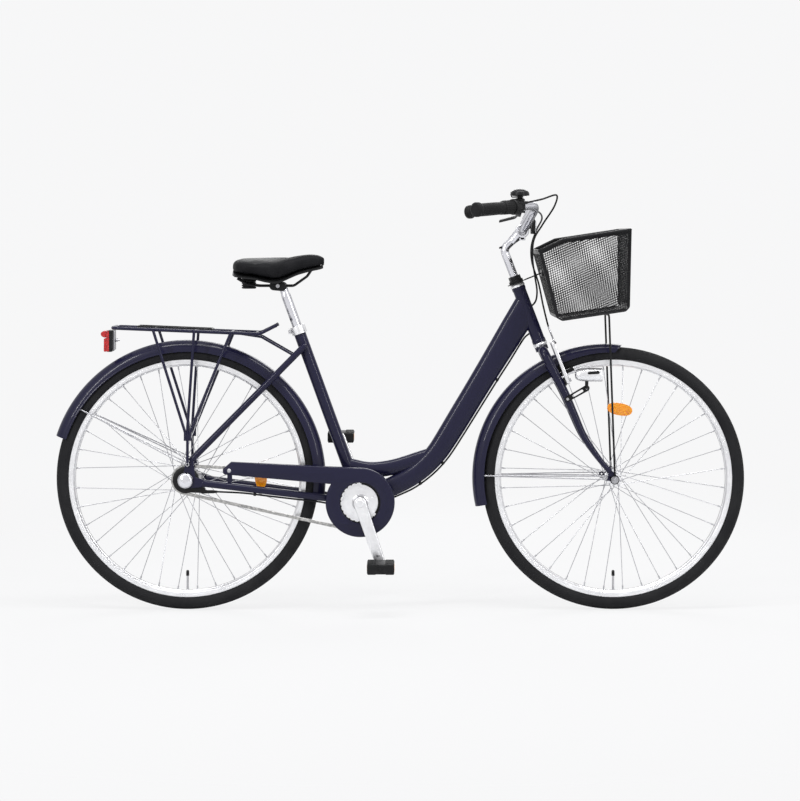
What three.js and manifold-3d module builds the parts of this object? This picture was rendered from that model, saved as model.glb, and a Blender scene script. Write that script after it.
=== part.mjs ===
// A step-through city bike with a mesh basket, a rear carrier and an internal gear hub.
// Lengths are millimetres and angles are degrees. +X is forward and +Z is up, the ground is z = 0,
// x = 0 lies midway between the axles, and the chain is on the right side, which is -Y.
import * as THREE from 'three';
import { mergeVertices } from 'three/addons/utils/BufferGeometryUtils.js';
import Module from 'manifold-3d';

const wasm = await Module();
wasm.setup();

// Overall layout
const wheelSpacing = 438;
const chainStayClearance = 116;
const bottomBracketDrop = 60;
const seatTubeAngle = 70;
const seatTubeRise = 146;
const headAngle = 69;
const forkClearance = 59;
const forkOffset = 54;
const headTubeLength = 159;

// Clearances
const gap = 0.3;
const runningGap = 0.5;
const overrun = 6;

// Wheels
const rimSeatRadius = 311;
const tyreSection = 40;
const tyreBeadWidth = 27;
const rimFlangeHeight = 6.7;
const rimWidth = 25;
const rimBoreWidth = 13;
const rimDepth = 17.7;
const rimTrackHeight = 12;
const spokeCount = 36;
const spokeRadius = 1.1;
const spokeFlangeOffset = 1.1;
const spokeRimOffset = 3;
const spokePhase = 5;
const valveRadius = 3;
const valveLength = 38;
const valveCapRadius = 4.2;
const valveCapLength = 15;
const axleRadius = 4.8;
const frontFlangeRadius = 20;
const frontFlangeY = 33;
const frontBarrelRadius = 13;
const frontDropoutSpacing = 100;
const rearFlangeRadius = 35;
const rearFlangeY = 28;
const rearBarrelRadius = 30;
const rearDropoutSpacing = 127;
const flangeThickness = 3.6;
const hubEndLength = 5;
const coneRadius = 8;
const shiftBoxRadius = 35;
const shiftBoxY = 52;
const shiftBoxDepth = 10;
const domeRadius = 20;
const domeHeight = 15;
const nutRadius = 9.5;
const nutHeight = 9;
const axleTail = 5;
const valveSeat = 0.6;
const shiftBoxRimShares = [0.85, 0.7];
const domeShares = [[1, 0], [1, 0.4], [0.75, 0.85], [0.35, 1], [0, 1]];
const reflectorLength = 68;
const reflectorWidth = 33;
const reflectorThickness = 8;
const reflectorRoundShare = 0.85;
const frontReflectorRadius = 186;
const frontReflectorAngle = 85;
const frontReflectorTilt = -5;
const rearReflectorRadius = 197;
const rearReflectorAngle = 2;

// Frame tubes
const headTubeRadius = 17.5;
const headTubeBore = 15.3;
const seatTubeRadius = 16;
const seatPostRadius = 12.7;
const seatPostClearance = 0.4;
const seatBoreShare = 0.8;
const bottomBracketRadius = 20.5;
const bottomBracketWidth = 70;
const mainTubeAngle = 58.6;
const mainTubeHeadRise = 100;
const mainTubeHeadHeight = 76;
const mainTubeMidHeight = 62;
const mainTubeLowHeight = 52;
const mainTubeWidth = 42;
const mainTubeLowAngle = 24;
const mainTubeBend = 290;
const mainTubeStops = 8;
const mainTubeSquareShare = 0.8;
const mainTubeMidShare = 0.5;
const mainTubeLowShare = 0.9;
const mainTubeStraightShare = 0.4;
const upperTubeHeight = 42;
const upperTubeWidth = 30;
const upperTubeSeatRise = 98;
const upperTubeSag = 10;
const upperTubeReach = 165;
const upperTubeJoinRise = 118;
const upperTubeShares = [[0, 0], [0.35, 1], [0.72, 0.35]];
const upperTubeEndShare = 1.3;
const chainStayRadius = 9.5;
const chainStayStart = 45;
const chainStayDropoutY = 60;
const chainStayWheelY = 38.5;
const chainStayRingY = 31.5;
const chainStayShellY = 26;
const chainStayDrop = 8;
const chainStayRingReach = 78.2;
const seatStayRadius = 8.5;
const seatStayDropoutY = 60;
const seatStayWheelY = 47;
const seatStayTopY = 20;
const seatStayTopDrop = 57;
const seatStayFootShare = 0.24;
const seatStayWideShare = 0.24;
const seatStayTailShare = -0.06;
const seatBridgeShare = 0.72;
const dropoutThickness = 5;
const dropoutHeight = 50;
const dropoutShares = [
  [-0.4, -0.16], [-0.24, -0.38], [0.16, -0.42], [0.9, -0.36], [1, 0.04], [0.52, 0.16],
  [0.44, 1], [0, 1], [-0.08, 0.44], [-0.36, 0.24],
];
const bridgeRadius = 6;

// Headset, fork and steering column
const steererRadius = 12.7;
const cupRadius = 19.3;
const upperCupHeight = 10;
const lowerCupHeight = 9.6;
const lockNutRadius = 16.6;
const lockNutHeight = 18;
const crownDrop = 24;
const crownHalfWidth = 42;
const bladeTopRadius = 12.5;
const bladeTipRadius = 6.5;
const bladeTipY = 50.5;
const forkEndThickness = 4;
const forkEndRadius = 12;
const bladeTaperShare = 1.2;
const eyeletReach = 26.4;
const eyeletRise = 6;
// The blade's way down, as shares of the fork's offset and of its length.
const bladeShares = [
  [0.02, 0.86], [0.13, 0.77], [0.24, 0.64], [0.29, 0.5], [0.36, 0.33], [0.63, 0.175], [0.9, 0.062],
];
const stemRadius = 11;
const stemDepth = 55;
const stemRise = 109;
const stemReach = 69;
const stemReachAngle = 44;
const stemClampRadius = 18;
const stemClampWidth = 38;
const stemBendRadius = 17.6;
const stemBoltRadius = 6;
const stemBoltShare = 0.6;

// Handlebar and what sits on it
const barRadius = 11.1;
const barClampHalf = 46;
const barBendForward = 34;
const barBendRise = 68;
const barBendY = 124;
const barEndBack = 133;
const barEndRise = 54;
const barEndY = 308;
const barBendRadius = 42;
const gripRadius = 16;
const gripFlangeRadius = 19;
const rightGripLength = 104;
const leftGripLength = 130;
const shifterDrumLength = 38;
const shifterDrumRadius = 18.5;
const shifterGrooveRadius = 16.8;
const shifterRidges = 3;
const shifterRidgeShares = [0.35, 0.75, 1];
const shifterHousingLength = 22;
const shifterHousingRadius = 21;
const cableExitAngle = 30;
const cableExitOffset = 19.8;
const cableExitLength = 24;
const cableExitRadius = 3.8;
const cableExitTail = 1;
const leverPlace = 176;
const leverBracketLength = 24;
const leverBracketRadius = 15.5;
const leverPivotOffset = 27;
const leverLength = 106;
const leverTipOffset = 58;
const leverKneeReach = 34;
const leverKneeOffset = 46;
const leverThickness = 6;
const leverWidth = 12;
const leverCheek = 3;
const leverKnuckleRadius = 6.5;
const leverDropAngle = 40;
const leverWebShare = 0.7;
const leverBarrelRadius = 4.3;
const leverBarrelBack = 9.6;
const leverBarrelOut = 12.4;
const leverCableBack = 36;
const leverCableOut = 21.6;
const bellPlace = 176;
const bellRadius = 25;
const bellHeight = 17;
const bellLift = 30;
const bellClampWidth = 12;
const bellClampWall = 3.5;
const bellPostRadius = 6;
const bellShares = [[0, 0], [1, 0], [0.96, 0.35], [0.78, 0.72], [0.42, 0.94], [0, 1]];
const strikerRadius = 2.6;
const strikerThickness = 4.2;
const strikerReach = 4.5;
const strikerRise = 13.6;
const strikerAngle = 135;
const barReflectorWidth = 76;
const barReflectorHeight = 40;
const barReflectorDepth = 12;
const barReflectorForward = 30;
const barReflectorRise = 12;
const barReflectorClampY = 26;
const barReflectorClampWidth = 9;

// Cables
const cableRadius = 2.4;
const cableSides = 6;
const wireRadius = 1.1;
const cableHeadY = 24.5;
const cableHeadRise = 92;
const cableHeadForward = 8;
const cableBendRise = 62;
const cableTuckRise = 34;
const cableTuckBack = 12;
const cableUnderY = 8;
const cableUnderTopY = 6;
const cableUnderTopShare = 0.169;
// Shares of the main tube's path, from its top, where the cable is led and where its clips sit.
const cableUnderShares = [0.2125, 0.25, 0.375, 0.5, 0.625, 0.75, 0.875, 1];
const cableClipShares = [0.25, 0.5625, 0.875];
const cableClipRadius = 4.1;
// The cable's way round the shell: forward, left and up, as shares of its distance from the middle.
const cableShellShares = [[0.75, -0.4, -0.8], [-0.16, -0.56, -1.04]];
const cableStayShares = [0.777, 0.626, 0.464, 0.324];
const cableBootStart = 84;
const cableBootEnd = 42;
const cableBootDrop = 31;
const cableBootY = 57;
const cableBootRadius = 4.6;
const cableEndShare = 0.8;
// The loop between bar and frame, from top to bottom: forward of the steering column, left of the
// middle and above the head tube, as shares of the loop's rise.
const shiftLoopRise = 192.5;
const shiftLoopShares = [
  [0.92, -0.582, 1], [0.852, -0.457, 0.881], [0.614, -0.291, 0.695], [0.432, -0.208, 0.541],
  [0.325, -0.125, 0.304], [0.265, -0.083, 0.049], [0.22, -0.021, -0.156], [0.149, 0.073, -0.284],
];
const shiftLeadShares = [0.187, 0.083, 0.042];
// The brake cable's way down in the same axes, and its end beside the brake.
const brakeLoopRise = 146.5;
const brakeLoopShares = [
  [0.883, 0.532, 1], [0.708, 0.341, 0.848], [0.505, 0.232, 0.604], [0.408, 0.164, 0.334],
  [0.376, 0.123, -0.092], [0.311, 0.15, -0.491],
];
const brakeLeadShares = [0.177, -0.232, -0.014];
const brakeEndRise = 40;
const brakeEndY = 42;
const brakeEndShares = [[1, 1], [1, 0.55], [0.762, 0.075], [0.43, 0]];
const brakeCableInset = 1.2;
const brakeWireShare = 0.55;

// Front brake
const brakeBossDrop = 21;
const brakeArmForward = 27;
const brakeArmLength = 104;
const brakeArmFootRadius = 9;
const brakeArmTopRadius = 6;
const brakeArmThickness = 9;
const brakeArmY = 43;
const brakeArmTopY = 36;
const brakePadLength = 56;
const brakePadHeight = 10;
const brakePadThickness = 9;
const brakePadGap = 2;
const brakeStudRadius = 4.5;
const padStudRadius = 3.5;
const brakeStudTail = 2;

// Fenders
const fenderWidth = 53;
const fenderDepth = 29;
const fenderWall = 2;
const rearFenderClearance = 19;
const rearFenderStart = -9;
const rearFenderEnd = 162;
const frontFenderClearance = 7;
const frontFenderSetback = 19.6;
const frontFenderRise = 2;
const frontFenderStart = 83;
const frontFenderEnd = 192.5;
const fenderStayRadius = 1.8;
const rearStayClipAngle = 147;
const frontStayClipAngle = 179;
const stayEyeRadius = 7;
const stayWireShare = 0.6;
const stayStraightShare = 0.1;

// Saddle
const saddleLength = 251;
const saddleBack = 174;
const saddleTopRise = 183;
const saddleWidth = 205;
const saddleDepth = 50;
const saddleArch = 17;
const saddleMiddleShare = 0.55;
const saddleArchShare = 0.3;
// Roundness of the cushion's section: its sides, its crown, its underside and the hollow below.
const saddleRoundShares = [0.7, 0.75, 0.6, 0.5];
// Stations from the rear: share of the length, of the half width, top and bottom as shares of the depth.
const saddleShares = [
  [0, 0.3, -0.32, -0.62], [0.03, 0.66, -0.1, -0.92], [0.12, 0.95, 0, -1.06], [0.26, 1, 0, -1.16],
  [0.4, 0.94, 0, -1.32], [0.5, 0.74, 0.01, -1.36], [0.6, 0.5, 0.06, -1.16], [0.7, 0.34, 0.13, -0.92],
  [0.83, 0.25, 0.2, -0.74], [0.94, 0.2, 0.12, -0.6], [1, 0.08, -0.16, -0.48],
];
const saddleClampRise = 115;
const saddleClampSetback = 10.7;
const saddleClampLength = 40;
const saddleClampHeight = 24;
const postDepth = 210;
const railRadius = 3.5;
const railSpacing = 44;
// A rail's nose, in the cushion, and its way back below: shares of the saddle's length, of the rail's
// own offset and of the saddle's depth above the clamp.
const railNoseShares = [0.86, 0.33, -0.5];
const railShares = [[0.8, 0.5, 0.5], [0.66, 1, 0], [0.3, 1, 0], [0.17, 1, 0.07], [0.06, 1, 0.4]];
const elastomerShare = 0.18;
const elastomerDrop = 8.5;
const clampEndLength = 14;
const seatClampHeight = 22;
const seatClampWall = 4;
const elastomerRadius = 17;

// Carrier
const railTubeRadius = 4.5;
const deckHalfWidth = 62;
const deckClearance = 30;
const deckLift = 4;
const deckRearReach = 196;
const deckFrontReach = 195;
const deckTilt = -16;
const deckTipReach = 44;
const deckTipRise = 22;
const deckTipShare = 0.8;
const deckBarRadius = 3.6;
const deckStayRadius = 3.2;
const deckStayShare = 0.55;
const deckStayTopShare = 0.35;
const deckStayDrop = 9;
const deckBend = 27;
const legRadius = 3.8;
const legFootRise = 43;
const legSpacing = 6.2;
const legJoinRise = 128;
const legWeldRise = 108;
const legMiddleRise = 140.8;
const legBend = 15;
const rearLegReach = 86;
const midLegReach = 23;
const frontLegReach = 120;
const clipWireRadius = 2.5;
const clipHalfWidth = 34;
const clipHingeReach = 128;
const clipLength = 196;
const clipBend = 12.5;
const clipTailShare = 0.2;
const tailLampWidth = 64;
const tailLampHeight = 57;
const tailLampDepth = 16;
const tailLensDepth = 14;
const tailLampDrop = 8;
// The lens's outline from its top: shares of its depth and of the lamp's height.
const tailLensShares = [
  [0, 0], [-0.7, -0.03], [-1.1, -0.14], [-0.8, -0.28], [-0.45, -0.36], [-0.4, -1], [0, -1],
];

// Drive
const chainPitch = 12.7;
const ringTeeth = 38;
const sprocketTeeth = 18;
const toothHeight = 4;
const toothWidth = 2.4;
const toothTipHeight = 1.3;
const toothBottomShare = -0.3;
const toothTipShare = 0.08;
const chainLineY = 46;
const chainWidth = 7.4;
const chainHalfHeight = 4.2;
const chainSlot = 3.4;
const crankLength = 170;
const crankAngle = 19;
const crankPlaneY = 72;
const crankThickness = 13;
const crankBossRadius = 17;
const crankEyeRadius = 13.5;
const spiderRadius = 22;
const spindleRadius = 8;
const pedalLength = 96;
const pedalDepth = 72;
const pedalHeight = 30;
const pedalBevel = 6;
const pedalAxleRadius = 6;
const guardRadius = 92;
const guardOpening = 54;
const guardFace = 60;
const guardDepth = 15;
const guardWall = 1.8;
const guardAxleReach = 98;
const guardArmRise = 93;
const guardArmHeight = 27;
// The arm's rear end: length from its tail and rise over its top, as shares of its height.
const guardTailShares = [[1.111, 0.556], [0, 0.278], [0, -0.167], [0.389, -0.5]];
const guardStrapAngles = [50, -80];
const guardStrapRadius = 3.6;
const guardTabRadius = 1.8;
const guardBracketRadius = 2.7;
const guardChainClearance = 10.5;
const guardBracketReach = 120;
const guardBracketY = 54;
const guardBracketRise = 81;
const guardChainY = 52;

// Basket
const basketReach = 48.3;
const basketRise = 97.1;
const basketTopLength = 239;
const basketTopWidth = 310;
const basketBottomInset = 50;
const basketBottomLength = 187;
const basketBottomWidth = 250;
const basketHeight = 184;
const basketBottomSlope = 28;
const basketKinkRise = 29;
const basketKinkReach = 60;
const basketFrontRise = 56;
const basketWall = 3;
const basketRimRadius = 4;
const basketStayRadius = 2.8;
const basketStayY = 62;
const basketStaySetback = 16;
const basketEyeThickness = 2.5;
const basketCollarHeight = 2.5;
const basketCollarRadius = 25;
const basketSideColumns = 4;
const basketEndColumns = 5;
const basketFloorRows = 2;
const basketRows = 2;
const basketGapShare = 0.88;
const basketBorderShare = 0.04;
const basketBackShare = 0.68;
const basketArmInset = 1;
const basketBracketWidth = 83;
const basketBracketHeight = 16;
const basketStayKnee = 47.5;
const basketStayKneeSetback = 2;
const basketStayBend = 14;

// Headlamp
const lampRadius = 18;
const lampLength = 70;
const lampLensDepth = 4;
const lampForward = 54.4;
const lampUp = 299.7;
const lampY = 66;
// Shares of the lamp's radius and length, from its back.
const lampShares = [[0, 0], [0.45, 0], [0.75, 0.08], [0.94, 0.3], [1, 0.6], [1, 1], [0, 1]];
const lampSlotShares = [0.3, 0.7, 0.3];
const lampSlotPlaceShare = 0.68;
const lampLensShares = [[0, 0], [1, 0], [1, 0.5], [0.7, 1], [0, 1]];
const lampBracketThickness = 3;
const lampBracketHeight = 11;
const lampBracketShare = 0.6;
const lampBracketRadiusShare = 0.28;
const lampPostShare = 0.45;
const lampPostRadius = 4.6;
const lampSlotHoleShares = [0.3, 0.75];
const lampSlotHoleRadii = [2.2, 2];
const lampBoltLength = 3;
const lampBoltRadius = 3.7;

const wheelRadius = rimSeatRadius + tyreSection;
const wheelbase = 2 * wheelRadius + wheelSpacing;
const chainStayLength = wheelRadius + chainStayClearance;
const seatTubeLength = wheelRadius + seatTubeRise;
const forkLength = wheelRadius + forkClearance;
const rearFenderRadius = wheelRadius + rearFenderClearance;
const frontFenderRadius = wheelRadius + frontFenderClearance;
const brakeBossRise = rimSeatRadius - brakeBossDrop;
const rearX = -wheelbase / 2;
const frontX = wheelbase / 2;
const rimOuterRadius = rimSeatRadius + rimFlangeHeight;
const rimBoreRadius = rimOuterRadius - rimDepth;
const wheelSegments = 40;
const radians = THREE.MathUtils.degToRad;

// Key places that follow from the layout
const rearAxle = vec(rearX, 0, wheelRadius);
const frontAxle = vec(frontX, 0, wheelRadius);
const bottomBracket = vec(
  rearX + Math.sqrt(chainStayLength ** 2 - bottomBracketDrop ** 2),
  0,
  wheelRadius - bottomBracketDrop,
);
const seatAxis = vec(-Math.cos(radians(seatTubeAngle)), 0, Math.sin(radians(seatTubeAngle)));
const seatTubeTop = bottomBracket.clone().addScaledVector(seatAxis, seatTubeLength);
const steerAxis = vec(-Math.cos(radians(headAngle)), 0, Math.sin(radians(headAngle)));
const steerForward = vec(Math.sin(radians(headAngle)), 0, Math.cos(radians(headAngle)));
const steerFoot = frontAxle.clone().addScaledVector(steerForward, -forkOffset);
const headBottom = forkLength;
const headTop = forkLength + headTubeLength;

const paint = material('#2b2a44', 0.35, 0.3);
const steel = material('#c9c9cc', 0.3, 0.9);
const chrome = material('#dcdce0', 0.12, 1);
const blackMetal = material('#1b1b1d', 0.45, 0.4);
const blackPlastic = material('#17171a', 0.6, 0);
const rubber = material('#161617', 0.85, 0);
const tyreRubber = material('#1a1a1c', 0.9, 0);
const padding = material('#1c1c1e', 0.75, 0);
const orange = material('#f07a10', 0.25, 0);
const redLens = material('#c8141c', 0.2, 0);
const clearLens = material('#e6ebf0', 0.08, 0);
const chainSteel = material('#8d8d90', 0.4, 0.9);

function material(color, roughness, metalness) {
  return new THREE.MeshStandardMaterial({ color, roughness, metalness });
}

function vec(x, y, z) {
  return new THREE.Vector3(x, y, z);
}

// A point in the steering column's own axes: forward of it, to the left, and up along it from the
// foot that lies nearest to the front axle.
function atColumn(forward, left, up) {
  const place = steerFoot.clone();
  place.addScaledVector(steerForward, forward);
  place.addScaledVector(steerAxis, up);
  place.y = left;
  return place;
}

// A point in the side view round a centre, at an angle from +X towards +Z.
function around(centre, radius, angle, y = 0) {
  return vec(
    centre.x + radius * Math.cos(radians(angle)),
    y,
    centre.z + radius * Math.sin(radians(angle)),
  );
}

// Solids and booleans

function weld(geometry) {
  const bare = geometry.clone();
  bare.deleteAttribute('normal');
  bare.deleteAttribute('uv');
  const merged = mergeVertices(bare);
  const kept = [];
  const source = merged.index.array;
  for (let i = 0; i < source.length; i += 3) {
    const [a, b, c] = [source[i], source[i + 1], source[i + 2]];
    if (a !== b && b !== c && c !== a) kept.push(a, b, c);
  }
  return outward(merged.attributes.position.array, kept);
}

function solid(geometry) {
  const merged = weld(geometry);
  return new wasm.Manifold(new wasm.Mesh({
    numProp: 3,
    vertProperties: new Float32Array(merged.attributes.position.array),
    triVerts: new Uint32Array(merged.index.array),
  }));
}

function joined(solids) {
  return solids.reduce((whole, part) => whole.add(part));
}

function cut(body, ...tools) {
  return tools.reduce((whole, tool) => whole.subtract(tool), body);
}

function geometryOf(body) {
  const mesh = body.getMesh();
  const geometry = new THREE.BufferGeometry();
  geometry.setAttribute('position', new THREE.BufferAttribute(new Float32Array(mesh.vertProperties), 3));
  geometry.setIndex(Array.from(mesh.triVerts));
  geometry.computeVertexNormals();
  return geometry;
}

function place(parent, name, body, look) {
  const geometry = body instanceof THREE.BufferGeometry ? body : geometryOf(body);
  const mesh = new THREE.Mesh(geometry, look);
  mesh.name = name;
  parent.add(mesh);
  return mesh;
}

// Outlines

function circle(radius, sides) {
  return ellipse(radius, radius, sides);
}

function ellipse(halfWidth, halfHeight, sides, power = 1) {
  const points = [];
  for (let i = 0; i < sides; i += 1) {
    const angle = (i / sides) * Math.PI * 2;
    const c = Math.cos(angle);
    const s = Math.sin(angle);
    points.push(new THREE.Vector2(
      halfWidth * Math.sign(c) * Math.abs(c) ** power,
      halfHeight * Math.sign(s) * Math.abs(s) ** power,
    ));
  }
  return points;
}

// Joins rings of equal length into one closed body; outlines give the shape of the two end caps.
function loft(rings, outlines) {
  const count = rings[0].length;
  const positions = rings.flatMap((ring) => ring.flatMap((p) => [p.x, p.y, p.z]));
  const index = [];
  for (let i = 0; i + 1 < rings.length; i += 1) {
    for (let j = 0; j < count; j += 1) {
      const a = i * count + j;
      const b = i * count + ((j + 1) % count);
      index.push(a, a + count, b + count, a, b + count, b);
    }
  }
  const last = (rings.length - 1) * count;
  for (const [a, b, c] of THREE.ShapeUtils.triangulateShape(outlines[0], [])) index.push(a, b, c);
  for (const [a, b, c] of THREE.ShapeUtils.triangulateShape(outlines.at(-1), [])) {
    index.push(last + a, last + c, last + b);
  }
  return outward(positions, index);
}

// Turns the faces out where the solid was wound the other way.
function outward(positions, index) {
  let volume = 0;
  const corner = (i) => vec(positions[3 * i], positions[3 * i + 1], positions[3 * i + 2]);
  for (let i = 0; i < index.length; i += 3) {
    volume += corner(index[i]).dot(corner(index[i + 1]).cross(corner(index[i + 2])));
  }
  const turned = volume < 0 ? index.slice().reverse() : index;
  const geometry = new THREE.BufferGeometry();
  geometry.setAttribute('position', new THREE.Float32BufferAttribute(positions, 3));
  geometry.setIndex(turned);
  return geometry;
}

// Sweeps an outline along points. outlineAt gives the outline at a share of the length; across is the
// direction that the outline's first axis keeps to, or null to carry it along without twist.
function sweep(points, outlineAt, across = null) {
  const lengths = [0];
  for (let i = 1; i < points.length; i += 1) {
    lengths.push(lengths[i - 1] + points[i].distanceTo(points[i - 1]));
  }
  const rings = [];
  const outlines = [];
  let side = across;
  points.forEach((point, i) => {
    const before = points[Math.max(i - 1, 0)];
    const after = points[Math.min(i + 1, points.length - 1)];
    const inward = point.clone().sub(before).normalize();
    const onward = after.clone().sub(point).normalize();
    const along = inward.add(onward).normalize();
    if (!side) side = Math.abs(along.y) < Math.SQRT1_2 ? vec(0, 1, 0) : vec(1, 0, 0);
    const u = (across || side).clone().addScaledVector(along, -(across || side).dot(along)).normalize();
    side = u;
    const v = along.clone().cross(u);
    const outline = outlineAt(lengths[i] / lengths.at(-1));
    outlines.push(outline);
    rings.push(outline.map((p) => point.clone().addScaledVector(u, p.x).addScaledVector(v, p.y)));
  });
  return loft(rings, outlines);
}

// Points of a line with rounded corners.
function rounded(corners, bend, steps) {
  const points = [corners[0].clone()];
  for (let i = 1; i + 1 < corners.length; i += 1) {
    const corner = corners[i];
    const back = corners[i - 1].clone().sub(corner);
    const ahead = corners[i + 1].clone().sub(corner);
    const half = back.angleTo(ahead) / 2;
    const reach = Math.min(bend / Math.tan(half), back.length() / 2, ahead.length() / 2);
    const start = corner.clone().addScaledVector(back.normalize(), reach);
    const end = corner.clone().addScaledVector(ahead.normalize(), reach);
    const curve = new THREE.QuadraticBezierCurve3(start, corner, end);
    points.push(...curve.getPoints(steps));
  }
  points.push(corners.at(-1).clone());
  return points;
}

function bentTube(corners, radius, bend, steps = 3, sides = 8) {
  return solid(sweep(rounded(corners, bend, steps), () => circle(radius, sides)));
}

function rod(from, to, radius, sides = 6) {
  return solid(sweep([from, to], () => circle(radius, sides)));
}

// A rod whose sides are sharp enough to cut a round seat for a cylinder of the same axis.
function bar(from, to, radius, sides = 16) {
  return rod(from, to, radius, sides);
}

function smoothTube(points, radius, steps, sides) {
  const curve = new THREE.CatmullRomCurve3(points, false, 'centripetal');
  return solid(sweep(curve.getPoints(steps), () => circle(radius, sides)));
}

// A plate in the side view: an outline in x and z, from y to y plus thickness.
function sidePlate(outline, y, thickness, holes = []) {
  const shape = new THREE.Shape(outline);
  for (const hole of holes) shape.holes.push(new THREE.Path(hole));
  const geometry = new THREE.ExtrudeGeometry(shape, { depth: thickness, bevelEnabled: false });
  geometry.rotateX(Math.PI / 2);
  geometry.translate(0, y + thickness, 0);
  return solid(geometry);
}

function sideCircle(centre, radius, sides) {
  return circle(radius, sides).map((p) => new THREE.Vector2(centre.x + p.x, centre.z + p.y));
}

function block(size, centre) {
  const geometry = new THREE.BoxGeometry(size.x, size.y, size.z);
  geometry.translate(centre.x, centre.y, centre.z);
  return solid(geometry);
}

// A turned piece round the y axis; the profile holds radius and y pairs.
function turned(profile, segments = 16) {
  const points = profile.map(([radius, y]) => new THREE.Vector2(radius, y));
  const first = points[0];
  const last = points.at(-1);
  if (first.x > 0 || last.x > 0) points.push(first.clone());
  return solid(new THREE.LatheGeometry(points, segments));
}

// A turned piece whose axis runs from a place along a direction; the profile holds radius and height.
function turnedAlong(profile, origin, direction, segments = 16) {
  const turn = new THREE.Quaternion().setFromUnitVectors(vec(0, 1, 0), direction.clone().normalize());
  const points = profile.map(([radius, y]) => new THREE.Vector2(radius, y));
  if (points[0].x > 0 || points.at(-1).x > 0) points.push(points[0].clone());
  const geometry = new THREE.LatheGeometry(points, segments);
  geometry.applyQuaternion(turn);
  geometry.translate(origin.x, origin.y, origin.z);
  return solid(geometry);
}

// Wheels

function tyre() {
  const centre = wheelRadius - tyreSection / 2;
  const radius = tyreSection / 2;
  const base = rimOuterRadius + gap;
  const from = -Math.acos((base - centre) / radius);
  const steps = 6;
  const profile = [];
  for (let i = 0; i <= steps; i += 1) {
    const angle = from + ((-2 * from) * i) / steps;
    const ends = i === 0 || i === steps;
    const y = radius * Math.sin(angle);
    profile.push([ends ? base : centre + radius * Math.cos(angle), ends ? Math.sign(y) * tyreBeadWidth / 2 : y]);
  }
  return turned(profile, wheelSegments);
}

function rim() {
  const track = rimOuterRadius - rimTrackHeight;
  const ring = turned([
    [rimOuterRadius, -rimWidth / 2],
    [track, -rimWidth / 2],
    [rimBoreRadius, -rimBoreWidth / 2],
    [rimBoreRadius, rimBoreWidth / 2],
    [track, rimWidth / 2],
    [rimOuterRadius, rimWidth / 2],
  ], wheelSegments);
  const stemEnd = rimBoreRadius - valveLength;
  const stem = rod(vec(0, 0, -stemEnd), vec(0, 0, -(rimBoreRadius + valveSeat)), valveRadius);
  const cap = rod(vec(0, 0, -stemEnd), vec(0, 0, -(stemEnd + valveCapLength)), valveCapRadius);
  return joined([ring, stem, cap]);
}

// Spokes leave the flange in pairs that cross: even holes lean one way and odd holes the other.
function spokeEnds(flangeRadius, flangeY) {
  const perSide = spokeCount / 2;
  const hole = 360 / perSide;
  const crossing = hole * 3;
  const rimReach = rimBoreRadius * Math.cos(Math.PI / wheelSegments) - gap;
  const ends = [];
  for (const side of [-1, 1]) {
    for (let i = 0; i < perSide; i += 1) {
      const lean = i % 2 ? 1 : -1;
      const from = i * hole + spokePhase + (side > 0 ? hole / 2 : 0);
      const root = around(vec(0, 0, 0), flangeRadius, from);
      const tip = around(vec(0, 0, 0), rimReach, from + lean * crossing);
      root.y = side * (flangeY + lean * spokeFlangeOffset);
      tip.y = side * (spokeRimOffset + lean * spokeFlangeOffset);
      ends.push([root, tip]);
    }
  }
  return ends;
}

function spokes(flangeRadius, flangeY, radius) {
  return spokeEnds(flangeRadius, flangeY).map(([root, tip]) => rod(root, tip, radius, 3));
}

function hub(flangeRadius, flangeY, barrelRadius) {
  const near = flangeY - flangeThickness / 2;
  const far = flangeY + flangeThickness / 2;
  const end = far + hubEndLength;
  const boss = Math.min(barrelRadius, flangeRadius - flangeThickness);
  const bore = axleRadius + runningGap;
  const half = [
    [bore, end],
    [boss, end],
    [boss, far],
    [flangeRadius, far],
    [flangeRadius, near],
    [barrelRadius, near],
  ];
  const other = half.slice().reverse().map(([radius, y]) => [radius, -y]);
  return turned([...half, ...other], 12);
}

function lacedHub(flangeRadius, flangeY, barrelRadius) {
  const root = flangeRadius - flangeThickness / 2;
  return joined([hub(flangeRadius, flangeY, barrelRadius), ...spokes(root, flangeY, spokeRadius)]);
}

// An oval reflector clipped on the right-hand spokes, with grooves where the spokes pass through it.
function spokeReflector(radius, angle, tilt, flangeRadius, flangeY) {
  const root = flangeRadius - flangeThickness / 2;
  const lean = (radius - root) / (rimBoreRadius - root);
  const y = -(flangeY + (spokeRimOffset - flangeY) * lean);
  const outline = ellipse(reflectorLength / 2, reflectorWidth / 2, 16, reflectorRoundShare);
  const turn = radians(angle - 90 + tilt);
  const centre = around(vec(0, 0, 0), radius, angle);
  const placed = outline.map((p) => new THREE.Vector2(
    centre.x + p.x * Math.cos(turn) - p.y * Math.sin(turn),
    centre.z + p.x * Math.sin(turn) + p.y * Math.cos(turn),
  ));
  const plate = sidePlate(placed, y - reflectorThickness / 2, reflectorThickness);
  return cut(plate, ...spokes(root, flangeY, spokeRadius + gap * 2));
}

function axle(dropoutSpacing, flangeY, outerThickness) {
  const shoulder = flangeY + flangeThickness / 2 + hubEndLength + runningGap;
  const inner = dropoutSpacing / 2 - gap;
  const outer = dropoutSpacing / 2 + outerThickness + gap;
  const end = outer + nutHeight;
  const half = [
    [axleRadius, shoulder],
    [coneRadius, shoulder],
    [coneRadius, inner],
    [axleRadius, inner],
    [axleRadius, outer],
    [nutRadius, outer],
    [nutRadius, end],
    [axleRadius, end],
    [axleRadius, end + axleTail],
    [0, end + axleTail],
  ];
  const other = half.slice().reverse().map(([radius, y]) => [radius, -y]);
  return turned([...other, ...half], 8);
}

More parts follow.
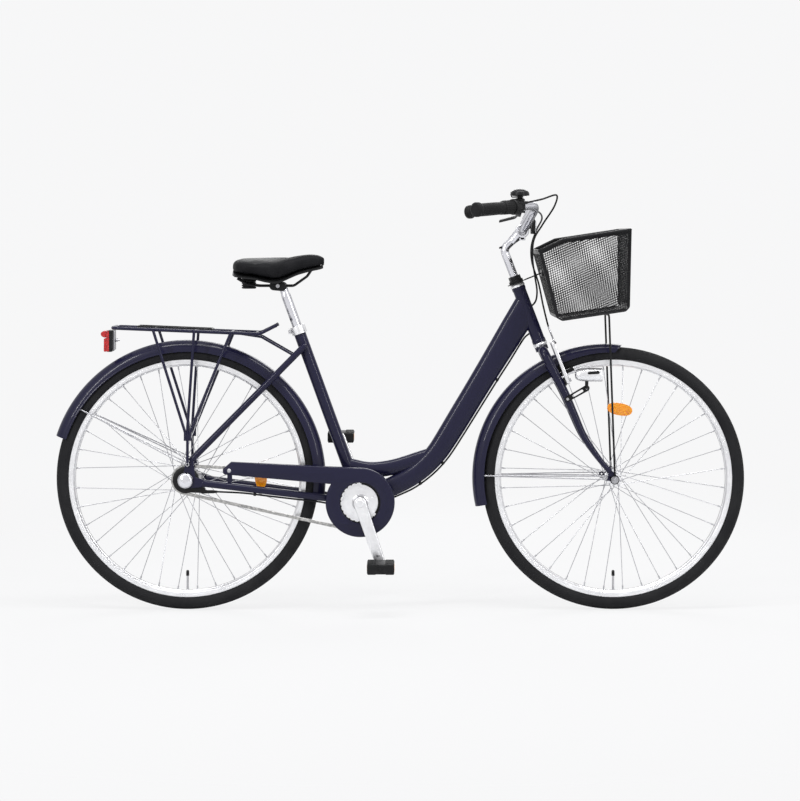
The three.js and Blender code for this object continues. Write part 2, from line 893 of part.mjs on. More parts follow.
function wheel(parent, name, flangeRadius, flangeY, barrelRadius, reflector) {
  place(parent, `${name}_tyre`, tyre(), tyreRubber);
  place(parent, `${name}_rim`, rim(), steel);
  place(parent, `${name}_hub_spokes`, lacedHub(flangeRadius, flangeY, barrelRadius), steel);
  place(parent, `${name}_spoke_reflector`, reflector, orange);
}

// Frame

function dropoutOutline(centre) {
  return dropoutShares.map(([x, z]) => new THREE.Vector2(
    centre.x + x * dropoutHeight,
    centre.z + z * dropoutHeight,
  ));
}

const dropoutY = rearDropoutSpacing / 2;

function seatTubeSolid(grow) {
  const foot = bottomBracket;
  return bar(foot, seatTubeTop.clone().addScaledVector(seatAxis, grow > 0 ? overrun : 0), seatTubeRadius + grow);
}

function shellSolid(grow) {
  const half = bottomBracketWidth / 2 + (grow > 0 ? overrun : 0);
  return bar(vec(bottomBracket.x, -half, bottomBracket.z), vec(bottomBracket.x, half, bottomBracket.z),
    bottomBracketRadius + grow);
}

function headTubeSolid(grow) {
  const extra = grow > 0 ? overrun : 0;
  return bar(atColumn(0, 0, headBottom - extra), atColumn(0, 0, headTop + extra), headTubeRadius + grow);
}

function headTube() {
  const bore = bar(atColumn(0, 0, headBottom - overrun), atColumn(0, 0, headTop + overrun), headTubeBore);
  return cut(headTubeSolid(0), bore);
}

function seatTube() {
  const boreRadius = seatPostRadius + seatPostClearance;
  const boreStart = seatTubeTop.clone().addScaledVector(seatAxis, -seatTubeLength * seatBoreShare);
  const bore = bar(boreStart, seatTubeTop.clone().addScaledVector(seatAxis, overrun), boreRadius);
  const half = bottomBracketWidth / 2 + overrun;
  const shellBore = bar(vec(bottomBracket.x, -half, bottomBracket.z), vec(bottomBracket.x, half, bottomBracket.z),
    spindleRadius + runningGap);
  return cut(seatTubeSolid(0).add(shellSolid(0)), bore, shellBore);
}

function mainTubeCorner(head) {
  const steep = Math.tan(radians(mainTubeAngle));
  const shallow = Math.tan(radians(mainTubeLowAngle));
  const rise = head.z - bottomBracket.z;
  const run = head.x - bottomBracket.x;
  const x = (rise - steep * run) / (shallow - steep);
  return vec(bottomBracket.x + x, 0, bottomBracket.z + shallow * x);
}

function mainTubePath() {
  const head = atColumn(0, 0, headBottom + mainTubeHeadRise);
  const corner = mainTubeCorner(head);
  const beyond = head.clone().add(head.clone().sub(corner).setLength(mainTubeHeadHeight));
  const path = rounded([beyond, corner, bottomBracket], mainTubeBend, mainTubeStops - 2);
  path.splice(1, 0, head, head.clone().lerp(corner, mainTubeStraightShare));
  return path;
}

function mainTubeHeightAt(share) {
  const low = THREE.MathUtils.smoothstep(share, mainTubeMidShare, mainTubeLowShare);
  const high = THREE.MathUtils.smoothstep(share, 0, mainTubeMidShare);
  const upper = THREE.MathUtils.lerp(mainTubeHeadHeight, mainTubeMidHeight, high);
  return THREE.MathUtils.lerp(upper, mainTubeLowHeight, low);
}

// The main tube leaves the head tube as a tall oval, sweeps down and runs low to the bottom bracket.
function mainTubeSolid(grow) {
  const outlineAt = (share) => ellipse(
    mainTubeWidth / 2 + grow,
    mainTubeHeightAt(share) / 2 + grow,
    12,
    mainTubeSquareShare,
  );
  return solid(sweep(mainTubePath(), outlineAt, vec(0, 1, 0)));
}

// A place just under the main tube, at a share of its path's corners.
function mainTubeUnder(place, y, extra = cableRadius + 3 * gap) {
  const path = mainTubePath();
  const index = Math.min(place * mainTubeStops, path.length - 1);
  const lengths = path.map((point, i) => path.slice(1, i + 1)
    .reduce((sum, next, k) => sum + next.distanceTo(path[k]), 0));
  const low = Math.floor(index);
  const high = Math.min(low + 1, path.length - 1);
  const t = index - low;
  const spot = path[low].clone().lerp(path[high], t);
  const before = path[Math.max(low - 1, 0)];
  const after = path[Math.min(high + 1, path.length - 1)];
  const along = (t > 0 ? path[high].clone().sub(path[low]) : after.clone().sub(before)).normalize();
  const share = THREE.MathUtils.lerp(lengths[low], lengths[high], t) / lengths.at(-1);
  const down = vec(-along.z, 0, along.x);
  return spot.addScaledVector(down, mainTubeHeightAt(share) / 2 + extra).setY(y);
}

function mainTube() {
  const size = 3 * mainTubeHeadHeight;
  const front = new THREE.BoxGeometry(size, size, size);
  front.translate(size / 2, 0, 0);
  front.rotateY(radians(headAngle - 90));
  const centre = atColumn(0, 0, headBottom + headTubeLength / 2);
  front.translate(centre.x, centre.y, centre.z);
  const seatFoot = bottomBracket.clone().addScaledVector(seatAxis, upperTubeSeatRise);
  const line = upperTubeShares.map(([along, sag]) => seatFoot.clone()
    .add(vec(upperTubeReach * along, 0, -upperTubeSag * sag)));
  const joinX = seatFoot.x + upperTubeReach * upperTubeEndShare;
  const curve = new THREE.CatmullRomCurve3([...line, vec(joinX, 0, bottomBracket.z + upperTubeJoinRise)]);
  const outline = ellipse(upperTubeWidth / 2, upperTubeHeight / 2, 10);
  const upper = solid(sweep(curve.getPoints(6), () => outline, vec(0, 1, 0)));
  return cut(mainTubeSolid(0).add(upper), solid(front), headTubeSolid(gap), seatTubeSolid(gap), shellSolid(gap));
}

function chainStays() {
  const dropoutEnd = vec(rearX + chainStayStart, chainStayDropoutY, wheelRadius - chainStayDrop);
  const shellEnd = vec(bottomBracket.x - bottomBracketRadius / 2, chainStayShellY, bottomBracket.z);
  const along = (x) => THREE.MathUtils.mapLinear(x, dropoutEnd.x, shellEnd.x, dropoutEnd.z, shellEnd.z);
  const wheelX = rearX + wheelRadius;
  const ringX = bottomBracket.x - chainStayRingReach;
  const stay = (side) => {
    const corners = [
      vec(dropoutEnd.x, side * chainStayDropoutY, dropoutEnd.z),
      vec(wheelX, side * chainStayWheelY, along(wheelX)),
      vec(ringX, side * chainStayRingY, along(ringX)),
      vec(shellEnd.x, side * chainStayShellY, shellEnd.z),
    ];
    const tube = bentTube(corners, chainStayRadius, chainStayRadius * 3, 2, 8);
    const y = side > 0 ? dropoutY : -dropoutY - dropoutThickness;
    const hole = sideCircle(rearAxle, axleRadius + gap, 12);
    const bolt = sideCircle(rackFoot, legRadius, 8);
    return tube.add(sidePlate(dropoutOutline(rearAxle), y, dropoutThickness, [hole, bolt]));
  };
  const bridge = rod(...chainStayBridge(), bridgeRadius);
  return cut(joined([stay(-1), stay(1), bridge]), shellSolid(gap), seatTubeSolid(gap));
}

function chainStayBridge() {
  const reach = bottomBracket.x - chainStayRingReach - chainStayRadius / 2 - rearX;
  return [-1, 1].map((side) => chainStayPoint(side, reach));
}

function seatStayBridge() {
  const [top, wide] = seatStayPath(1);
  const at = top.clone().lerp(wide, seatBridgeShare);
  return [vec(at.x, -at.y, at.z), at];
}

function seatStayPath(side) {
  const top = seatTubeTop.clone().addScaledVector(seatAxis, -seatStayTopDrop);
  const foot = vec(rearX + dropoutHeight * seatStayFootShare, 0, wheelRadius + dropoutHeight);
  const wide = top.clone().lerp(foot, seatStayWideShare);
  return [
    vec(top.x, side * seatStayTopY, top.z),
    vec(wide.x, side * seatStayWheelY, wide.z),
    vec(foot.x, side * seatStayDropoutY, foot.z),
    foot.clone().lerp(wide, seatStayTailShare).setY(side * seatStayDropoutY),
  ];
}

function seatStays() {
  const stays = [-1, 1].map((side) => {
    const [top, wide, foot, end] = seatStayPath(side);
    return bentTube([top, wide, foot, end], seatStayRadius, seatStayRadius * 4, 2, 8);
  });
  const bridge = rod(...seatStayBridge(), bridgeRadius);
  const floor = wheelRadius + dropoutHeight + gap;
  const size = dropoutHeight * 3;
  const below = block(vec(size, size, size), vec(rearX, 0, floor - size / 2));
  return cut(joined([...stays, bridge]), seatTubeSolid(gap), below);
}

// Outlines of two joined rounds, such as an arm with a boss at each end.
function stadium(a, b, radiusA, radiusB, steps = 5) {
  const heading = Math.atan2(b.y - a.y, b.x - a.x);
  const spread = Math.acos((radiusA - radiusB) / a.distanceTo(b));
  const points = [];
  for (let i = 0; i <= steps; i += 1) {
    const angle = heading - spread + (2 * spread * i) / steps;
    points.push(new THREE.Vector2(b.x + radiusB * Math.cos(angle), b.y + radiusB * Math.sin(angle)));
  }
  for (let i = 0; i <= steps; i += 1) {
    const angle = heading + spread + (2 * (Math.PI - spread) * i) / steps;
    points.push(new THREE.Vector2(a.x + radiusA * Math.cos(angle), a.y + radiusA * Math.sin(angle)));
  }
  return points;
}

function flat(point) {
  return new THREE.Vector2(point.x, point.z);
}

// A plate square to the steering column's forward direction: its outline is left and up the column.
function columnPlate(outline, forward, thickness, holes = []) {
  const shape = new THREE.Shape(outline);
  for (const hole of holes) shape.holes.push(new THREE.Path(hole));
  const geometry = new THREE.ExtrudeGeometry(shape, { depth: thickness, bevelEnabled: false });
  const basis = new THREE.Matrix4().makeBasis(vec(0, 1, 0), steerAxis, steerForward);
  basis.setPosition(atColumn(forward, 0, 0));
  geometry.applyMatrix4(basis);
  return solid(geometry);
}

// Headset, fork and stem

const raceTop = headBottom - lowerCupHeight - 2 * gap;
const nutBottom = headTop + upperCupHeight + basketCollarHeight + 3 * gap;

function upperCup() {
  const bore = steererRadius + runningGap;
  return turnedAlong([
    [bore, 0], [cupRadius, 0], [cupRadius, upperCupHeight / 2], [headTubeRadius, upperCupHeight],
    [bore, upperCupHeight],
  ], atColumn(0, 0, headTop + gap), steerAxis);
}

function lowerCup() {
  const bore = steererRadius + runningGap;
  return turnedAlong([
    [bore, 0], [headTubeRadius, 0], [cupRadius, lowerCupHeight / 2], [cupRadius, lowerCupHeight],
    [bore, lowerCupHeight],
  ], atColumn(0, 0, headBottom - gap - lowerCupHeight), steerAxis);
}

function lockNut() {
  const lower = turnedAlong([
    [0, 0], [cupRadius - gap, 0], [cupRadius - gap, lockNutHeight / 3], [0, lockNutHeight / 3],
  ], atColumn(0, 0, nutBottom), steerAxis);
  const upper = rod(atColumn(0, 0, nutBottom + gap), atColumn(0, 0, nutBottom + lockNutHeight), lockNutRadius, 8);
  const bore = bar(atColumn(0, 0, headTop), atColumn(0, 0, headTop + headTubeLength), steererRadius + gap);
  return cut(lower.add(upper), bore);
}

function bladePoint(side, [forwardShare, upShare]) {
  const y = THREE.MathUtils.lerp(bladeTipY, crownHalfWidth, Math.min(upShare / bladeShares[0][1], 1));
  return atColumn(forkOffset * forwardShare, side * y, forkLength * upShare);
}

function forkBlade(side) {
  const curve = new THREE.CatmullRomCurve3(bladeShares.map((shares) => bladePoint(side, shares)));
  const radiusAt = (share) => THREE.MathUtils.lerp(bladeTopRadius, bladeTipRadius, share ** bladeTaperShare);
  return solid(sweep(curve.getPoints(7), (share) => circle(radiusAt(share), 8), vec(0, 1, 0)));
}

function fork() {
  const crownUp = raceTop - bladeTopRadius;
  const [, lowShares] = bladeShares;
  const crown = bentTube([
    bladePoint(-1, lowShares),
    atColumn(0, -crownHalfWidth, crownUp),
    atColumn(0, crownHalfWidth, crownUp),
    bladePoint(1, lowShares),
  ], bladeTopRadius, crownDrop, 2, 8);
  const steerer = bar(atColumn(0, 0, crownUp), atColumn(0, 0, nutBottom + lockNutHeight), steererRadius);
  const race = bar(atColumn(0, 0, crownUp), atColumn(0, 0, raceTop), headTubeRadius, 12);
  const bore = bar(atColumn(0, 0, headTop - stemDepth - overrun), atColumn(0, 0, headTop * 2), stemRadius + gap);
  const ends = [-1, 1].map((side) => {
    const y = side > 0 ? frontDropoutSpacing / 2 : -frontDropoutSpacing / 2 - forkEndThickness;
    const tip = bladePoint(side, bladeShares.at(-1));
    const outline = stadium(flat(frontAxle), flat(tip), forkEndRadius, bladeTipRadius);
    const eye = stadium(flat(frontAxle), flat(frontEyelet), forkEndRadius / 2, stayEyeRadius, 3);
    const hole = sideCircle(frontAxle, axleRadius + 2 * gap, 8);
    const plate = sidePlate(outline, y, forkEndThickness).add(sidePlate(eye, y, forkEndThickness));
    return cut(plate, sidePlate(hole, y - overrun, forkEndThickness + 2 * overrun));
  });
  const studs = [-1, 1].map((side) => rod(
    atColumn(bladeTopRadius / 2, side * brakeArmY, brakeBossRise),
    atColumn(brakeArmForward + brakeArmThickness + brakeStudTail, side * brakeArmY, brakeBossRise),
    brakeStudRadius,
    8,
  ));
  const whole = joined([crown, steerer, race, forkBlade(-1), forkBlade(1), ...ends, ...studs]);
  return cut(whole, bore);
}

const frontEyelet = vec(frontX - eyeletReach, 0, wheelRadius + eyeletRise);
const stemBend = atColumn(0, 0, headTop + stemRise);
const barCentre = around(stemBend, stemReach, stemReachAngle);

function stem() {
  const tube = bentTube([atColumn(0, 0, headTop - stemDepth), stemBend, barCentre], stemRadius, stemBendRadius, 3, 12);
  const half = stemClampWidth / 2;
  const clamp = bar(barCentre.clone().setY(-half), barCentre.clone().setY(half), stemClampRadius);
  const lug = barCentre.clone().add(vec(0, 0, -stemClampRadius));
  const reach = half * stemBoltShare;
  const bolt = rod(lug.clone().setY(-reach), lug.clone().setY(reach), stemBoltRadius);
  const bore = bar(barCentre.clone().setY(-2 * half), barCentre.clone().setY(2 * half), barRadius + gap);
  return cut(joined([tube, clamp, bolt]), bore);
}

// Handlebar

function barEnd(side) {
  return barCentre.clone().add(vec(-barEndBack, side * barEndY, barEndRise));
}

function barBend(side) {
  return barCentre.clone().add(vec(barBendForward, side * barBendY, barBendRise));
}

function barInward(side) {
  return barBend(side).sub(barEnd(side)).normalize();
}

function barPlace(side, distance) {
  return barEnd(side).addScaledVector(barInward(side), distance);
}

function handlebar() {
  const half = (side) => [barEnd(side), barBend(side), barCentre.clone().setY(side * barClampHalf)];
  return bentTube([...half(-1), ...half(1).reverse()], barRadius, barBendRadius, 3, 10);
}

function onBar(side, distance, profile, segments = 14) {
  return turnedAlong(profile, barPlace(side, distance), barInward(side), segments);
}

function grip(side, length) {
  const bore = barRadius + gap;
  const lip = gripFlangeRadius - gripRadius;
  return onBar(side, 0, [
    [0, -lip - gap], [gripFlangeRadius - lip, -lip - gap], [gripFlangeRadius, 0], [gripFlangeRadius, 3 * lip],
    [gripRadius, 4 * lip], [gripRadius, length], [bore, length], [bore, -gap], [0, -gap],
  ]);
}

function barRing(side, distance, length, radius, segments = 14) {
  const bore = barRadius + gap;
  return onBar(side, distance, [[bore, 0], [radius, 0], [radius, length], [bore, length]], segments);
}

function shifterDrum() {
  const bore = barRadius + runningGap;
  const start = rightGripLength + runningGap;
  const step = shifterDrumLength / (shifterRidges + 1);
  const ridge = shifterDrumRadius;
  const [rise, fall, foot] = shifterRidgeShares;
  const profile = [[bore, 0], [shifterGrooveRadius, 0]];
  for (let i = 0; i < shifterRidges; i += 1) {
    profile.push([ridge, step * (i + rise)], [ridge, step * (i + fall)], [shifterGrooveRadius, step * (i + foot)]);
  }
  profile.push([ridge, shifterDrumLength], [bore, shifterDrumLength]);
  return onBar(-1, start, profile);
}

const housingStart = rightGripLength + shifterDrumLength + 2 * runningGap;

function shifterHousing() {
  const ring = barRing(-1, housingStart, shifterHousingLength, shifterHousingRadius);
  const middle = barPlace(-1, housingStart + shifterHousingLength / 2);
  const exit = rod(middle.clone().add(shiftCableOffset()), shiftCableStart(-cableExitTail), cableExitRadius);
  return cut(ring.add(exit), barCore(-1));
}

function barCore(side) {
  return bar(barEnd(side), barPlace(side, barEndY), barRadius + 2 * gap, 12);
}

// The cable leaves the housing beside the bar, on its front upper side.
function shiftCableOffset() {
  const ahead = barInward(-1).cross(vec(0, 0, 1)).normalize();
  return ahead.multiplyScalar(Math.cos(radians(cableExitAngle)))
    .add(vec(0, 0, Math.sin(radians(cableExitAngle))))
    .multiplyScalar(cableExitOffset);
}

function shiftCableStart(extra = 0) {
  return barPlace(-1, housingStart + shifterHousingLength + cableExitLength + extra).add(shiftCableOffset());
}

// The bell: a clamp round the bar, a post and a domed cup, with a striker that springs back.
function bellCentre() {
  return barPlace(-1, bellPlace).add(vec(0, 0, bellLift));
}

function bell() {
  const ring = barRing(-1, bellPlace - bellClampWidth / 2, bellClampWidth, barRadius + bellClampWall);
  const centre = bellCentre();
  const post = rod(centre.clone().add(vec(0, 0, -bellLift)), centre.clone().add(vec(0, 0, bellClampWall)), bellPostRadius);
  const profile = bellShares.map(([across, up]) => [bellRadius * across, bellHeight * up]);
  const cup = turnedAlong(profile, centre, vec(0, 0, 1), 14);
  return cut(joined([ring, post, cup]), barCore(-1));
}

const strikerPivot = bellCentre().add(vec(0, 0, -2 * strikerRadius - gap));

function striker() {
  const out = bellRadius + strikerReach;
  const inner = bellPostRadius + gap * 2;
  const thickness = strikerThickness;
  const hub = turnedAlong([
    [inner, 0], [inner + strikerRadius, 0], [inner + strikerRadius, thickness], [inner, thickness],
  ], strikerPivot.clone().add(vec(0, 0, -thickness / 2)), vec(0, 0, 1), 16);
  const direction = around(vec(0, 0, 0), 1, strikerAngle);
  const heading = vec(direction.x, direction.z, 0);
  const reach = (distance, rise) => strikerPivot.clone().addScaledVector(heading, distance).add(vec(0, 0, rise));
  const arm = bentTube([
    reach(inner + strikerRadius / 2, 0),
    reach(out, 0),
    reach(out, strikerRise),
  ], thickness / 2, thickness, 2, 6);
  return hub.add(arm);
}

function barReflector() {
  const centre = barCentre.clone().add(vec(barReflectorForward, 0, barReflectorRise));
  const plate = block(vec(barReflectorDepth, barReflectorWidth, barReflectorHeight), centre);
  const y = barReflectorClampY;
  const ring = bar(barCentre.clone().setY(y - barReflectorClampWidth / 2),
    barCentre.clone().setY(y + barReflectorClampWidth / 2), barRadius + bellClampWall);
  const arm = rod(barCentre.clone().setY(y), centre.clone().setY(y), barReflectorClampWidth / 3);
  return cut(joined([plate, ring, arm]), bar(barCentre.clone().setY(0), barCentre.clone().setY(2 * y), barRadius + 2 * gap));
}

// Brake lever on the left, with a cheek on each side of its knuckle.
const leverAlong = barInward(1).negate();
const leverOut = vec(1, 1, -Math.tan(radians(leverDropAngle)))
  .addScaledVector(leverAlong, -leverAlong.dot(vec(1, 1, -Math.tan(radians(leverDropAngle)))))
  .normalize();
const leverAxis = leverAlong.clone().cross(leverOut);

function leverPoint(along, out, across = 0) {
  return barPlace(1, leverPlace).addScaledVector(leverAlong, along).addScaledVector(leverOut, out)
    .addScaledVector(leverAxis, across);
}

function leverBracket() {
  const ring = barRing(1, leverPlace - leverBracketLength / 2, leverBracketLength, leverBracketRadius, 10);
  const inner = leverWidth / 2 + gap;
  const cheeks = [-1, 1].map((side) => {
    const from = side * inner;
    const to = side * (inner + leverCheek);
    const pad = rod(leverPoint(0, leverPivotOffset, from), leverPoint(0, leverPivotOffset, to),
      leverKnuckleRadius, 8);
    const half = inner + leverCheek / 2;
    const web = rod(leverPoint(0, barRadius, side * half * leverWebShare), leverPoint(0, leverPivotOffset, side * half),
      leverCheek / 2, 4);
    return pad.add(web);
  });
  const barrel = rod(leverPoint(-leverBarrelBack, leverBarrelOut), brakeCableStart(), leverBarrelRadius, 6);
  const pocket = rod(leverPoint(0, leverPivotOffset, -inner), leverPoint(0, leverPivotOffset, inner),
    leverKnuckleRadius + gap, 8);
  return cut(joined([ring, ...cheeks, barrel]), barCore(1), pocket);
}

function brakeCableStart() {
  return leverPoint(-leverCableBack, leverCableOut);
}

function brakeLever() {
  const knuckle = rod(leverPoint(0, leverPivotOffset, -leverWidth / 2), leverPoint(0, leverPivotOffset, leverWidth / 2),
    leverKnuckleRadius - gap, 10);
  const path = rounded([
    leverPoint(0, leverPivotOffset),
    leverPoint(leverKneeReach, leverKneeOffset),
    leverPoint(leverLength, leverTipOffset),
  ], leverKneeReach, 4);
  const blade = solid(sweep(path, () => ellipse(leverWidth / 2 - gap, leverThickness / 2, 8), leverAxis));
  return knuckle.add(blade);
}

// Front brake

function brakeArm(side) {
  const foot = new THREE.Vector2(side * brakeArmY, brakeBossRise);
  const top = new THREE.Vector2(side * brakeArmTopY, brakeBossRise + brakeArmLength);
  const hole = circle(brakeStudRadius + gap, 16).map((p) => p.add(foot));
  const arm = columnPlate(stadium(foot, top, brakeArmFootRadius, brakeArmTopRadius), brakeArmForward,
    brakeArmThickness, [hole]);
  const centre = brakeArmForward + brakeArmThickness / 2;
  const ahead = forkOffset - centre;
  const track = rimOuterRadius - rimTrackHeight / 2;
  const up = Math.sqrt(track ** 2 - ahead ** 2);
  const inner = rimWidth / 2 + brakePadGap;
  const padY = side * (inner + brakePadThickness / 2);
  const pad = new THREE.BoxGeometry(brakePadLength, brakePadThickness, brakePadHeight);
  pad.rotateY(radians(headAngle - 90) - Math.atan2(ahead, up));
  const padPlace = atColumn(centre, padY, up);
  pad.translate(padPlace.x, padPlace.y, padPlace.z);
  const stud = rod(atColumn(centre, padY, up), atColumn(centre, side * (brakeArmY - 2 * gap), up), padStudRadius);
  return joined([arm, solid(pad), stud]);
}

// Fenders

function fenderOutline(steps = 5) {
  const outer = [];
  const inner = [];
  for (let i = 0; i <= steps; i += 1) {
    const angle = Math.PI * (i / steps);
    const c = Math.cos(angle);
    const s = Math.sin(angle);
    outer.push(new THREE.Vector2((fenderWidth / 2) * c, fenderDepth * s));
    inner.push(new THREE.Vector2((fenderWidth / 2 - fenderWall) * c, (fenderDepth - fenderWall) * s));
  }
  return [...outer, ...inner.reverse()];
}

function fender(centre, radius, start, end, steps) {
  const base = radius - fenderDepth;
  const outline = fenderOutline();
  const rings = [];
  for (let i = 0; i <= steps; i += 1) {
    const angle = start + ((end - start) * i) / steps;
    rings.push(outline.map((p) => around(centre, base + p.y, angle, p.x)));
  }
  return solid(loft(rings, [outline]));
}

const frontFenderCentre = frontAxle.clone().add(vec(-frontFenderSetback, 0, frontFenderRise));

// Two wires that run from an eye on each side to the fender; the upper one crosses inside it.
function fenderStays(eyelet, eyeY, centre, radius, angle) {
  const base = radius - fenderDepth;
  const halfWidth = fenderWidth / 2 - fenderWall - 2 * fenderStayRadius;
  const height = fenderDepth - fenderWall - 3 * fenderStayRadius;
  const turns = [-90, -45, 0, 45, 90];
  const crossing = turns.map((turn) => around(
    centre,
    base + height * Math.cos(radians(turn)),
    angle,
    halfWidth * Math.sin(radians(turn)),
  ));
  const half = stayEyeRadius * stayWireShare;
  const start = (side, spread) => {
    const eye = eyelet.clone().add(vec(0, side * (eyeY + fenderStayRadius), spread * half));
    const end = side < 0 ? crossing[0] : crossing.at(-1);
    const straight = eye.clone().lerp(end, stayStraightShare).setY(eye.y);
    return { eye, straight, end };
  };
  const right = start(-1, 1);
  const left = start(1, 1);
  const upper = solid(sweep([right.eye, right.straight, ...crossing, left.straight, left.eye],
    () => circle(fenderStayRadius, 4), vec(Math.SQRT1_2, 0, Math.SQRT1_2)));
  const lower = [-1, 1].map((side) => {
    const { eye, straight, end } = start(side, -1);
    return solid(sweep([eye, straight, end], () => circle(fenderStayRadius, 4)));
  });
  const eyes = [-1, 1].map((side) => {
    const y = side > 0 ? eyeY : -eyeY - 2 * fenderStayRadius;
    return sidePlate(sideCircle(eyelet, stayEyeRadius, 12), y, 2 * fenderStayRadius);
  });
  return joined([upper, ...lower, ...eyes]);
}

function rearFender() {
  const shell = fender(rearAxle, rearFenderRadius, rearFenderStart, rearFenderEnd, 20);
  const posts = [seatStayBridge(), chainStayBridge()].map(([left, right]) => {
    const centre = left.clone().lerp(right, 0.5);
    const out = centre.clone().sub(rearAxle);
    const near = rearAxle.clone().add(out.clone().setLength(rearFenderRadius - 2 * fenderWall));
    const far = rearAxle.clone().add(out.clone().setLength(out.length() - bridgeRadius - gap));
    return rod(near, far, bridgeRadius);
  });
  return joined([shell, ...posts]);
}

function rearFenderStays() {
  const eyeY = rearDropoutSpacing / 2 + dropoutThickness + gap;
  return cut(fenderStays(rackFoot, eyeY, rearAxle, rearFenderRadius, rearStayClipAngle), footBoltHole());
}

const rackFoot = vec(rearX + dropoutHeight * 0.12, 0, wheelRadius + legFootRise);

function footBoltHole() {
  const half = rearDropoutSpacing;
  return rod(rackFoot.clone().setY(-half), rackFoot.clone().setY(half), legRadius, 8);
}

function frontFender() {
  const shell = fender(frontFenderCentre, frontFenderRadius, frontFenderStart, frontFenderEnd, 13);
  const crown = atColumn(0, 0, raceTop - bladeTopRadius);
  const out = crown.clone().sub(frontFenderCentre);
  const near = frontFenderCentre.clone().add(out.clone().setLength(frontFenderRadius - 2 * fenderWall));
  const far = frontFenderCentre.clone().add(out.clone().setLength(out.length() - bladeTopRadius - gap));
  return shell.add(rod(near, far, bridgeRadius));
}

function frontFenderStays() {
  const eyeY = frontDropoutSpacing / 2 + forkEndThickness + gap;
  return fenderStays(frontEyelet, eyeY, frontFenderCentre, frontFenderRadius, frontStayClipAngle);
}

// Seat

const saddleRear = seatTubeTop.x - saddleBack;
const saddleTop = seatTubeTop.z + saddleTopRise;
function saddleCushion() {
  const rings = [];
  const outlines = [];
  const count = 20;
  const [sideRound, crownRound, baseRound, archRound] = saddleRoundShares;
  for (const [share, widthShare, topShare, bottomShare] of saddleShares) {
    const half = (saddleWidth / 2) * widthShare;
    const top = saddleDepth * topShare;
    const bottom = saddleDepth * bottomShare;
    const middle = THREE.MathUtils.lerp(top, bottom, saddleMiddleShare);
    const ends = share === 0 || share === 1;
    const arch = ends ? 0 : saddleArch * Math.min(1, widthShare + saddleArchShare);
    const outline = [];
    for (let i = 0; i < count; i += 1) {
      const angle = (i / count) * Math.PI * 2;
      const c = Math.cos(angle);
      const s = Math.sin(angle);
      const y = half * Math.sign(c) * Math.abs(c) ** sideRound;
      const crown = s > 0 ? (top - middle) * s ** crownRound : (bottom - middle) * Math.abs(s) ** baseRound;
      const hollow = s < 0 ? arch * (1 - (y / half) ** 2) * Math.abs(s) ** archRound : 0;
      outline.push(new THREE.Vector2(y, middle + crown + hollow));
    }
    outlines.push(outline);
    rings.push(outline.map((p) => vec(saddleRear + saddleLength * share, p.x, saddleTop + p.y)));
  }
  return solid(loft(rings, outlines));
}

const clampCentre = seatTubeTop.clone()
  .addScaledVector(seatAxis, saddleClampRise)
  .add(vec(-saddleClampSetback, 0, 0));

function seatPost() {
  const foot = seatTubeTop.clone().addScaledVector(seatAxis, -postDepth);
  const top = seatTubeTop.clone().addScaledVector(seatAxis, saddleClampRise);
  const post = bar(foot, top, seatPostRadius);
  const clamp = block(vec(saddleClampLength, railSpacing + clampEndLength, saddleClampHeight), clampCentre);
  const bores = [-1, 1].map((side) => {
    const y = (side * railSpacing) / 2;
    return rod(clampCentre.clone().add(vec(-saddleClampLength, y, 0)),
      clampCentre.clone().add(vec(saddleClampLength, y, 0)), railRadius + gap, 12);
  });
  const boltEnd = vec(0, railSpacing / 2 + clampEndLength, 0);
  const bolt = rod(clampCentre.clone().sub(boltEnd), clampCentre.clone().add(boltEnd), railRadius);
  return cut(joined([post, clamp, bolt]), ...bores);
}

function saddleRails(cushion) {
  const level = clampCentre.z;
  const spot = (share, y, z) => vec(saddleRear + saddleLength * share, y, z);
  const rails = [-1, 1].map((side) => {
    const y = (side * railSpacing) / 2;
    const [noseAlong, noseAcross, noseUp] = railNoseShares;
    const nose = spot(noseAlong, y * noseAcross, saddleTop + saddleDepth * noseUp);
    const line = railShares.map(([along, across, up]) => spot(along, y * across, level + saddleDepth * up));
    return bentTube([nose, ...line], railRadius, 4 * railRadius, 2, 6);
  });
  const blockAt = spot(elastomerShare, 0, level - elastomerDrop);
  const elastomer = rod(blockAt, blockAt.clone().add(vec(0, 0, saddleDepth)), elastomerRadius, 10);
  const yoke = rod(
    spot(elastomerShare, -railSpacing / 2, level + railRadius),
    spot(elastomerShare, railSpacing / 2, level + railRadius),
    railRadius,
  );
  return cut(joined([...rails, elastomer, yoke]), cushion.translate([0, 0, -gap]));
}

function seatClamp() {
  const inner = seatTubeRadius + gap;
  const outer = inner + seatClampWall;
  const ring = turnedAlong([
    [inner, 0], [outer, 0], [outer, seatClampHeight], [inner, seatClampHeight],
  ], seatTubeTop.clone().addScaledVector(seatAxis, -seatClampHeight), seatAxis);
  const lugAt = seatTubeTop.clone().addScaledVector(seatAxis, -seatClampHeight / 2)
    .add(vec(-outer - seatClampWall / 2, 0, -seatClampWall));
  const half = seatClampHeight / 2;
  const lug = rod(lugAt.clone().setY(-half), lugAt.clone().setY(half), seatClampWall);
  return ring.add(lug);
}

// Carrier

const deckZ = wheelRadius + rearFenderRadius + deckClearance;
const deckRear = vec(rearX - deckRearReach, 0, deckZ + deckLift);
const deckFront = vec(rearX + deckFrontReach, 0, deckZ + deckLift + deckTilt);

function deckHeight(x) {
  return THREE.MathUtils.mapLinear(x, deckRear.x, deckFront.x, deckRear.z, deckFront.z);
}

function deckPoint(reach, y) {
  const x = rearX + reach;
  return vec(x, y, deckHeight(x));
}

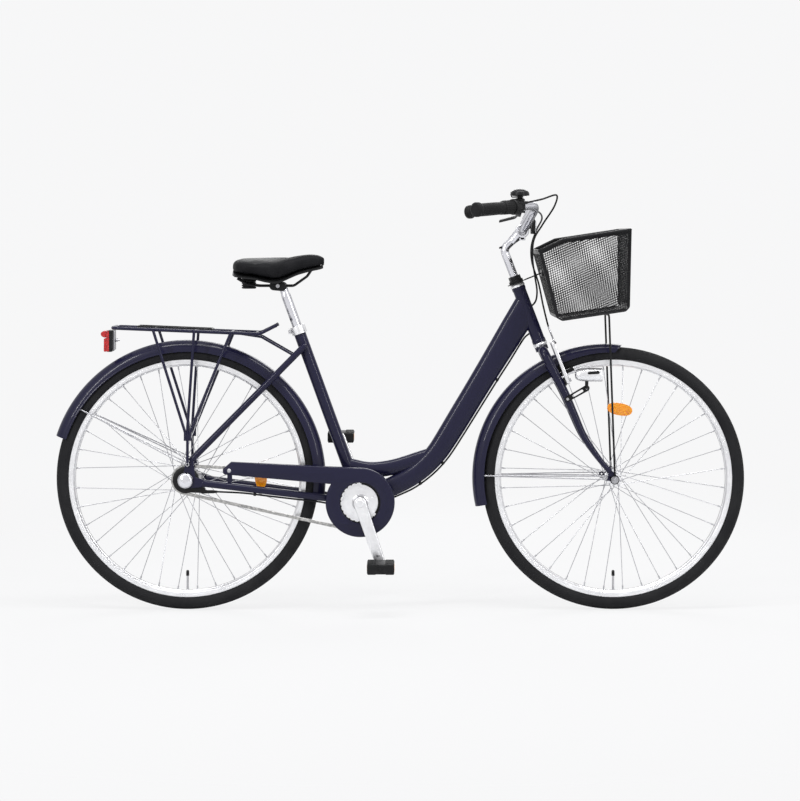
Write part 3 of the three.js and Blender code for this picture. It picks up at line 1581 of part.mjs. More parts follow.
function rackDeck() {
  const tip = vec(deckFront.x + deckTipReach, 0, deckFront.z + deckTipRise);
  const side = (s) => [tip.clone().setY(s * deckHalfWidth * deckTipShare), deckFront.clone().setY(s * deckHalfWidth)];
  const loop = bentTube([
    ...side(-1),
    deckRear.clone().setY(-deckHalfWidth),
    deckRear.clone().setY(deckHalfWidth),
    ...side(1).reverse(),
  ], railTubeRadius, deckBend, 2, 7);
  const bars = [-rearLegReach, midLegReach, frontLegReach, deckFrontReach - 2 * railTubeRadius].map((reach) => rod(
    deckPoint(reach, -deckHalfWidth),
    deckPoint(reach, deckHalfWidth),
    deckBarRadius,
    5,
  ));
  const stayTop = seatStayPath(1)[0].clone().lerp(seatStayPath(1)[1], deckStayTopShare);
  const stayY = deckHalfWidth * deckStayShare;
  const stays = [-1, 1].map((s) => bentTube([
    deckPoint(frontLegReach, s * stayY),
    vec(deckFront.x + railTubeRadius, s * stayY, deckFront.z - deckStayDrop),
    vec(stayTop.x, s * stayTop.y, stayTop.z),
  ], deckStayRadius, deckBend, 2, 5));
  const plateZ = deckRear.z - tailLampDrop - tailLampHeight / 2;
  const plate = block(vec(railTubeRadius, tailLampWidth / 2, tailLampHeight + tailLampDrop),
    vec(deckRear.x, 0, plateZ + tailLampDrop));
  const bolt = rod(vec(deckRear.x, 0, plateZ), vec(deckRear.x + deckBend, 0, plateZ), deckStayRadius);
  const whole = joined([loop, ...bars, ...stays, plate, bolt]);
  return cut(whole, ...seatStayCores());
}

function seatStayCores() {
  return [-1, 1].map((side) => {
    const [top, wide] = seatStayPath(side);
    return rod(top, wide, seatStayRadius + gap, 16);
  });
}

function rackLegs(side) {
  const footY = rearDropoutSpacing / 2 + dropoutThickness + 2 * gap + 2 * fenderStayRadius;
  const legY = footY + legRadius;
  const foot = rackFoot.clone().setY(side * legY);
  const bolt = rod(rackFoot.clone().setY((side * rearDropoutSpacing) / 2), foot, legRadius - gap);
  const at = (reach, rise) => vec(rearX + reach, side * legY, wheelRadius + rise);
  const top = (reach) => deckPoint(reach, side * (deckHalfWidth + railTubeRadius + legRadius + gap));
  const legs = [
    [top(-rearLegReach), at(0, legJoinRise), at(0, legWeldRise)],
    [top(midLegReach), at(legSpacing, legMiddleRise), foot],
    [top(frontLegReach), at(2 * legSpacing, legJoinRise), at(2 * legSpacing, legWeldRise)],
  ].map((corners) => bentTube(corners, legRadius, legBend, 2, 6));
  const inner = side > 0 ? footY : -footY - legRadius;
  const eye = sidePlate(sideCircle(foot, stayEyeRadius, 12), inner, legRadius);
  return joined([...legs, eye, bolt]);
}

// A sprung wire clip that lies on the deck and hinges at its rear end.
function rackClip() {
  const y = clipHalfWidth;
  const lift = deckBarRadius + clipWireRadius + gap;
  const at = (reach, side) => deckPoint(reach, side * y).add(vec(0, 0, lift));
  const hinge = -clipHingeReach;
  return bentTube([
    at(hinge, -1), at(hinge + clipLength, -1), at(hinge + clipLength, 1), at(hinge, 1), at(hinge, clipTailShare),
  ], clipWireRadius, clipBend, 3, 6);
}

function tailLampOutline(from, depth) {
  const top = deckRear.z - tailLampDrop;
  return [[0, 0], [depth, 0], [depth, -tailLampHeight], [0, -tailLampHeight]]
    .map(([x, z]) => new THREE.Vector2(from + x, top + z));
}

function tailLamp() {
  const back = deckRear.x - railTubeRadius / 2 - gap - tailLampDepth;
  return sidePlate(tailLampOutline(back, tailLampDepth), -tailLampWidth / 2, tailLampWidth);
}

function tailLens() {
  const front = deckRear.x - railTubeRadius / 2 - 2 * gap - tailLampDepth;
  const top = deckRear.z - tailLampDrop;
  const outline = tailLensShares.map(([out, up]) => new THREE.Vector2(
    front + tailLensDepth * out,
    top + tailLampHeight * up,
  ));
  return sidePlate(outline, -tailLampWidth / 2, tailLampWidth);
}

// Drive

function pitchRadius(teeth) {
  return chainPitch / (2 * Math.sin(Math.PI / teeth));
}

function toothedOutline(centre, teeth) {
  const pitch = pitchRadius(teeth);
  const tip = pitch + toothTipHeight;
  const shares = [[toothBottomShare, pitch - toothHeight], [-toothTipShare, tip], [toothTipShare, tip]];
  const points = [];
  for (let i = 0; i < teeth; i += 1) {
    for (const [share, radius] of shares) {
      points.push(flat(around(centre, radius, ((i + share) / teeth) * 360)));
    }
  }
  return points;
}

const crankTurn = crankAngle - 90;

function crankArm(side) {
  const eye = around(bottomBracket, crankLength, side < 0 ? crankTurn : crankTurn + 180);
  const outline = stadium(flat(bottomBracket), flat(eye), crankBossRadius, crankEyeRadius);
  const y = side < 0 ? -crankPlaneY - crankThickness : crankPlaneY;
  const arm = sidePlate(outline, y, crankThickness);
  const from = crankPlaneY + crankThickness / 2;
  const axleEnd = crankPlaneY + crankThickness + pedalLength;
  const pedalAxle = rod(eye.clone().setY(side * from), eye.clone().setY(side * axleEnd), pedalAxleRadius, 12);
  return arm.add(pedalAxle);
}

// The right crank carries the toothed ring and the spindle.
function rightCrank() {
  const ringY = -chainLineY - toothWidth / 2;
  const ring = sidePlate(toothedOutline(bottomBracket, ringTeeth), ringY, toothWidth);
  const spider = turned([
    [0, -crankPlaneY], [crankBossRadius, -crankPlaneY], [spiderRadius, ringY],
    [spiderRadius, ringY + toothWidth], [0, ringY + toothWidth],
  ]).translate([bottomBracket.x, 0, bottomBracket.z]);
  const spindle = bar(bottomBracket.clone().setY(-chainLineY), bottomBracket.clone().setY(crankPlaneY - gap),
    spindleRadius);
  return joined([crankArm(-1), ring, spider, spindle]);
}

function leftCrank() {
  return crankArm(1);
}

function sprocket() {
  const pitchY = -chainLineY - toothWidth / 2;
  const hole = sideCircle(rearAxle, coneRadius + runningGap, 16);
  return sidePlate(toothedOutline(rearAxle, sprocketTeeth), pitchY, toothWidth, [hole]);
}

// The chain's path round both toothed wheels, moved out from the pitch line by an offset.
function chainOutline(offset) {
  const front = pitchRadius(ringTeeth) + offset;
  const back = pitchRadius(sprocketTeeth) + offset;
  return stadium(flat(rearAxle), flat(bottomBracket), back, front, 12);
}

function chain() {
  const y = -chainLineY - chainWidth / 2;
  const band = sidePlate(chainOutline(chainHalfHeight), y, chainWidth, [chainOutline(-chainHalfHeight).reverse()]);
  const slotY = -chainLineY - chainSlot / 2;
  const slot = sidePlate(chainOutline(chainHalfHeight / 2), slotY, chainSlot);
  return band.subtract(slot);
}

function guardOutline(inset) {
  const radius = guardRadius - inset;
  const armTop = guardArmRise - inset;
  const armBottom = guardArmRise - guardArmHeight + inset;
  const left = rearX + guardAxleReach + inset;
  const points = [];
  const startAngle = 180 - THREE.MathUtils.radToDeg(Math.asin(armBottom / radius));
  const steps = 16;
  const sweepAngle = 360 - startAngle + 90;
  for (let i = 0; i <= steps; i += 1) {
    points.push(flat(around(bottomBracket, radius, startAngle + (sweepAngle * i) / steps)));
  }
  const tail = guardTailShares.map(([along, rise], i) => new THREE.Vector2(
    left + guardArmHeight * along,
    bottomBracket.z + armTop + guardArmHeight * rise + (i === guardTailShares.length - 1 ? 2 * inset : 0),
  ));
  return [...points, ...tail];
}

function chainGuard() {
  const face = -guardFace;
  const shell = sidePlate(guardOutline(0), face, guardDepth);
  const hollow = sidePlate(guardOutline(guardWall), face + guardWall, guardDepth);
  const opening = sidePlate(sideCircle(bottomBracket, guardOpening, 20), face - overrun, guardDepth);
  const strapY = -bottomBracketWidth / 2 - gap - guardWall;
  const straps = guardStrapAngles.map((angle) => {
    const rim = around(bottomBracket, guardRadius - guardTabRadius, angle);
    const tip = around(bottomBracket, guardRadius - guardBracketRadius, angle);
    const outline = stadium(flat(bottomBracket), flat(rim), bottomBracketRadius, guardStrapRadius);
    const strap = sidePlate(outline, strapY, guardWall);
    const tab = rod(tip.clone().setY(strapY + guardWall / 2), tip.clone().setY(face + guardWall), guardTabRadius);
    return strap.add(tab);
  });
  const bore = bar(bottomBracket.clone().setY(0), bottomBracket.clone().setY(2 * strapY), spindleRadius + 2 * runningGap);
  const stay = chainStayPoint(-1, guardBracketReach);
  const foot = stay.clone().setY(-guardBracketY).setZ(stay.z + chainStayRadius + gap);
  const bracket = rod(foot, foot.clone().setZ(bottomBracket.z + guardBracketRise), guardBracketRadius);
  const chainBand = sidePlate(chainOutline(guardChainClearance), -guardChainY, 2 * guardDepth,
    [chainOutline(-guardChainClearance).reverse()]);
  return cut(joined([cut(shell, hollow, opening, chainBand), ...straps, bracket]), bore);
}

function pedal(side) {
  const eye = around(bottomBracket, crankLength, side < 0 ? crankTurn : crankTurn + 180);
  const inner = crankPlaneY + crankThickness + runningGap;
  const [halfX, halfZ] = [pedalDepth / 2, pedalHeight / 2];
  const quarter = [[halfX, halfZ - pedalBevel], [halfX - pedalBevel, halfZ]];
  const outline = [
    ...quarter,
    ...quarter.slice().reverse().map(([x, z]) => [-x, z]),
    ...quarter.map(([x, z]) => [-x, -z]),
    ...quarter.slice().reverse().map(([x, z]) => [x, -z]),
  ].map(([x, z]) => new THREE.Vector2(eye.x + x, eye.z + z));
  const y = side < 0 ? -inner - pedalLength : inner;
  const hole = sideCircle(eye, pedalAxleRadius + runningGap, 16);
  return sidePlate(outline, y, pedalLength, [hole]);
}

// Rear axle: spacers, the shift box ring on the right and a domed right nut.
function rearAxlePiece() {
  const plain = axle(rearDropoutSpacing, rearFlangeY, dropoutThickness);
  const [rimShare, depthShare] = shiftBoxRimShares;
  const box = turned([
    [axleRadius, -shiftBoxY],
    [shiftBoxRadius, -shiftBoxY],
    [shiftBoxRadius, -shiftBoxY - shiftBoxDepth * depthShare],
    [shiftBoxRadius * rimShare, -shiftBoxY - shiftBoxDepth],
    [axleRadius, -shiftBoxY - shiftBoxDepth],
  ]);
  const face = -rearDropoutSpacing / 2 - dropoutThickness - gap;
  const domeProfile = domeShares.map(([across, out]) => [domeRadius * across, face - domeHeight * out]);
  const dome = turned([[0, face], ...domeProfile]);
  return joined([plain, box, dome]);
}

function chainStayPoint(side, reach) {
  const x = rearX + reach;
  const share = (reach - chainStayStart) / (bottomBracket.x - rearX - chainStayStart);
  const z = THREE.MathUtils.lerp(wheelRadius - chainStayDrop, bottomBracket.z, share);
  const y = x < rearX + wheelRadius
    ? THREE.MathUtils.mapLinear(x, rearX + chainStayStart, rearX + wheelRadius, chainStayDropoutY, chainStayWheelY)
    : THREE.MathUtils.mapLinear(x, rearX + wheelRadius, bottomBracket.x, chainStayWheelY, chainStayRingY);
  return vec(x, side * y, z);
}

const cableJoin = atColumn(cableHeadForward, cableHeadY, headBottom + cableHeadRise);
const shellReach = bottomBracketRadius + cableRadius + 2 * gap;

// Places along a cable that hangs by the head tube, from shares of its rise.
function hangingRoute(shares, rise) {
  return shares.map(([forward, left, up]) => atColumn(rise * forward, rise * left, headTop + rise * up));
}

function offsetBy(place, shares, length) {
  return place.clone().add(vec(...shares).multiplyScalar(length));
}

// The shift cable runs under the main tube, under the shell and along the right chain stay.
function shiftCable() {
  const under = chainStayRadius + cableRadius + 6 * gap;
  const stayRun = bottomBracket.x - rearX;
  const inBox = shiftBoxRadius * cableEndShare;
  const end = vec(rearX + inBox, -shiftBoxY - shiftBoxDepth / 2, wheelRadius - inBox);
  const bootStart = vec(rearX + cableBootStart, -cableBootY, wheelRadius - cableBootDrop);
  const points = [
    cableJoin,
    atColumn(0, cableHeadY + 1, headBottom + cableBendRise),
    atColumn(-cableTuckBack, cableHeadY - 1, headBottom + cableTuckRise),
    mainTubeUnder(cableUnderTopShare, cableUnderTopY),
    ...cableUnderShares.map((share) => mainTubeUnder(share, -cableUnderY)),
    ...cableShellShares.map((shares) => offsetBy(bottomBracket, shares, shellReach)),
    ...cableStayShares.map((share) => chainStayPoint(-1, stayRun * share).add(vec(0, 0, -under))),
    bootStart,
    end,
  ];
  const cable = smoothTube(points, cableRadius, 32, cableSides);
  const boot = rod(bootStart, vec(rearX + cableBootEnd, end.y, wheelRadius - cableBootDrop), cableBootRadius, 6);
  const boxStart = -shiftBoxY + overrun;
  const boxEnd = -shiftBoxY - shiftBoxDepth - overrun;
  const box = bar(vec(rearX, boxStart, wheelRadius), vec(rearX, boxEnd, wheelRadius), shiftBoxRadius + gap);
  const clips = cableClipShares.map((share) => rod(
    mainTubeUnder(share, -cableUnderY),
    mainTubeUnder(share, -cableUnderY, -cableRadius - 4 * gap),
    cableClipRadius,
    6,
  ));
  return cut(joined([cable, boot, ...clips]), box, mainTubeSolid(gap));
}

// The loop of the shift cable that bends when the bar turns.
function shiftCableLoop() {
  const start = shiftCableStart();
  const points = [
    start,
    offsetBy(start, shiftLeadShares, shiftLoopRise),
    ...hangingRoute(shiftLoopShares, shiftLoopRise),
    cableJoin.clone().addScaledVector(steerAxis, 8 * gap),
  ];
  return smoothTube(points, cableRadius, 26, cableSides);
}

function brakeCable() {
  const start = brakeCableStart().addScaledVector(leverAlong, -brakeCableInset);
  const front = brakeArmForward + brakeArmThickness + 2 * gap + cableRadius;
  const top = brakeBossRise + brakeArmLength;
  const points = [
    start,
    offsetBy(start, brakeLeadShares, brakeLoopRise),
    ...hangingRoute(brakeLoopShares, brakeLoopRise),
    ...brakeEndShares.map(([across, up]) => atColumn(front, brakeEndY * across, top + brakeEndRise * up)),
  ];
  const wireStart = atColumn(front, brakeArmTopY * brakeWireShare, top);
  const wire = rod(wireStart, atColumn(front, -brakeArmTopY, top), wireRadius);
  return smoothTube(points, cableRadius, 28, cableSides).add(wire);
}

// Basket

const basketCorners = basketPlaces();

function basketPlaces() {
  const top = basketTopWidth / 2;
  const low = basketBottomWidth / 2;
  const head = atColumn(0, 0, headTop);
  const rearX0 = head.x + basketReach;
  const rearZ = head.z + basketRise;
  const lowX = rearX0 + basketBottomInset;
  const lowZ = rearZ - basketHeight;
  return {
    rearTop: (side) => vec(rearX0, side * top, rearZ),
    kink: (side) => vec(rearX0 + basketKinkReach, side * top, rearZ + basketKinkRise),
    frontTop: (side) => vec(rearX0 + basketTopLength, side * top, rearZ + basketFrontRise),
    rearLow: (side) => vec(lowX, side * low, lowZ),
    frontLow: (side) => vec(lowX + basketBottomLength, side * low, lowZ + basketBottomSlope),
  };
}

// A flat wall with diamond gaps. The four corners run round the grid of gaps; the outline may hold more.
function meshWall(corners, outline, columns, rows) {
  const [a, b, c, d] = corners;
  const u = b.clone().sub(a).normalize();
  const normal = u.clone().cross(d.clone().sub(a)).normalize();
  const v = normal.clone().cross(u);
  const local = (p) => new THREE.Vector2(p.clone().sub(a).dot(u), p.clone().sub(a).dot(v));
  const inset = (share) => THREE.MathUtils.lerp(basketBorderShare, 1 - basketBorderShare, share);
  const at = (s, t) => local(a.clone().lerp(b, inset(s)).lerp(d.clone().lerp(c, inset(s)), inset(t)));
  const shape = new THREE.Shape(outline.map(local));
  const reachS = basketGapShare / (2 * columns);
  const reachT = basketGapShare / (2 * rows);
  const diamond = (s, t) => shape.holes.push(new THREE.Path([
    at(s - reachS, t), at(s, t - reachT), at(s + reachS, t), at(s, t + reachT),
  ]));
  for (let i = 0; i < columns; i += 1) {
    for (let j = 0; j < rows; j += 1) {
      diamond((2 * i + 1) / (2 * columns), (2 * j + 1) / (2 * rows));
      if (i > 0 && j > 0) diamond(i / columns, j / rows);
    }
  }
  const geometry = new THREE.ExtrudeGeometry(shape, { depth: basketWall, bevelEnabled: false });
  geometry.translate(0, 0, -basketWall / 2);
  const basis = new THREE.Matrix4().makeBasis(u, v, normal);
  basis.setPosition(a);
  geometry.applyMatrix4(basis);
  return solid(geometry);
}

function basket() {
  const { rearTop, kink, frontTop, rearLow, frontLow } = basketCorners;
  const sides = [-1, 1].map((side) => {
    const grid = [rearLow(side), frontLow(side), frontTop(side), kink(side)];
    const outline = [rearLow(side), frontLow(side), frontTop(side), kink(side), rearTop(side)];
    return meshWall(grid, outline, basketSideColumns, basketRows);
  });
  const rear = [rearLow(-1), rearLow(1), rearTop(1), rearTop(-1)];
  const front = [frontLow(-1), frontLow(1), frontTop(1), frontTop(-1)];
  const floor = [rearLow(-1), frontLow(-1), frontLow(1), rearLow(1)];
  const walls = [
    meshWall(rear, rear, basketEndColumns, basketRows),
    meshWall(front, front, basketEndColumns, basketRows),
    meshWall(floor, floor, basketFloorRows, basketEndColumns - 1),
  ];
  const edges = [];
  const edge = (from, to, radius) => edges.push(rod(from, to, radius, 5));
  for (const side of [-1, 1]) {
    edge(rearTop(side), kink(side), basketRimRadius);
    edge(kink(side), frontTop(side), basketRimRadius);
  }
  for (const ends of [rearTop, frontTop]) edge(ends(-1), ends(1), basketRimRadius);
  const collarUp = headTop + upperCupHeight + 2 * gap;
  const collar = turnedAlong([
    [steererRadius + gap, 0], [basketCollarRadius, 0], [basketCollarRadius, basketCollarHeight],
    [steererRadius + gap, basketCollarHeight],
  ], atColumn(0, 0, collarUp), steerAxis);
  const share = basketBackShare;
  const hold = rearLow(0).lerp(rearTop(0), share);
  const armStart = atColumn(basketCollarRadius - basketArmInset, 0, collarUp + basketCollarHeight / 2);
  const arm = rod(armStart, hold, basketRimRadius);
  const bracket = block(vec(basketRimRadius, basketBracketWidth, basketBracketHeight), hold);
  return joined([...sides, ...walls, ...edges, collar, arm, bracket]);
}

// Two thin uprights from the front axle that join under the basket.
function basketStay() {
  const y = frontDropoutSpacing / 2 + forkEndThickness + gap;
  const x = frontX - basketStaySetback;
  const low = basketCorners.rearLow(0);
  const floor = low.z + (basketBottomSlope * (x - low.x)) / basketBottomLength;
  const top = floor - basketRimRadius - basketStayRadius - 4 * gap;
  const half = (side) => [
    vec(frontX, side * (y + basketStayRadius), wheelRadius + nutRadius + gap),
    vec(frontX - basketStayKneeSetback, side * basketStayY, wheelRadius + basketStayKnee),
    vec(x, side * basketStayY, top),
  ];
  const wire = bentTube([...half(-1), ...half(1).reverse()], basketStayRadius, basketStayBend, 2, 6);
  const eyes = [-1, 1].map((side) => {
    const hole = sideCircle(frontAxle, axleRadius + gap, 12);
    const from = side > 0 ? y : -y - basketEyeThickness;
    return sidePlate(sideCircle(frontAxle, nutRadius + basketStayRadius, 12), from, basketEyeThickness, [hole]);
  });
  return joined([wire, ...eyes]);
}

// Headlamp

const lampBack = atColumn(lampForward, -lampY, lampUp);

function lampAlong(profile) {
  return turnedAlong(profile, lampBack, vec(1, 0, 0), 20);
}

function headlamp() {
  const body = lampAlong(lampShares.map(([across, along]) => [lampRadius * across, lampLength * along]));
  const [long, wide, deep] = lampSlotShares;
  const slotPlace = lampBack.clone().add(vec(lampLength * lampSlotPlaceShare, 0, lampRadius));
  const slot = block(vec(lampLength * long, lampRadius * wide, lampRadius * deep), slotPlace);
  return cut(body, slot);
}

function lampLens() {
  const start = lampLength + gap;
  const rim = lampRadius - gap;
  return lampAlong(lampLensShares.map(([across, out]) => [rim * across, start + lampLensDepth * out]));
}

// A flat bracket on the outer face of the right fork blade, with a post up to the lamp.
function lampBracket() {
  const shares = bladeShares.find(([, up]) => up < lampBracketShare);
  const blade = bladePoint(-1, shares);
  const bladeRadius = THREE.MathUtils.lerp(bladeTopRadius, bladeTipRadius, lampBracketRadiusShare);
  const y = blade.y - bladeRadius - gap - lampBracketThickness;
  const foot = flat(blade);
  const post = flat(lampBack).add(new THREE.Vector2(lampLength * lampPostShare, -lampRadius - lampBracketHeight));
  const half = lampBracketHeight / 2;
  const [from, to] = lampSlotHoleShares.map((share) => foot.clone().lerp(post, share));
  const hole = stadium(from, to, ...lampSlotHoleRadii);
  const arm = sidePlate(stadium(foot, post, half, half - gap), y, lampBracketThickness, [hole]);
  const postTop = vec(post.x, lampBack.y, lampBack.z);
  const upright = rod(vec(post.x, y + lampBracketThickness / 2, post.y), postTop, lampPostRadius, 10);
  const bolt = rod(blade.clone().setY(y), blade.clone().setY(y - lampBoltLength), lampBoltRadius, 6);
  return joined([arm, upright, bolt]);
}

function frame(parent) {
  place(parent, 'head_tube', headTube(), paint);
  place(parent, 'main_tube', mainTube(), paint);
  place(parent, 'seat_tube', seatTube(), paint);
  place(parent, 'chain_stays', chainStays(), paint);
  place(parent, 'seat_stays', seatStays(), paint);
  place(parent, 'upper_headset_cup', upperCup(), steel);
  place(parent, 'lower_headset_cup', lowerCup(), steel);
  place(parent, 'seat_clamp', seatClamp(), steel);
  place(parent, 'rear_axle', rearAxlePiece().translate([rearAxle.x, 0, rearAxle.z]), steel);
}

function rearGuards(parent) {
  place(parent, 'rear_fender', rearFender(), paint);
  place(parent, 'rear_fender_stays', rearFenderStays(), steel);
}

function carrier(parent) {
  place(parent, 'rack_deck', rackDeck(), paint);
  place(parent, 'right_rack_legs', rackLegs(-1), paint);
  place(parent, 'left_rack_legs', rackLegs(1), paint);
  place(parent, 'rack_clip', rackClip(), chrome);
  place(parent, 'tail_light', tailLamp(), blackPlastic);
  place(parent, 'tail_light_lens', tailLens(), redLens);
}

function saddle(parent) {
  const cushion = saddleCushion();
  place(parent, 'seatpost', seatPost(), steel);
  place(parent, 'saddle_rails', saddleRails(cushion), blackMetal);
  place(parent, 'saddle_cushion', cushion, padding);
}

function drive(parent) {
  place(parent, 'right_crank', rightCrank(), steel);
  place(parent, 'left_crank', leftCrank(), steel);
  place(parent, 'rear_sprocket', sprocket(), chainSteel);
  place(parent, 'chain', chain(), chainSteel);
  place(parent, 'chain_guard', chainGuard(), paint);
  place(parent, 'right_pedal', pedal(-1), blackPlastic);
  place(parent, 'left_pedal', pedal(1), blackPlastic);
}

function front(parent) {
  place(parent, 'fork', fork(), paint);
  place(parent, 'headset_locknut', lockNut(), steel);
  place(parent, 'stem', stem(), chrome);
  place(parent, 'right_brake_arm', brakeArm(-1), steel);
  place(parent, 'left_brake_arm', brakeArm(1), steel);
  place(parent, 'front_fender', frontFender(), paint);
  place(parent, 'front_fender_stays', frontFenderStays(), steel);
  place(parent, 'headlamp', headlamp().add(lampBracket()), steel);
  place(parent, 'headlamp_lens', lampLens(), clearLens);
}

function cockpit(parent) {
  place(parent, 'handlebar', handlebar(), chrome);
  place(parent, 'right_grip', grip(-1, rightGripLength), rubber);
  place(parent, 'left_grip', grip(1, leftGripLength), rubber);
  place(parent, 'twist_shifter', shifterDrum(), rubber);
  place(parent, 'shifter_housing', shifterHousing(), blackPlastic);
  place(parent, 'bell', bell(), blackMetal);
  place(parent, 'bell_striker', striker(), blackMetal);
  place(parent, 'brake_lever_bracket', leverBracket(), blackMetal);
  place(parent, 'brake_lever', brakeLever(), blackMetal);
  place(parent, 'bar_reflector', barReflector(), blackPlastic);
}

function cables(parent) {
  place(parent, 'shift_cable', shiftCable(), rubber);
  place(parent, 'shift_cable_loop', shiftCableLoop(), rubber);
  place(parent, 'brake_cable', brakeCable(), rubber);
}

function carryBasket(parent) {
  place(parent, 'basket', basket(), blackMetal);
  place(parent, 'basket_stay', basketStay(), blackMetal);
}

const root = new THREE.Group();
frame(root);
const rearWheel = new THREE.Group();
rearWheel.position.copy(rearAxle);
root.add(rearWheel);
const frontWheel = new THREE.Group();
frontWheel.position.copy(frontAxle);
root.add(frontWheel);
wheel(rearWheel, 'rear', rearFlangeRadius, rearFlangeY, rearBarrelRadius,
  spokeReflector(rearReflectorRadius, rearReflectorAngle, 0, rearFlangeRadius, rearFlangeY));
wheel(frontWheel, 'front', frontFlangeRadius, frontFlangeY, frontBarrelRadius,
  spokeReflector(frontReflectorRadius, frontReflectorAngle, frontReflectorTilt, frontFlangeRadius, frontFlangeY));
const frontStack = forkEndThickness + gap + basketEyeThickness;
place(frontWheel, 'front_axle', axle(frontDropoutSpacing, frontFlangeY, frontStack), steel);
rearGuards(root);
carrier(root);
saddle(root);
drive(root);
front(root);
cockpit(root);
cables(root);
carryBasket(root);

export default root;
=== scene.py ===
"""Looks of a step-through city bike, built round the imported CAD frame.

Shapes are worked out in millimetres in the frame's own axes (+X forward, +Z up, -Y the chain side)
and become metres when a piece is made. A profile is a list of (radius, height) pairs for lathe.
"""

from math import acos, asin, atan2, ceil, copysign, cos, degrees, hypot, pi, radians, sin, sqrt, tan

import bmesh
import bpy
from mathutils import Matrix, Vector
from mathutils.geometry import tessellate_polygon


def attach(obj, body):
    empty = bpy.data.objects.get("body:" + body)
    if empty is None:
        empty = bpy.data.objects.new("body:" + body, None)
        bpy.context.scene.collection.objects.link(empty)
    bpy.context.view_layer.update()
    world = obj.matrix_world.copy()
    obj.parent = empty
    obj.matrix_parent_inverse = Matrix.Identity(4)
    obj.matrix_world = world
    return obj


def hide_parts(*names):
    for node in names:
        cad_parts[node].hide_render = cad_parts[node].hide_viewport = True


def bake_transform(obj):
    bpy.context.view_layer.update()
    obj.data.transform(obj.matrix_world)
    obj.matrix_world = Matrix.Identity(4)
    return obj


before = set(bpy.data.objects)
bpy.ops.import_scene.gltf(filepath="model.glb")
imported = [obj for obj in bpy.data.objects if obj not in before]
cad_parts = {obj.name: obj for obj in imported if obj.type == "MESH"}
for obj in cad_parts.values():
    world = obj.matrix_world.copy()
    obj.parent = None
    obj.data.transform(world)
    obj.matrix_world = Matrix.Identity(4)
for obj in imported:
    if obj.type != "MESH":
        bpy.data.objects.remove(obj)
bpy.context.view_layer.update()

MM = 0.001
X_AXIS = Vector((1, 0, 0))
Y_AXIS = Vector((0, 1, 0))
Z_AXIS = Vector((0, 0, 1))
RIGHT, LEFT = -1, 1
SIDES = (("right", RIGHT), ("left", LEFT))

# Layout, the same values as the CAD source
CHAIN_STAY = 467
BB_DROP = 60
WHEEL_RADIUS = 351
HALF_BASE = 570
SEAT_ANGLE = radians(70)
HEAD_ANGLE = radians(69)
HEAD_BOTTOM = 410
HEAD_TOP = 569
MAIN_RISE = 100
FORK_OFFSET = 54
SEAT_TUBE = 497
GAP = 0.3


def v3(x, y, z):
    return Vector((x, y, z))


REAR = v3(-HALF_BASE, 0, WHEEL_RADIUS)
FRONT = v3(HALF_BASE, 0, WHEEL_RADIUS)
BB = v3(REAR.x + sqrt(CHAIN_STAY ** 2 - BB_DROP ** 2), 0, WHEEL_RADIUS - BB_DROP)
SEAT_AXIS = v3(-cos(SEAT_ANGLE), 0, sin(SEAT_ANGLE))
SEAT_TOP = BB + SEAT_AXIS * SEAT_TUBE
STEER = v3(-cos(HEAD_ANGLE), 0, sin(HEAD_ANGLE))
AHEAD = v3(sin(HEAD_ANGLE), 0, cos(HEAD_ANGLE))
STEER_FOOT = FRONT - AHEAD * FORK_OFFSET


def column(forward, left, up):
    """A place in the steering column's own axes."""
    place = STEER_FOOT + AHEAD * forward + STEER * up
    place.y = left
    return place


def around(centre, radius, angle, y=0.0):
    turn = radians(angle)
    return v3(centre.x + radius * cos(turn), y, centre.z + radius * sin(turn))


def at_y(point, y):
    return v3(point.x, y, point.z)


def mirrored(point, side):
    return v3(point.x, side * point.y, point.z)


def mix(a, b, share):
    return a + (b - a) * share


def z_at(a, b, x):
    """The height at x on the line from a to b."""
    return a.z + (b.z - a.z) * (x - a.x) / (b.x - a.x)


def smoothstep(x, low, high):
    t = min(max((x - low) / (high - low), 0), 1)
    return t * t * (3 - 2 * t)


# Camera, light and floor, in metres and watts

CAMERA_PLACE = (-0.001, -6.4, 1.002)
CAMERA_LENS = 107.46
CAMERA_SHIFT = -0.2069
SENSOR_WIDTH = 36
PALE = (0.93, 0.93, 0.935, 1)
WORLD_TINT = (0.96, 0.98, 1, 1)
WORLD_STRENGTH = 0.5
FLOOR_TINT = (0.74, 0.74, 0.745, 1)
FLOOR_LIFT = 0.84
FLOOR_REACH = 5.0
FLOOR_SIDES = 96
FADE_FROM, FADE_TO = 1.3, 3.6
# Name, place, target, width, height and power
SOFTBOXES = (
    ("overhead", (0.2, -0.8, 3.6), (0, 0, 0.4), 3.6, 0.5, 90),
    ("front_left", (-2.8, -3.2, 2.4), (0, 0, 0.6), 0.32, 2.8, 66),
    ("front_right", (3.0, -2.6, 2.0), (0, 0, 0.6), 0.26, 2.8, 42),
    ("behind", (0.4, 3.2, 2.6), (0, 0, 0.6), 3.0, 1.4, 70),
)


def add_object(name, data):
    made = bpy.data.objects.new(name, data)
    bpy.context.scene.collection.objects.link(made)
    return made


def add_node(tree, kind, **inputs):
    """A node with its inputs given by name, or by number as i0, i1. A socket as value is linked."""
    made = tree.nodes.new(kind)
    for name, value in inputs.items():
        numbered = name[0] == "i" and name[1:].isdigit()
        target = made.inputs[int(name[1:]) if numbered else name.replace("_", " ")]
        if isinstance(value, bpy.types.NodeSocket):
            tree.links.new(value, target)
        else:
            target.default_value = value
    return made


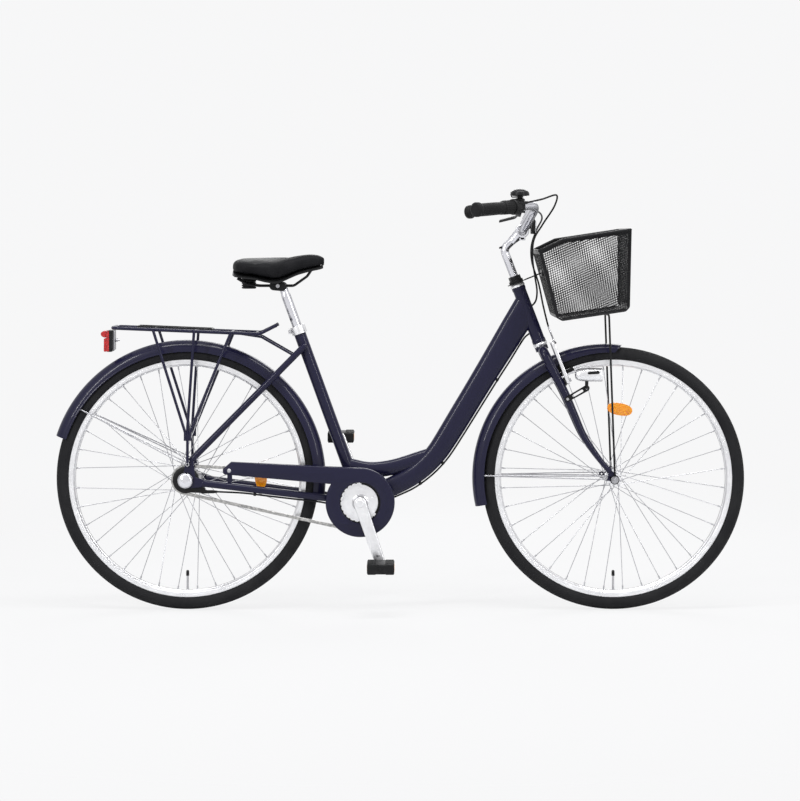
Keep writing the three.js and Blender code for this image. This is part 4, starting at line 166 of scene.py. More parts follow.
def make_camera():
    data = bpy.data.cameras.new("camera")
    data.sensor_fit = "HORIZONTAL"
    data.sensor_width = SENSOR_WIDTH
    data.lens = CAMERA_LENS
    data.shift_y = CAMERA_SHIFT
    camera = add_object("camera", data)
    camera.location = CAMERA_PLACE
    camera.rotation_euler = (pi / 2, 0, 0)
    bpy.context.scene.camera = camera


def make_world():
    """Soft light from all round, and a pale surround for the camera, reflections and lenses."""
    world = bpy.data.worlds.new("studio")
    bpy.context.scene.world = world
    world.use_nodes = True
    tree = world.node_tree
    tree.nodes.clear()
    path = tree.nodes.new("ShaderNodeLightPath").outputs
    seen = add_node(tree, "ShaderNodeMath", i0=path["Is Camera Ray"], i1=path["Is Transmission Ray"])
    shown = add_node(tree, "ShaderNodeMath", i0=seen.outputs[0], i1=path["Is Glossy Ray"])
    seen.operation = shown.operation = "MAXIMUM"
    light = add_node(tree, "ShaderNodeBackground", Color=WORLD_TINT, Strength=WORLD_STRENGTH)
    pale = add_node(tree, "ShaderNodeBackground", Color=PALE)
    blend = add_node(tree, "ShaderNodeMixShader", i0=shown.outputs[0], i1=light.outputs[0],
                     i2=pale.outputs[0])
    add_node(tree, "ShaderNodeOutputWorld", i0=blend.outputs[0])


def make_softbox(name, place, target, width, height, power):
    data = bpy.data.lights.new(name, "AREA")
    data.shape = "RECTANGLE"
    data.size = width
    data.size_y = height
    data.energy = power
    lamp = add_object(name, data)
    lamp.location = place
    lamp.rotation_euler = (Vector(target) - Vector(place)).to_track_quat("-Z", "Y").to_euler()


def make_floor():
    """A round pale floor that takes soft shadows and fades into the surround."""
    mesh = bpy.data.meshes.new("floor")
    rim = [(x, y, 0) for x, y in circle(FLOOR_REACH, FLOOR_SIDES)]
    mesh.from_pydata(rim, [], [tuple(range(FLOOR_SIDES))])
    floor = add_object("floor", mesh)
    material = bpy.data.materials.new("floor")
    material.use_nodes = True
    tree = material.node_tree
    tree.nodes.clear()
    path = tree.nodes.new("ShaderNodeLightPath").outputs
    coords = tree.nodes.new("ShaderNodeTexCoord").outputs
    clear = tree.nodes.new("ShaderNodeBsdfTransparent")
    diffuse = add_node(tree, "ShaderNodeBsdfDiffuse", Color=FLOOR_TINT)
    glow = add_node(tree, "ShaderNodeEmission", Color=PALE)
    distance = add_node(tree, "ShaderNodeVectorMath", i0=coords["Object"])
    distance.operation = "LENGTH"
    fade = add_node(tree, "ShaderNodeMapRange", Value=distance.outputs["Value"], From_Min=FADE_FROM,
                    From_Max=FADE_TO)
    fade.interpolation_type = "SMOOTHSTEP"
    lift = add_node(tree, "ShaderNodeMath", i0=path["Is Camera Ray"], i1=FLOOR_LIFT)
    lift.operation = "MULTIPLY"
    lit = add_node(tree, "ShaderNodeMixShader", i0=lift.outputs[0], i1=diffuse.outputs[0], i2=glow.outputs[0])
    faded = add_node(tree, "ShaderNodeMixShader", i0=fade.outputs["Result"], i1=lit.outputs[0],
                     i2=clear.outputs[0])
    add_node(tree, "ShaderNodeOutputMaterial", i0=faded.outputs[0])
    mesh.materials.append(material)


def make_stage():
    make_camera()
    make_world()
    for softbox in SOFTBOXES:
        make_softbox(*softbox)
    make_floor()
    bpy.context.scene.view_settings.view_transform = "Standard"


# Materials. A pair of numbers is the low and high end of a range. Three are a colour, but the last
# three of a satin metal are how far its grain is stretched.


class Finish:
    """One procedural material, wired step by step."""

    def __init__(self, slot, **values):
        self.material = bpy.data.materials.new(slot + "_finish")
        self.material.use_nodes = True
        self.tree = self.material.node_tree
        self.shader = self.tree.nodes["Principled BSDF"]
        self.coords = self.node("ShaderNodeTexCoord").outputs["Object"]
        for socket, value in values.items():
            self.shader.inputs[socket.replace("_", " ")].default_value = value

    def node(self, kind, **inputs):
        return add_node(self.tree, kind, **inputs)

    def noise(self, scale, detail=4.0, roughness=0.55, vector=None):
        return self.node("ShaderNodeTexNoise", Vector=vector or self.coords, Scale=scale, Detail=detail,
                         Roughness=roughness).outputs["Fac"]

    def cells(self, scale, feature="F1"):
        made = self.node("ShaderNodeTexVoronoi", Vector=self.coords, Scale=scale)
        made.feature = feature
        return made.outputs["Distance"]

    def ramp(self, source, low, high, dark, light):
        made = self.node("ShaderNodeValToRGB", Fac=source)
        for stop, place, tone in zip(made.color_ramp.elements, (low, high), (dark, light)):
            stop.position = place
            stop.color = (*tone, 1)
        return made.outputs[0]

    def painted_dark_reflection(self, tone, edge, low, high):
        """Paints a dark reflection into a tone towards the outline, standing in for the room's dark sides
        that polished metal mirrors.
        """
        facing = self.node("ShaderNodeLayerWeight", Blend=0.5).outputs["Facing"]
        share = self.node("ShaderNodeMapRange", Value=facing, i1=low, i2=high).outputs["Result"]
        mixed = self.node("ShaderNodeMix")
        mixed.data_type = "RGBA"
        self.tree.links.new(share, mixed.inputs[0])
        self.tree.links.new(tone, mixed.inputs[6])
        mixed.inputs[7].default_value = (*edge, 1)
        return mixed.outputs[2]

    def colour(self, source):
        self.tree.links.new(source, self.shader.inputs["Base Color"])

    def rough(self, source, low, high):
        ranged = self.node("ShaderNodeMapRange", Value=source, i3=low, i4=high)
        self.tree.links.new(ranged.outputs["Result"], self.shader.inputs["Roughness"])

    def bump(self, source, strength, distance, **under):
        made = self.node("ShaderNodeBump", Height=source, Strength=strength, Distance=distance, **under)
        self.tree.links.new(made.outputs[0], self.shader.inputs["Normal"])
        return made.outputs[0]


def paint_finish(slot, coat, specular, dark, light, rough):
    made = Finish(slot, Coat_Weight=coat, Coat_Roughness=0.04, Specular_IOR_Level=specular)
    made.colour(made.ramp(made.noise(2600, 2, 0.7), 0.38, 0.72, dark, light))
    made.rough(made.noise(9, 5), *rough)
    made.bump(made.noise(420, 2), 0.05, 0.0004)
    return made.material


def satin_finish(slot, dark, light, rough, stretch):
    made = Finish(slot, Metallic=1.0)
    stretched = made.node("ShaderNodeMapping", Vector=made.coords, Scale=stretch).outputs[0]
    brushed = made.noise(60, 5, 0.6, stretched)
    clouds = made.noise(14, 5)
    tone = made.node("ShaderNodeMath", i0=brushed, i1=clouds, i2=0.25)
    tone.operation = "MULTIPLY_ADD"
    # A painted dark reflection: the tone turns to this darker colour towards the outline.
    edge = [0.16 * value for value in dark]
    made.colour(made.painted_dark_reflection(made.ramp(tone.outputs[0], 0.3, 0.75, dark, light), edge, 0.55, 0.95))
    made.rough(clouds, *rough)
    made.bump(brushed, 0.06, 0.0002)
    return made.material


def chrome_finish(slot, dark, light, edge, rough):
    made = Finish(slot, Metallic=1.0)
    # Towards the outline the tone turns to edge, a painted dark reflection.
    made.colour(made.painted_dark_reflection(made.ramp(made.noise(22, 6, 0.65), 0.3, 0.7, dark, light), edge, 0.35, 0.85))
    made.rough(made.noise(30, 3), *rough)
    made.bump(made.noise(24, 2), 0.01, 0.0002)
    return made.material


def black_finish(slot, dark, light, rough, grain, depth):
    made = Finish(slot, Specular_IOR_Level=0.18)
    made.colour(made.ramp(made.noise(45, 6), 0.3, 0.75, dark, light))
    made.rough(made.noise(30, 5), *rough)
    made.bump(made.noise(grain, 3, 0.7), depth, 0.0003)
    return made.material


def tyre_finish(slot, dark, light, rough):
    made = Finish(slot, Specular_IOR_Level=0.2)
    dust = made.noise(18, 7, 0.6)
    made.colour(made.ramp(dust, 0.35, 0.8, dark, light))
    made.rough(dust, *rough)
    made.bump(made.noise(900, 4, 0.7), 0.25, 0.0003)
    return made.material


def leather_finish(slot, dark, light, rough):
    made = Finish(slot, Specular_IOR_Level=0.06)
    tone = made.noise(26, 5)
    made.colour(made.ramp(tone, 0.3, 0.75, dark, light))
    made.rough(tone, *rough)
    creases = made.bump(made.cells(420, "DISTANCE_TO_EDGE"), 0.35, 0.0005)
    made.bump(made.noise(2200, 3), 0.15, 0.0002, Normal=creases)
    return made.material


def prism_finish(slot, dark, light, transmission, rough):
    """A moulded lens with a fine grid of prisms behind its skin."""
    made = Finish(slot, Transmission_Weight=transmission, Roughness=rough, Coat_Weight=0.3,
                  Coat_Roughness=0.04)
    prisms = made.cells(330)
    made.colour(made.ramp(prisms, 0.15, 0.75, light, dark))
    made.bump(prisms, 0.5, 0.0006)
    return made.material


def chain_finish(slot, dark, light, rough):
    made = Finish(slot, Metallic=1.0)
    oil = made.noise(120, 5, 0.6)
    made.colour(made.ramp(oil, 0.35, 0.7, dark, light))
    made.rough(oil, *rough)
    made.bump(made.noise(1500, 3), 0.08, 0.0002)
    return made.material


FINISHES = {
    "frame_paint": (paint_finish, 0.25, 0.12, (0.0065, 0.0062, 0.023), (0.014, 0.013, 0.041), (0.24, 0.40)),
    "steel": (satin_finish, (0.72, 0.72, 0.74), (0.92, 0.92, 0.93), (0.22, 0.36), (1, 7, 1)),
    "zinc_wire": (satin_finish, (0.34, 0.34, 0.36), (0.52, 0.52, 0.54), (0.24, 0.38), (4, 4, 1)),
    # The chrome's third colour is a painted dark reflection, which its tone turns to towards the outline.
    "chrome": (chrome_finish, (0.66, 0.66, 0.70), (0.78, 0.78, 0.82), (0.06, 0.06, 0.07), (0.10, 0.16)),
    "black_metal": (black_finish, (0.005, 0.005, 0.006), (0.012, 0.012, 0.0135), (0.28, 0.44), 1300, 0.12),
    "black_plastic": (black_finish, (0.006, 0.006, 0.0065), (0.012, 0.012, 0.013), (0.36, 0.54), 1700, 0.2),
    "grip_rubber": (black_finish, (0.005, 0.005, 0.0055), (0.011, 0.011, 0.012), (0.50, 0.70), 1100, 0.3),
    "tyre_rubber": (tyre_finish, (0.006, 0.006, 0.0075), (0.016, 0.016, 0.017), (0.62, 0.85)),
    "seat_cover": (leather_finish, (0.006, 0.006, 0.007), (0.013, 0.013, 0.0145), (0.45, 0.62)),
    "orange_reflector": (prism_finish, (0.80, 0.19, 0.004), (1.0, 0.47, 0.01), 0.05, 0.16),
    "red_lens": (prism_finish, (0.30, 0.003, 0.005), (0.64, 0.010, 0.012), 0.05, 0.12),
    "clear_lens": (prism_finish, (0.70, 0.72, 0.75), (0.90, 0.91, 0.93), 0.55, 0.08),
    "chain_steel": (chain_finish, (0.24, 0.24, 0.24), (0.60, 0.59, 0.57), (0.24, 0.45)),
}
LOOKS = {slot: make(slot, *values) for slot, (make, *values) in FINISHES.items()}


# Mesh code: a shape is a list of points and a list of faces


def joined(*shapes):
    verts, faces = [], []
    for more, added in shapes:
        base = len(verts)
        verts.extend(more)
        faces.extend(tuple(base + i for i in face) for face in added)
    return verts, faces


def ellipse(half_u, half_v, sides=24, power=1.0):
    """An outline, squarer than an ellipse where power is below 1."""
    points = []
    for i in range(sides):
        c, s = cos(2 * pi * i / sides), sin(2 * pi * i / sides)
        points.append((copysign(half_u * abs(c) ** power, c), copysign(half_v * abs(s) ** power, s)))
    return points


def circle(radius, sides=24):
    return ellipse(radius, radius, sides)


def loft(rings, caps=True, loop=False):
    """Skins rings of points, with flat ends or closed to a loop."""
    count, n = len(rings), len(rings[0])
    faces = []
    for i in range(count if loop else count - 1):
        a, b = i * n, ((i + 1) % count) * n
        faces += [(a + j, a + (j + 1) % n, b + (j + 1) % n, b + j) for j in range(n)]
    if caps and not loop:
        faces.append(tuple(reversed(range(n))))
        faces.append(tuple(range((count - 1) * n, count * n)))
    return [p for ring in rings for p in ring], faces


def sweep(points, section, across=None):
    """Carries a section along points. section gives 2-D points for a share of the length."""
    lengths = [0.0]
    for a, b in zip(points, points[1:]):
        lengths.append(lengths[-1] + (b - a).length)
    rings, side, last = [], across, len(points) - 1
    for i, point in enumerate(points):
        before, after = points[max(i - 1, 0)], points[min(i + 1, last)]
        along = ((point - before).normalized() + (after - point).normalized()).normalized()
        if side is None:
            side = Y_AXIS if abs(along.y) < 0.7 else X_AXIS
        u = across or side
        side = u = (u - along * u.dot(along)).normalized()
        v = along.cross(u)
        rings.append([point + u * a + v * b for a, b in section(lengths[i] / lengths[-1])])
    return loft(rings)


def tube(points, radius, sides=20, across=None):
    """A round tube along points. radius may be a function of the share of its length."""
    return sweep(points, lambda share: circle(radius(share) if callable(radius) else radius, sides), across)


def corner_curve(start, corner, end, steps):
    shares = [k / steps for k in range(steps + 1)]
    return [start * (1 - t) ** 2 + corner * 2 * t * (1 - t) + end * t * t for t in shares]


def rounded(corners, bend, steps=8):
    """A line through corners, each rounded by a bend."""
    points = [corners[0].copy()]
    for before, corner, after in zip(corners, corners[1:], corners[2:]):
        back, ahead = before - corner, after - corner
        reach = min(bend / tan(back.angle(ahead) / 2), back.length / 2, ahead.length / 2)
        points += corner_curve(corner + back.normalized() * reach, corner,
                               corner + ahead.normalized() * reach, steps)
    return [*points, corners[-1].copy()]


def between(a, b, low, high, t):
    return a * ((high - t) / (high - low)) + b * ((t - low) / (high - low))


def smooth_line(points, per=6):
    """A centripetal Catmull-Rom curve through points."""
    padded = [points[0] * 2 - points[1], *points, points[-1] * 2 - points[-2]]
    line = []
    for p0, p1, p2, p3 in zip(padded, padded[1:], padded[2:], padded[3:]):
        t1 = sqrt((p1 - p0).length)
        t2 = t1 + sqrt((p2 - p1).length)
        t3 = t2 + sqrt((p3 - p2).length)
        for k in range(per):
            t = t1 + (t2 - t1) * k / per
            a2 = between(p1, p2, t1, t2, t)
            b1 = between(between(p0, p1, 0, t1, t), a2, 0, t2, t)
            b2 = between(a2, between(p2, p3, t2, t3, t), t1, t3, t)
            line.append(between(b1, b2, t1, t2, t))
    return [*line, points[-1].copy()]


def soften(outline, radius, closed, steps=3):
    """Rounds the corners of a flat outline or a profile."""
    points, n = [], len(outline)
    for i, corner in enumerate(outline):
        c = Vector(corner)
        back, ahead = Vector(outline[i - 1]) - c, Vector(outline[(i + 1) % n]) - c
        reach = min(radius, back.length * 0.45, ahead.length * 0.45)
        if reach < 0.02 or not closed and i in (0, n - 1):
            points.append(corner)
            continue
        curve = corner_curve(c + back.normalized() * reach, c, c + ahead.normalized() * reach, steps)
        points += [tuple(spot) for spot in curve]
    return points


def lathe(profile, origin, axis, segments=48, soft=0.4, flute=None):
    """Turns a profile round an axis. flute changes the radius round the turn."""
    axis = axis.normalized()
    closed = profile[0][0] > 0 and profile[-1][0] > 0
    if soft:
        profile = soften(profile, soft, closed)
    u = axis.cross(X_AXIS if abs(axis.x) < 0.9 else Z_AXIS).normalized()
    v = axis.cross(u)
    rings = []
    for radius, height in profile:
        ring = []
        for i in range(segments):
            turn = 2 * pi * i / segments
            reach = radius + (flute(turn, height) if flute and radius > 0 else 0)
            ring.append(origin + axis * height + (u * cos(turn) + v * sin(turn)) * reach)
        rings.append(ring)
    return loft(rings, caps=False, loop=closed)


def offset(loop, distance):
    """Moves an outline in, to its left side, by a distance."""
    moved, n = [], len(loop)
    for i in range(n):
        p = Vector(loop[i])
        into, out = p - Vector(loop[i - 1]), Vector(loop[(i + 1) % n]) - p
        a, b = into.normalized(), out.normalized()
        bisector = Vector((-a.y - b.y, a.x + b.x))
        size = bisector.length
        if min(into.length, out.length, size) > 1e-6:
            p = p + bisector / size * (distance / max(size / 2, 0.35))
        moved.append(tuple(p))
    return moved


def turned_left(loop, left=True):
    area = sum(a[0] * b[1] - b[0] * a[1] for a, b in zip(loop, loop[1:] + loop[:1]))
    return loop if (area > 0) == left else loop[::-1]


def side_put(u, v, w):
    return v3(u, w, v)


def column_put(u, v, w):
    return column(w, u, v)


def cap_between(loops, put, level):
    """The flat face inside the first loop and outside the others."""
    spots = [put(u, v, level) for loop in loops for u, v in loop]
    flats = [[Vector((u, v, 0)) for u, v in loop] for loop in loops]
    return spots, [tuple(face) for face in tessellate_polygon(flats)]


def plate(outline, low, high, holes=(), soft=0.5, steps=2, put=side_put):
    """A flat piece with rounded rims between two levels."""
    loops = [turned_left(list(outline)), *[turned_left(list(hole), False) for hole in holes]]
    soft = min(soft, (high - low) * 0.45)
    turns = [k / steps * pi / 2 for k in range(steps + 1)]
    levels = [(soft * (1 - sin(turn)), low + soft * (1 - cos(turn))) for turn in turns]
    levels += [(inset, low + high - level) for inset, level in reversed(levels)]
    parts = [loft([[put(u, v, w) for u, v in offset(loop, inset)] for inset, w in levels], caps=False)
             for loop in loops]
    parts += [cap_between([offset(loop, levels[0][0]) for loop in loops], put, level)
              for level in (low, high)]
    return joined(*parts)


def stadium(a, b, radius_a, radius_b, steps=16):
    """The outline of two discs and the tangents between them."""
    heading = atan2(b[1] - a[1], b[0] - a[0])
    spread = acos((radius_a - radius_b) / hypot(b[0] - a[0], b[1] - a[1]))
    points = []
    for centre, radius, start, span in ((b, radius_b, heading - spread, 2 * spread),
                                        (a, radius_a, heading + spread, 2 * (pi - spread))):
        turns = [start + span * i / steps for i in range(steps + 1)]
        points += [(centre[0] + radius * cos(turn), centre[1] + radius * sin(turn)) for turn in turns]
    return points


def flat(point):
    return (point.x, point.z)


def ring_at(centre, radius, sides=32):
    return [(centre.x + u, centre.z + v) for u, v in circle(radius, sides)]


def rod(a, b, radius, sides=20, soft=0.4):
    length = (b - a).length
    return lathe([(0, 0), (radius, 0), (radius, length), (0, length)], a, b - a, sides, soft)


def pin(point, start, end, radius, sides=20, soft=0.4):
    """A rod across the bicycle, from one distance from the middle plane to another."""
    return rod(at_y(point, start), at_y(point, end), radius, sides, soft)


def hexagon(a, b, radius):
    """A hexagonal nut or bolt head from a to b."""
    length, narrow = (b - a).length, radius * 0.92
    return lathe([(0, 0), (narrow, 0), (radius, length * 0.12), (radius, length * 0.88), (narrow, length),
                  (0, length)], a, b - a, 6, 0)


def collar(inner, outer, height, origin, axis, sides=48, soft=0.5):
    """A plain ring round an axis."""
    return lathe([(inner, 0), (outer, 0), (outer, height), (inner, height)], origin, axis, sides, soft)


def block(low, high, soft=1.0, put=side_put):
    """A box with rounded rims; low and high are opposite corners as u, v, w."""
    corner = min(soft * 1.5, (high[0] - low[0]) * 0.45, (high[1] - low[1]) * 0.45)
    outline = []
    for cu, cv, start in ((high[0] - corner, high[1] - corner, 0), (low[0] + corner, high[1] - corner, 90),
                          (low[0] + corner, low[1] + corner, 180), (high[0] - corner, low[1] + corner, 270)):
        turns = [radians(start + 22.5 * k) for k in range(5)]
        outline += [(cu + corner * cos(turn), cv + corner * sin(turn)) for turn in turns]
    return plate(outline, low[2], high[2], (), soft, 3, put)


def slab(centre, half_x, half_z, half_y, soft=1.0):
    """A box with rounded rims round a centre."""
    return block((centre.x - half_x, centre.z - half_z, centre.y - half_y),
                 (centre.x + half_x, centre.z + half_z, centre.y + half_y), soft)


def piece(name, look, body, node, *shapes, sharp=38):
    """Makes one visible piece that rides on a body and stands for a CAD node."""
    verts, faces = joined(*shapes)
    mesh = bpy.data.meshes.new(name)
    mesh.from_pydata([tuple(p * MM) for p in verts], [], faces)
    work = bmesh.new()
    work.from_mesh(mesh)
    bmesh.ops.remove_doubles(work, verts=work.verts, dist=2e-6)
    bmesh.ops.dissolve_degenerate(work, edges=work.edges, dist=1e-7)
    bmesh.ops.recalc_face_normals(work, faces=work.faces)
    work.to_mesh(mesh)
    work.free()
    mesh.shade_smooth()
    mesh.set_sharp_from_angle(angle=radians(sharp))
    mesh.materials.append(LOOKS[look])
    made = add_object(name, mesh)
    if body:
        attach(made, body)
    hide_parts(node)
    return made


# Wheels

SECTION = 20
TYRE_CENTRE = WHEEL_RADIUS - SECTION
TYRE_BASE = 13.5
RIM_OUTER = 317.7
RIM_BORE = 300
RIM_HALF = 12.5
RIM_SIDE = [(RIM_OUTER, RIM_HALF), (311.6, RIM_HALF), (311.3, RIM_HALF - 0.3), (311.0, RIM_HALF),
            (305.8, RIM_HALF), (304.9, RIM_HALF - 0.7), (301.4, 7.2), (RIM_BORE, 6.2)]
RIM_WELL = [(RIM_OUTER - 0.2, RIM_HALF - 1.4), (RIM_OUTER - 7, RIM_HALF - 1.4)]
SPOKES = 36
SPOKE_RADIUS = 1.0
HOLE_ANGLE = 720 / SPOKES
FLANGE_WALL = 1.8
NIPPLE = [(0, 0), (1.6, 0), (1.9, 1.5), (1.9, 9), (2.9, 10.5), (2.9, 13), (0, 13)]
TREAD_TURNS = 720
TREAD_ROWS = 36
GROOVE_DEPTH = 1.3
RIB_EDGE, GROOVE_EDGE = 0.34, 0.46
VALVE_STEM = [(0, 0), (2.9, 0), (2.9, 36), (4, 36.5), (4, 39), (0, 39)]
VALVE_CAP = [(0, -15), (2.6, -15), (4.0, -12), (4.2, 0), (0, 0)]
REFLECTOR_HALVES = (34, 16.5)
AXLE = 4.7
# Distances from the middle plane: the cone from and to, then the washer
FRONT_NUTS = (40.3, 49.7, 57.1)
REAR_NUTS = (35.3, 63.2, 68.8)
FRONT_AXLE_END = 66
REAR_AXLE_ENDS = (-74, 78)
NUT_BORE = 4.8
WASHER, WASHER_RADIUS = 1.4, 10
NUT_TOP, NUT_RADIUS = 8.6, 9.4
THREAD_DEPTH, THREAD_STEP, THREAD_END = 0.35, 0.45, 14
GEAR_BOX = [(5, -52), (34.5, -52), (34.5, -54), (35, -55), (35, -59), (30, -61.5), (22, -62), (5, -62)]
DOME_FACE = -68.9
DOME_NUT = [(0, -15), (8, -15), (16.5, -12), (20.6, -7), (21.6, -2), (21.6, 0), (0, 0)]
# Centre, the hub's flange radius and place, barrel and waist, the reflector's distance, angle and tilt
WHEELS = {"front": (FRONT, 20, 33, 13, 11.5, (186, 85, -5)), "rear": (REAR, 35, 28, 30, 29, (197, 2, 0))}


def both_sides(half, back=()):
    """A closed profile from one side's (radius, distance) pairs."""
    return [(r, -y) for r, y in half] + half[::-1] + list(back) + [(r, -y) for r, y in reversed(back)]


def tread(k, share):
    """How far the rubber stands below the tyre's outline: ribs in the middle, slanted blocks beside."""
    place = abs(share) * 2.25
    if place <= RIB_EDGE:
        depth = 0.5 if (k + int(share * 30)) % 6 == 0 else 0
    elif place < GROOVE_EDGE:
        depth = 1
    elif place < 1:
        depth = 1 if (k + int(place * 6)) % 5 == 0 else 0
    else:
        depth = 0.35 if 1.12 < place < 1.2 else 0
    return -GROOVE_DEPTH * depth


def tyre(centre):
    base = RIM_OUTER + GAP
    limit = acos((base - TYRE_CENTRE) / SECTION)
    rings = []
    for k in range(TREAD_TURNS):
        turn = 360 * k / TREAD_TURNS
        ring = [around(centre, base, turn, -TYRE_BASE)]
        for j in range(TREAD_ROWS + 1):
            share = 2 * j / TREAD_ROWS - 1
            radius = SECTION + tread(k, share)
            ring.append(around(centre, TYRE_CENTRE + radius * cos(limit * share), turn,
                               radius * sin(limit * share)))
        rings.append([*ring, around(centre, base, turn, TYRE_BASE)])
    return loft(rings, loop=True)


def spoke_ends(centre, flange_radius, flange_y):
    ends = []
    for side in (RIGHT, LEFT):
        for i in range(SPOKES // 2):
            lean = 1 if i % 2 else -1
            start = i * HOLE_ANGLE + 5 + (HOLE_ANGLE / 2 if side > 0 else 0)
            root = around(centre, flange_radius, start, side * (flange_y + lean * 1.1))
            tip = around(centre, RIM_BORE, start + lean * HOLE_ANGLE * 3, side * (3 + lean * 1.1))
            ends.append((root, tip, side * lean))
    return ends


def spokes(ends):
    parts = []
    for root, tip, out in ends:
        head = root + Y_AXIS * (out * 2.6)
        elbow = root + (tip - root).normalized() * 4
        parts.append(tube([head - Y_AXIS * (out * 4.8), head, elbow, tip], SPOKE_RADIUS, 8))
        parts.append(rod(head, head + Y_AXIS * (out * 1.1), 2.0, 10, 0.3))
    return joined(*parts)


def nipples(ends):
    alongs = [(tip, (tip - root).normalized()) for root, tip, _ in ends]
    return joined(*[lathe(NIPPLE, tip - along * 11, along, 12, 0.2) for tip, along in alongs])


def hub_shell(centre, flange_radius, flange_y, barrel, waist):
    near, far = flange_y - FLANGE_WALL, flange_y + FLANGE_WALL
    boss = min(barrel, flange_radius - 3.6)
    half = [(5.2, far + 5), (boss * 0.8, far + 5), (boss, far + 2.5), (boss, far), (flange_radius, far),
            (flange_radius, near), (barrel, near - 2), (waist, near - 8)]
    return lathe(both_sides(half), centre, Y_AXIS, 64, 0.6)


def oval_reflector(centre, radius, angle, tilt, flange_radius, flange_y):
    """A reflector that lies in the slanted plane of the spokes."""
    lean = (radius - flange_radius) / (RIM_BORE - flange_radius)
    y = -(flange_y + (3 - flange_y) * lean)
    turn = radians(angle - 90 + tilt)
    middle = around(centre, radius, angle)

    def slice_between(scale, low, high, soft, steps):
        outline = [(middle.x + a * cos(turn) - b * sin(turn), middle.z + a * sin(turn) + b * cos(turn))
                   for a, b in ellipse(*[scale * half for half in REFLECTOR_HALVES], 48, 0.85)]
        return plate(outline, y + low, y + high, (), soft, steps)

    return joined(slice_between(1, -4, -0.4, 1.4, 3), slice_between(0.97, -0.2, 4, 1.6, 3),
                  slice_between(0.72, -4.35, -3.8, 0.3, 2))


def nut_stack(centre, cone_from, cone_to, outer, side):
    """Cone, washer, nut and bare thread on one side of an axle."""
    y, cone = Y_AXIS * side, cone_to - cone_from
    slope = [(NUT_BORE, 0), (8, 0), (6.4, cone), (NUT_BORE, cone)]
    thread = [(AXLE - (THREAD_DEPTH if i % 2 else 0), NUT_TOP + i * THREAD_STEP) for i in range(12)]
    return joined(lathe(slope, centre + y * cone_from, y, 32, 0.4),
                  collar(NUT_BORE, WASHER_RADIUS, WASHER, centre + y * outer, y, 32, 0.3),
                  hexagon(centre + y * (outer + WASHER), centre + y * (outer + NUT_TOP), NUT_RADIUS),
                  lathe([(0, NUT_TOP - 0.1), *thread, (0, THREAD_END)], centre + y * outer, y, 20, 0))


def make_wheel(name, centre, flange_radius, flange_y, barrel, waist, reflector):
    body, rim, hub = name + "_wheel", name + "_rim", name + "_hub_spokes"
    root = flange_radius - FLANGE_WALL
    down, start = -Z_AXIS, centre - Z_AXIS * (RIM_BORE - 38)
    ends = spoke_ends(centre, root, flange_y)
    piece(name + "_tyre_rubber", "tyre_rubber", body, name + "_tyre", tyre(centre), sharp=30)
    piece(name + "_rim_ring", "steel", body, rim,
          lathe(both_sides(RIM_SIDE, RIM_WELL), centre, Y_AXIS, 240, 0.35))
    piece(name + "_valve_stem", "zinc_wire", body, rim, lathe(VALVE_STEM, start, down, 20, 0.3))
    piece(name + "_valve_cap", "black_plastic", body, rim,
          lathe(VALVE_CAP, start, down, 20, 0.6, lambda turn, height: 0.18 * cos(turn * 10)))
    piece(name + "_hub_shell", "steel", body, hub, hub_shell(centre, flange_radius, flange_y, barrel, waist))
    piece(name + "_spokes", "zinc_wire", body, hub, spokes(ends))
    piece(name + "_nipples", "zinc_wire", body, hub, nipples(ends))
    piece(name + "_oval_reflector", "orange_reflector", body, name + "_spoke_reflector",
          oval_reflector(centre, *reflector, root, flange_y))


def make_axles():
    nuts = [nut_stack(FRONT, *FRONT_NUTS, side) for side in (RIGHT, LEFT)]
    piece("front_axle_nuts", "zinc_wire", "steering", "front_axle",
          pin(FRONT, -FRONT_AXLE_END, FRONT_AXLE_END, AXLE, 24), *nuts)
    piece("rear_axle_nuts", "zinc_wire", "frame", "rear_axle", pin(REAR, *REAR_AXLE_ENDS, AXLE, 24),
          nut_stack(REAR, *REAR_NUTS, LEFT))
    lug = stadium((REAR.x + 10, REAR.z - 20), (REAR.x + 44, REAR.z - 26), 13, 8)
    piece("gear_box_ring", "black_plastic", "frame", "rear_axle", lathe(GEAR_BOX, REAR, Y_AXIS, 72, 1.0),
          plate(lug, -61, -52.5, (), 1.5, 3))
    piece("axle_dome_nut", "chrome", "frame", "rear_axle",
          lathe(DOME_NUT, REAR + Y_AXIS * DOME_FACE, Y_AXIS, 64, 1.6))


# Frame

MAIN_HEIGHTS = (76, 62, 52)
MAIN_SLOPES = (58.6, 24)
MAIN_BEND = 290
MAIN_SIDES = 48
MAIN_OVERLAP = 2
UPPER_FOOT = 98
UPPER_WAY = (v3(4, 0, 0), v3(57.75, 0, -10), v3(118.8, 0, -3.5))
UPPER_HALVES = (15, 21)
MAIN_CLEAR = 60
STAY_START, STAY_DROP = 45, 8
STAY_HALVES = (60, 38.5, 31.5)
STAY_END = v3(BB.x - 10, 26, BB.z)
WHEEL_X = REAR.x + WHEEL_RADIUS
RING_X = BB.x - 78.2
BRIDGE_REACH = RING_X - 4.75 - REAR.x
BRIDGE_SHARE = 0.72
CHAIN_STAY_RADIUS, CHAIN_STAY_BEND = 9.5, 60
SEAT_STAY_RADIUS, SEAT_STAY_BEND = 8.5, 40
BRIDGE_RADIUS = 6
DROPOUT_THICK = 5
DROPOUT_LOWS = {RIGHT: -68.5, LEFT: 63.5}
STAY_TOP = at_y(SEAT_TOP + SEAT_AXIS * -57, 20)
STAY_FOOT = v3(REAR.x + 12, 60, WHEEL_RADIUS + 50)
STAY_WIDE = at_y(mix(STAY_TOP, STAY_FOOT, 0.24), 47)
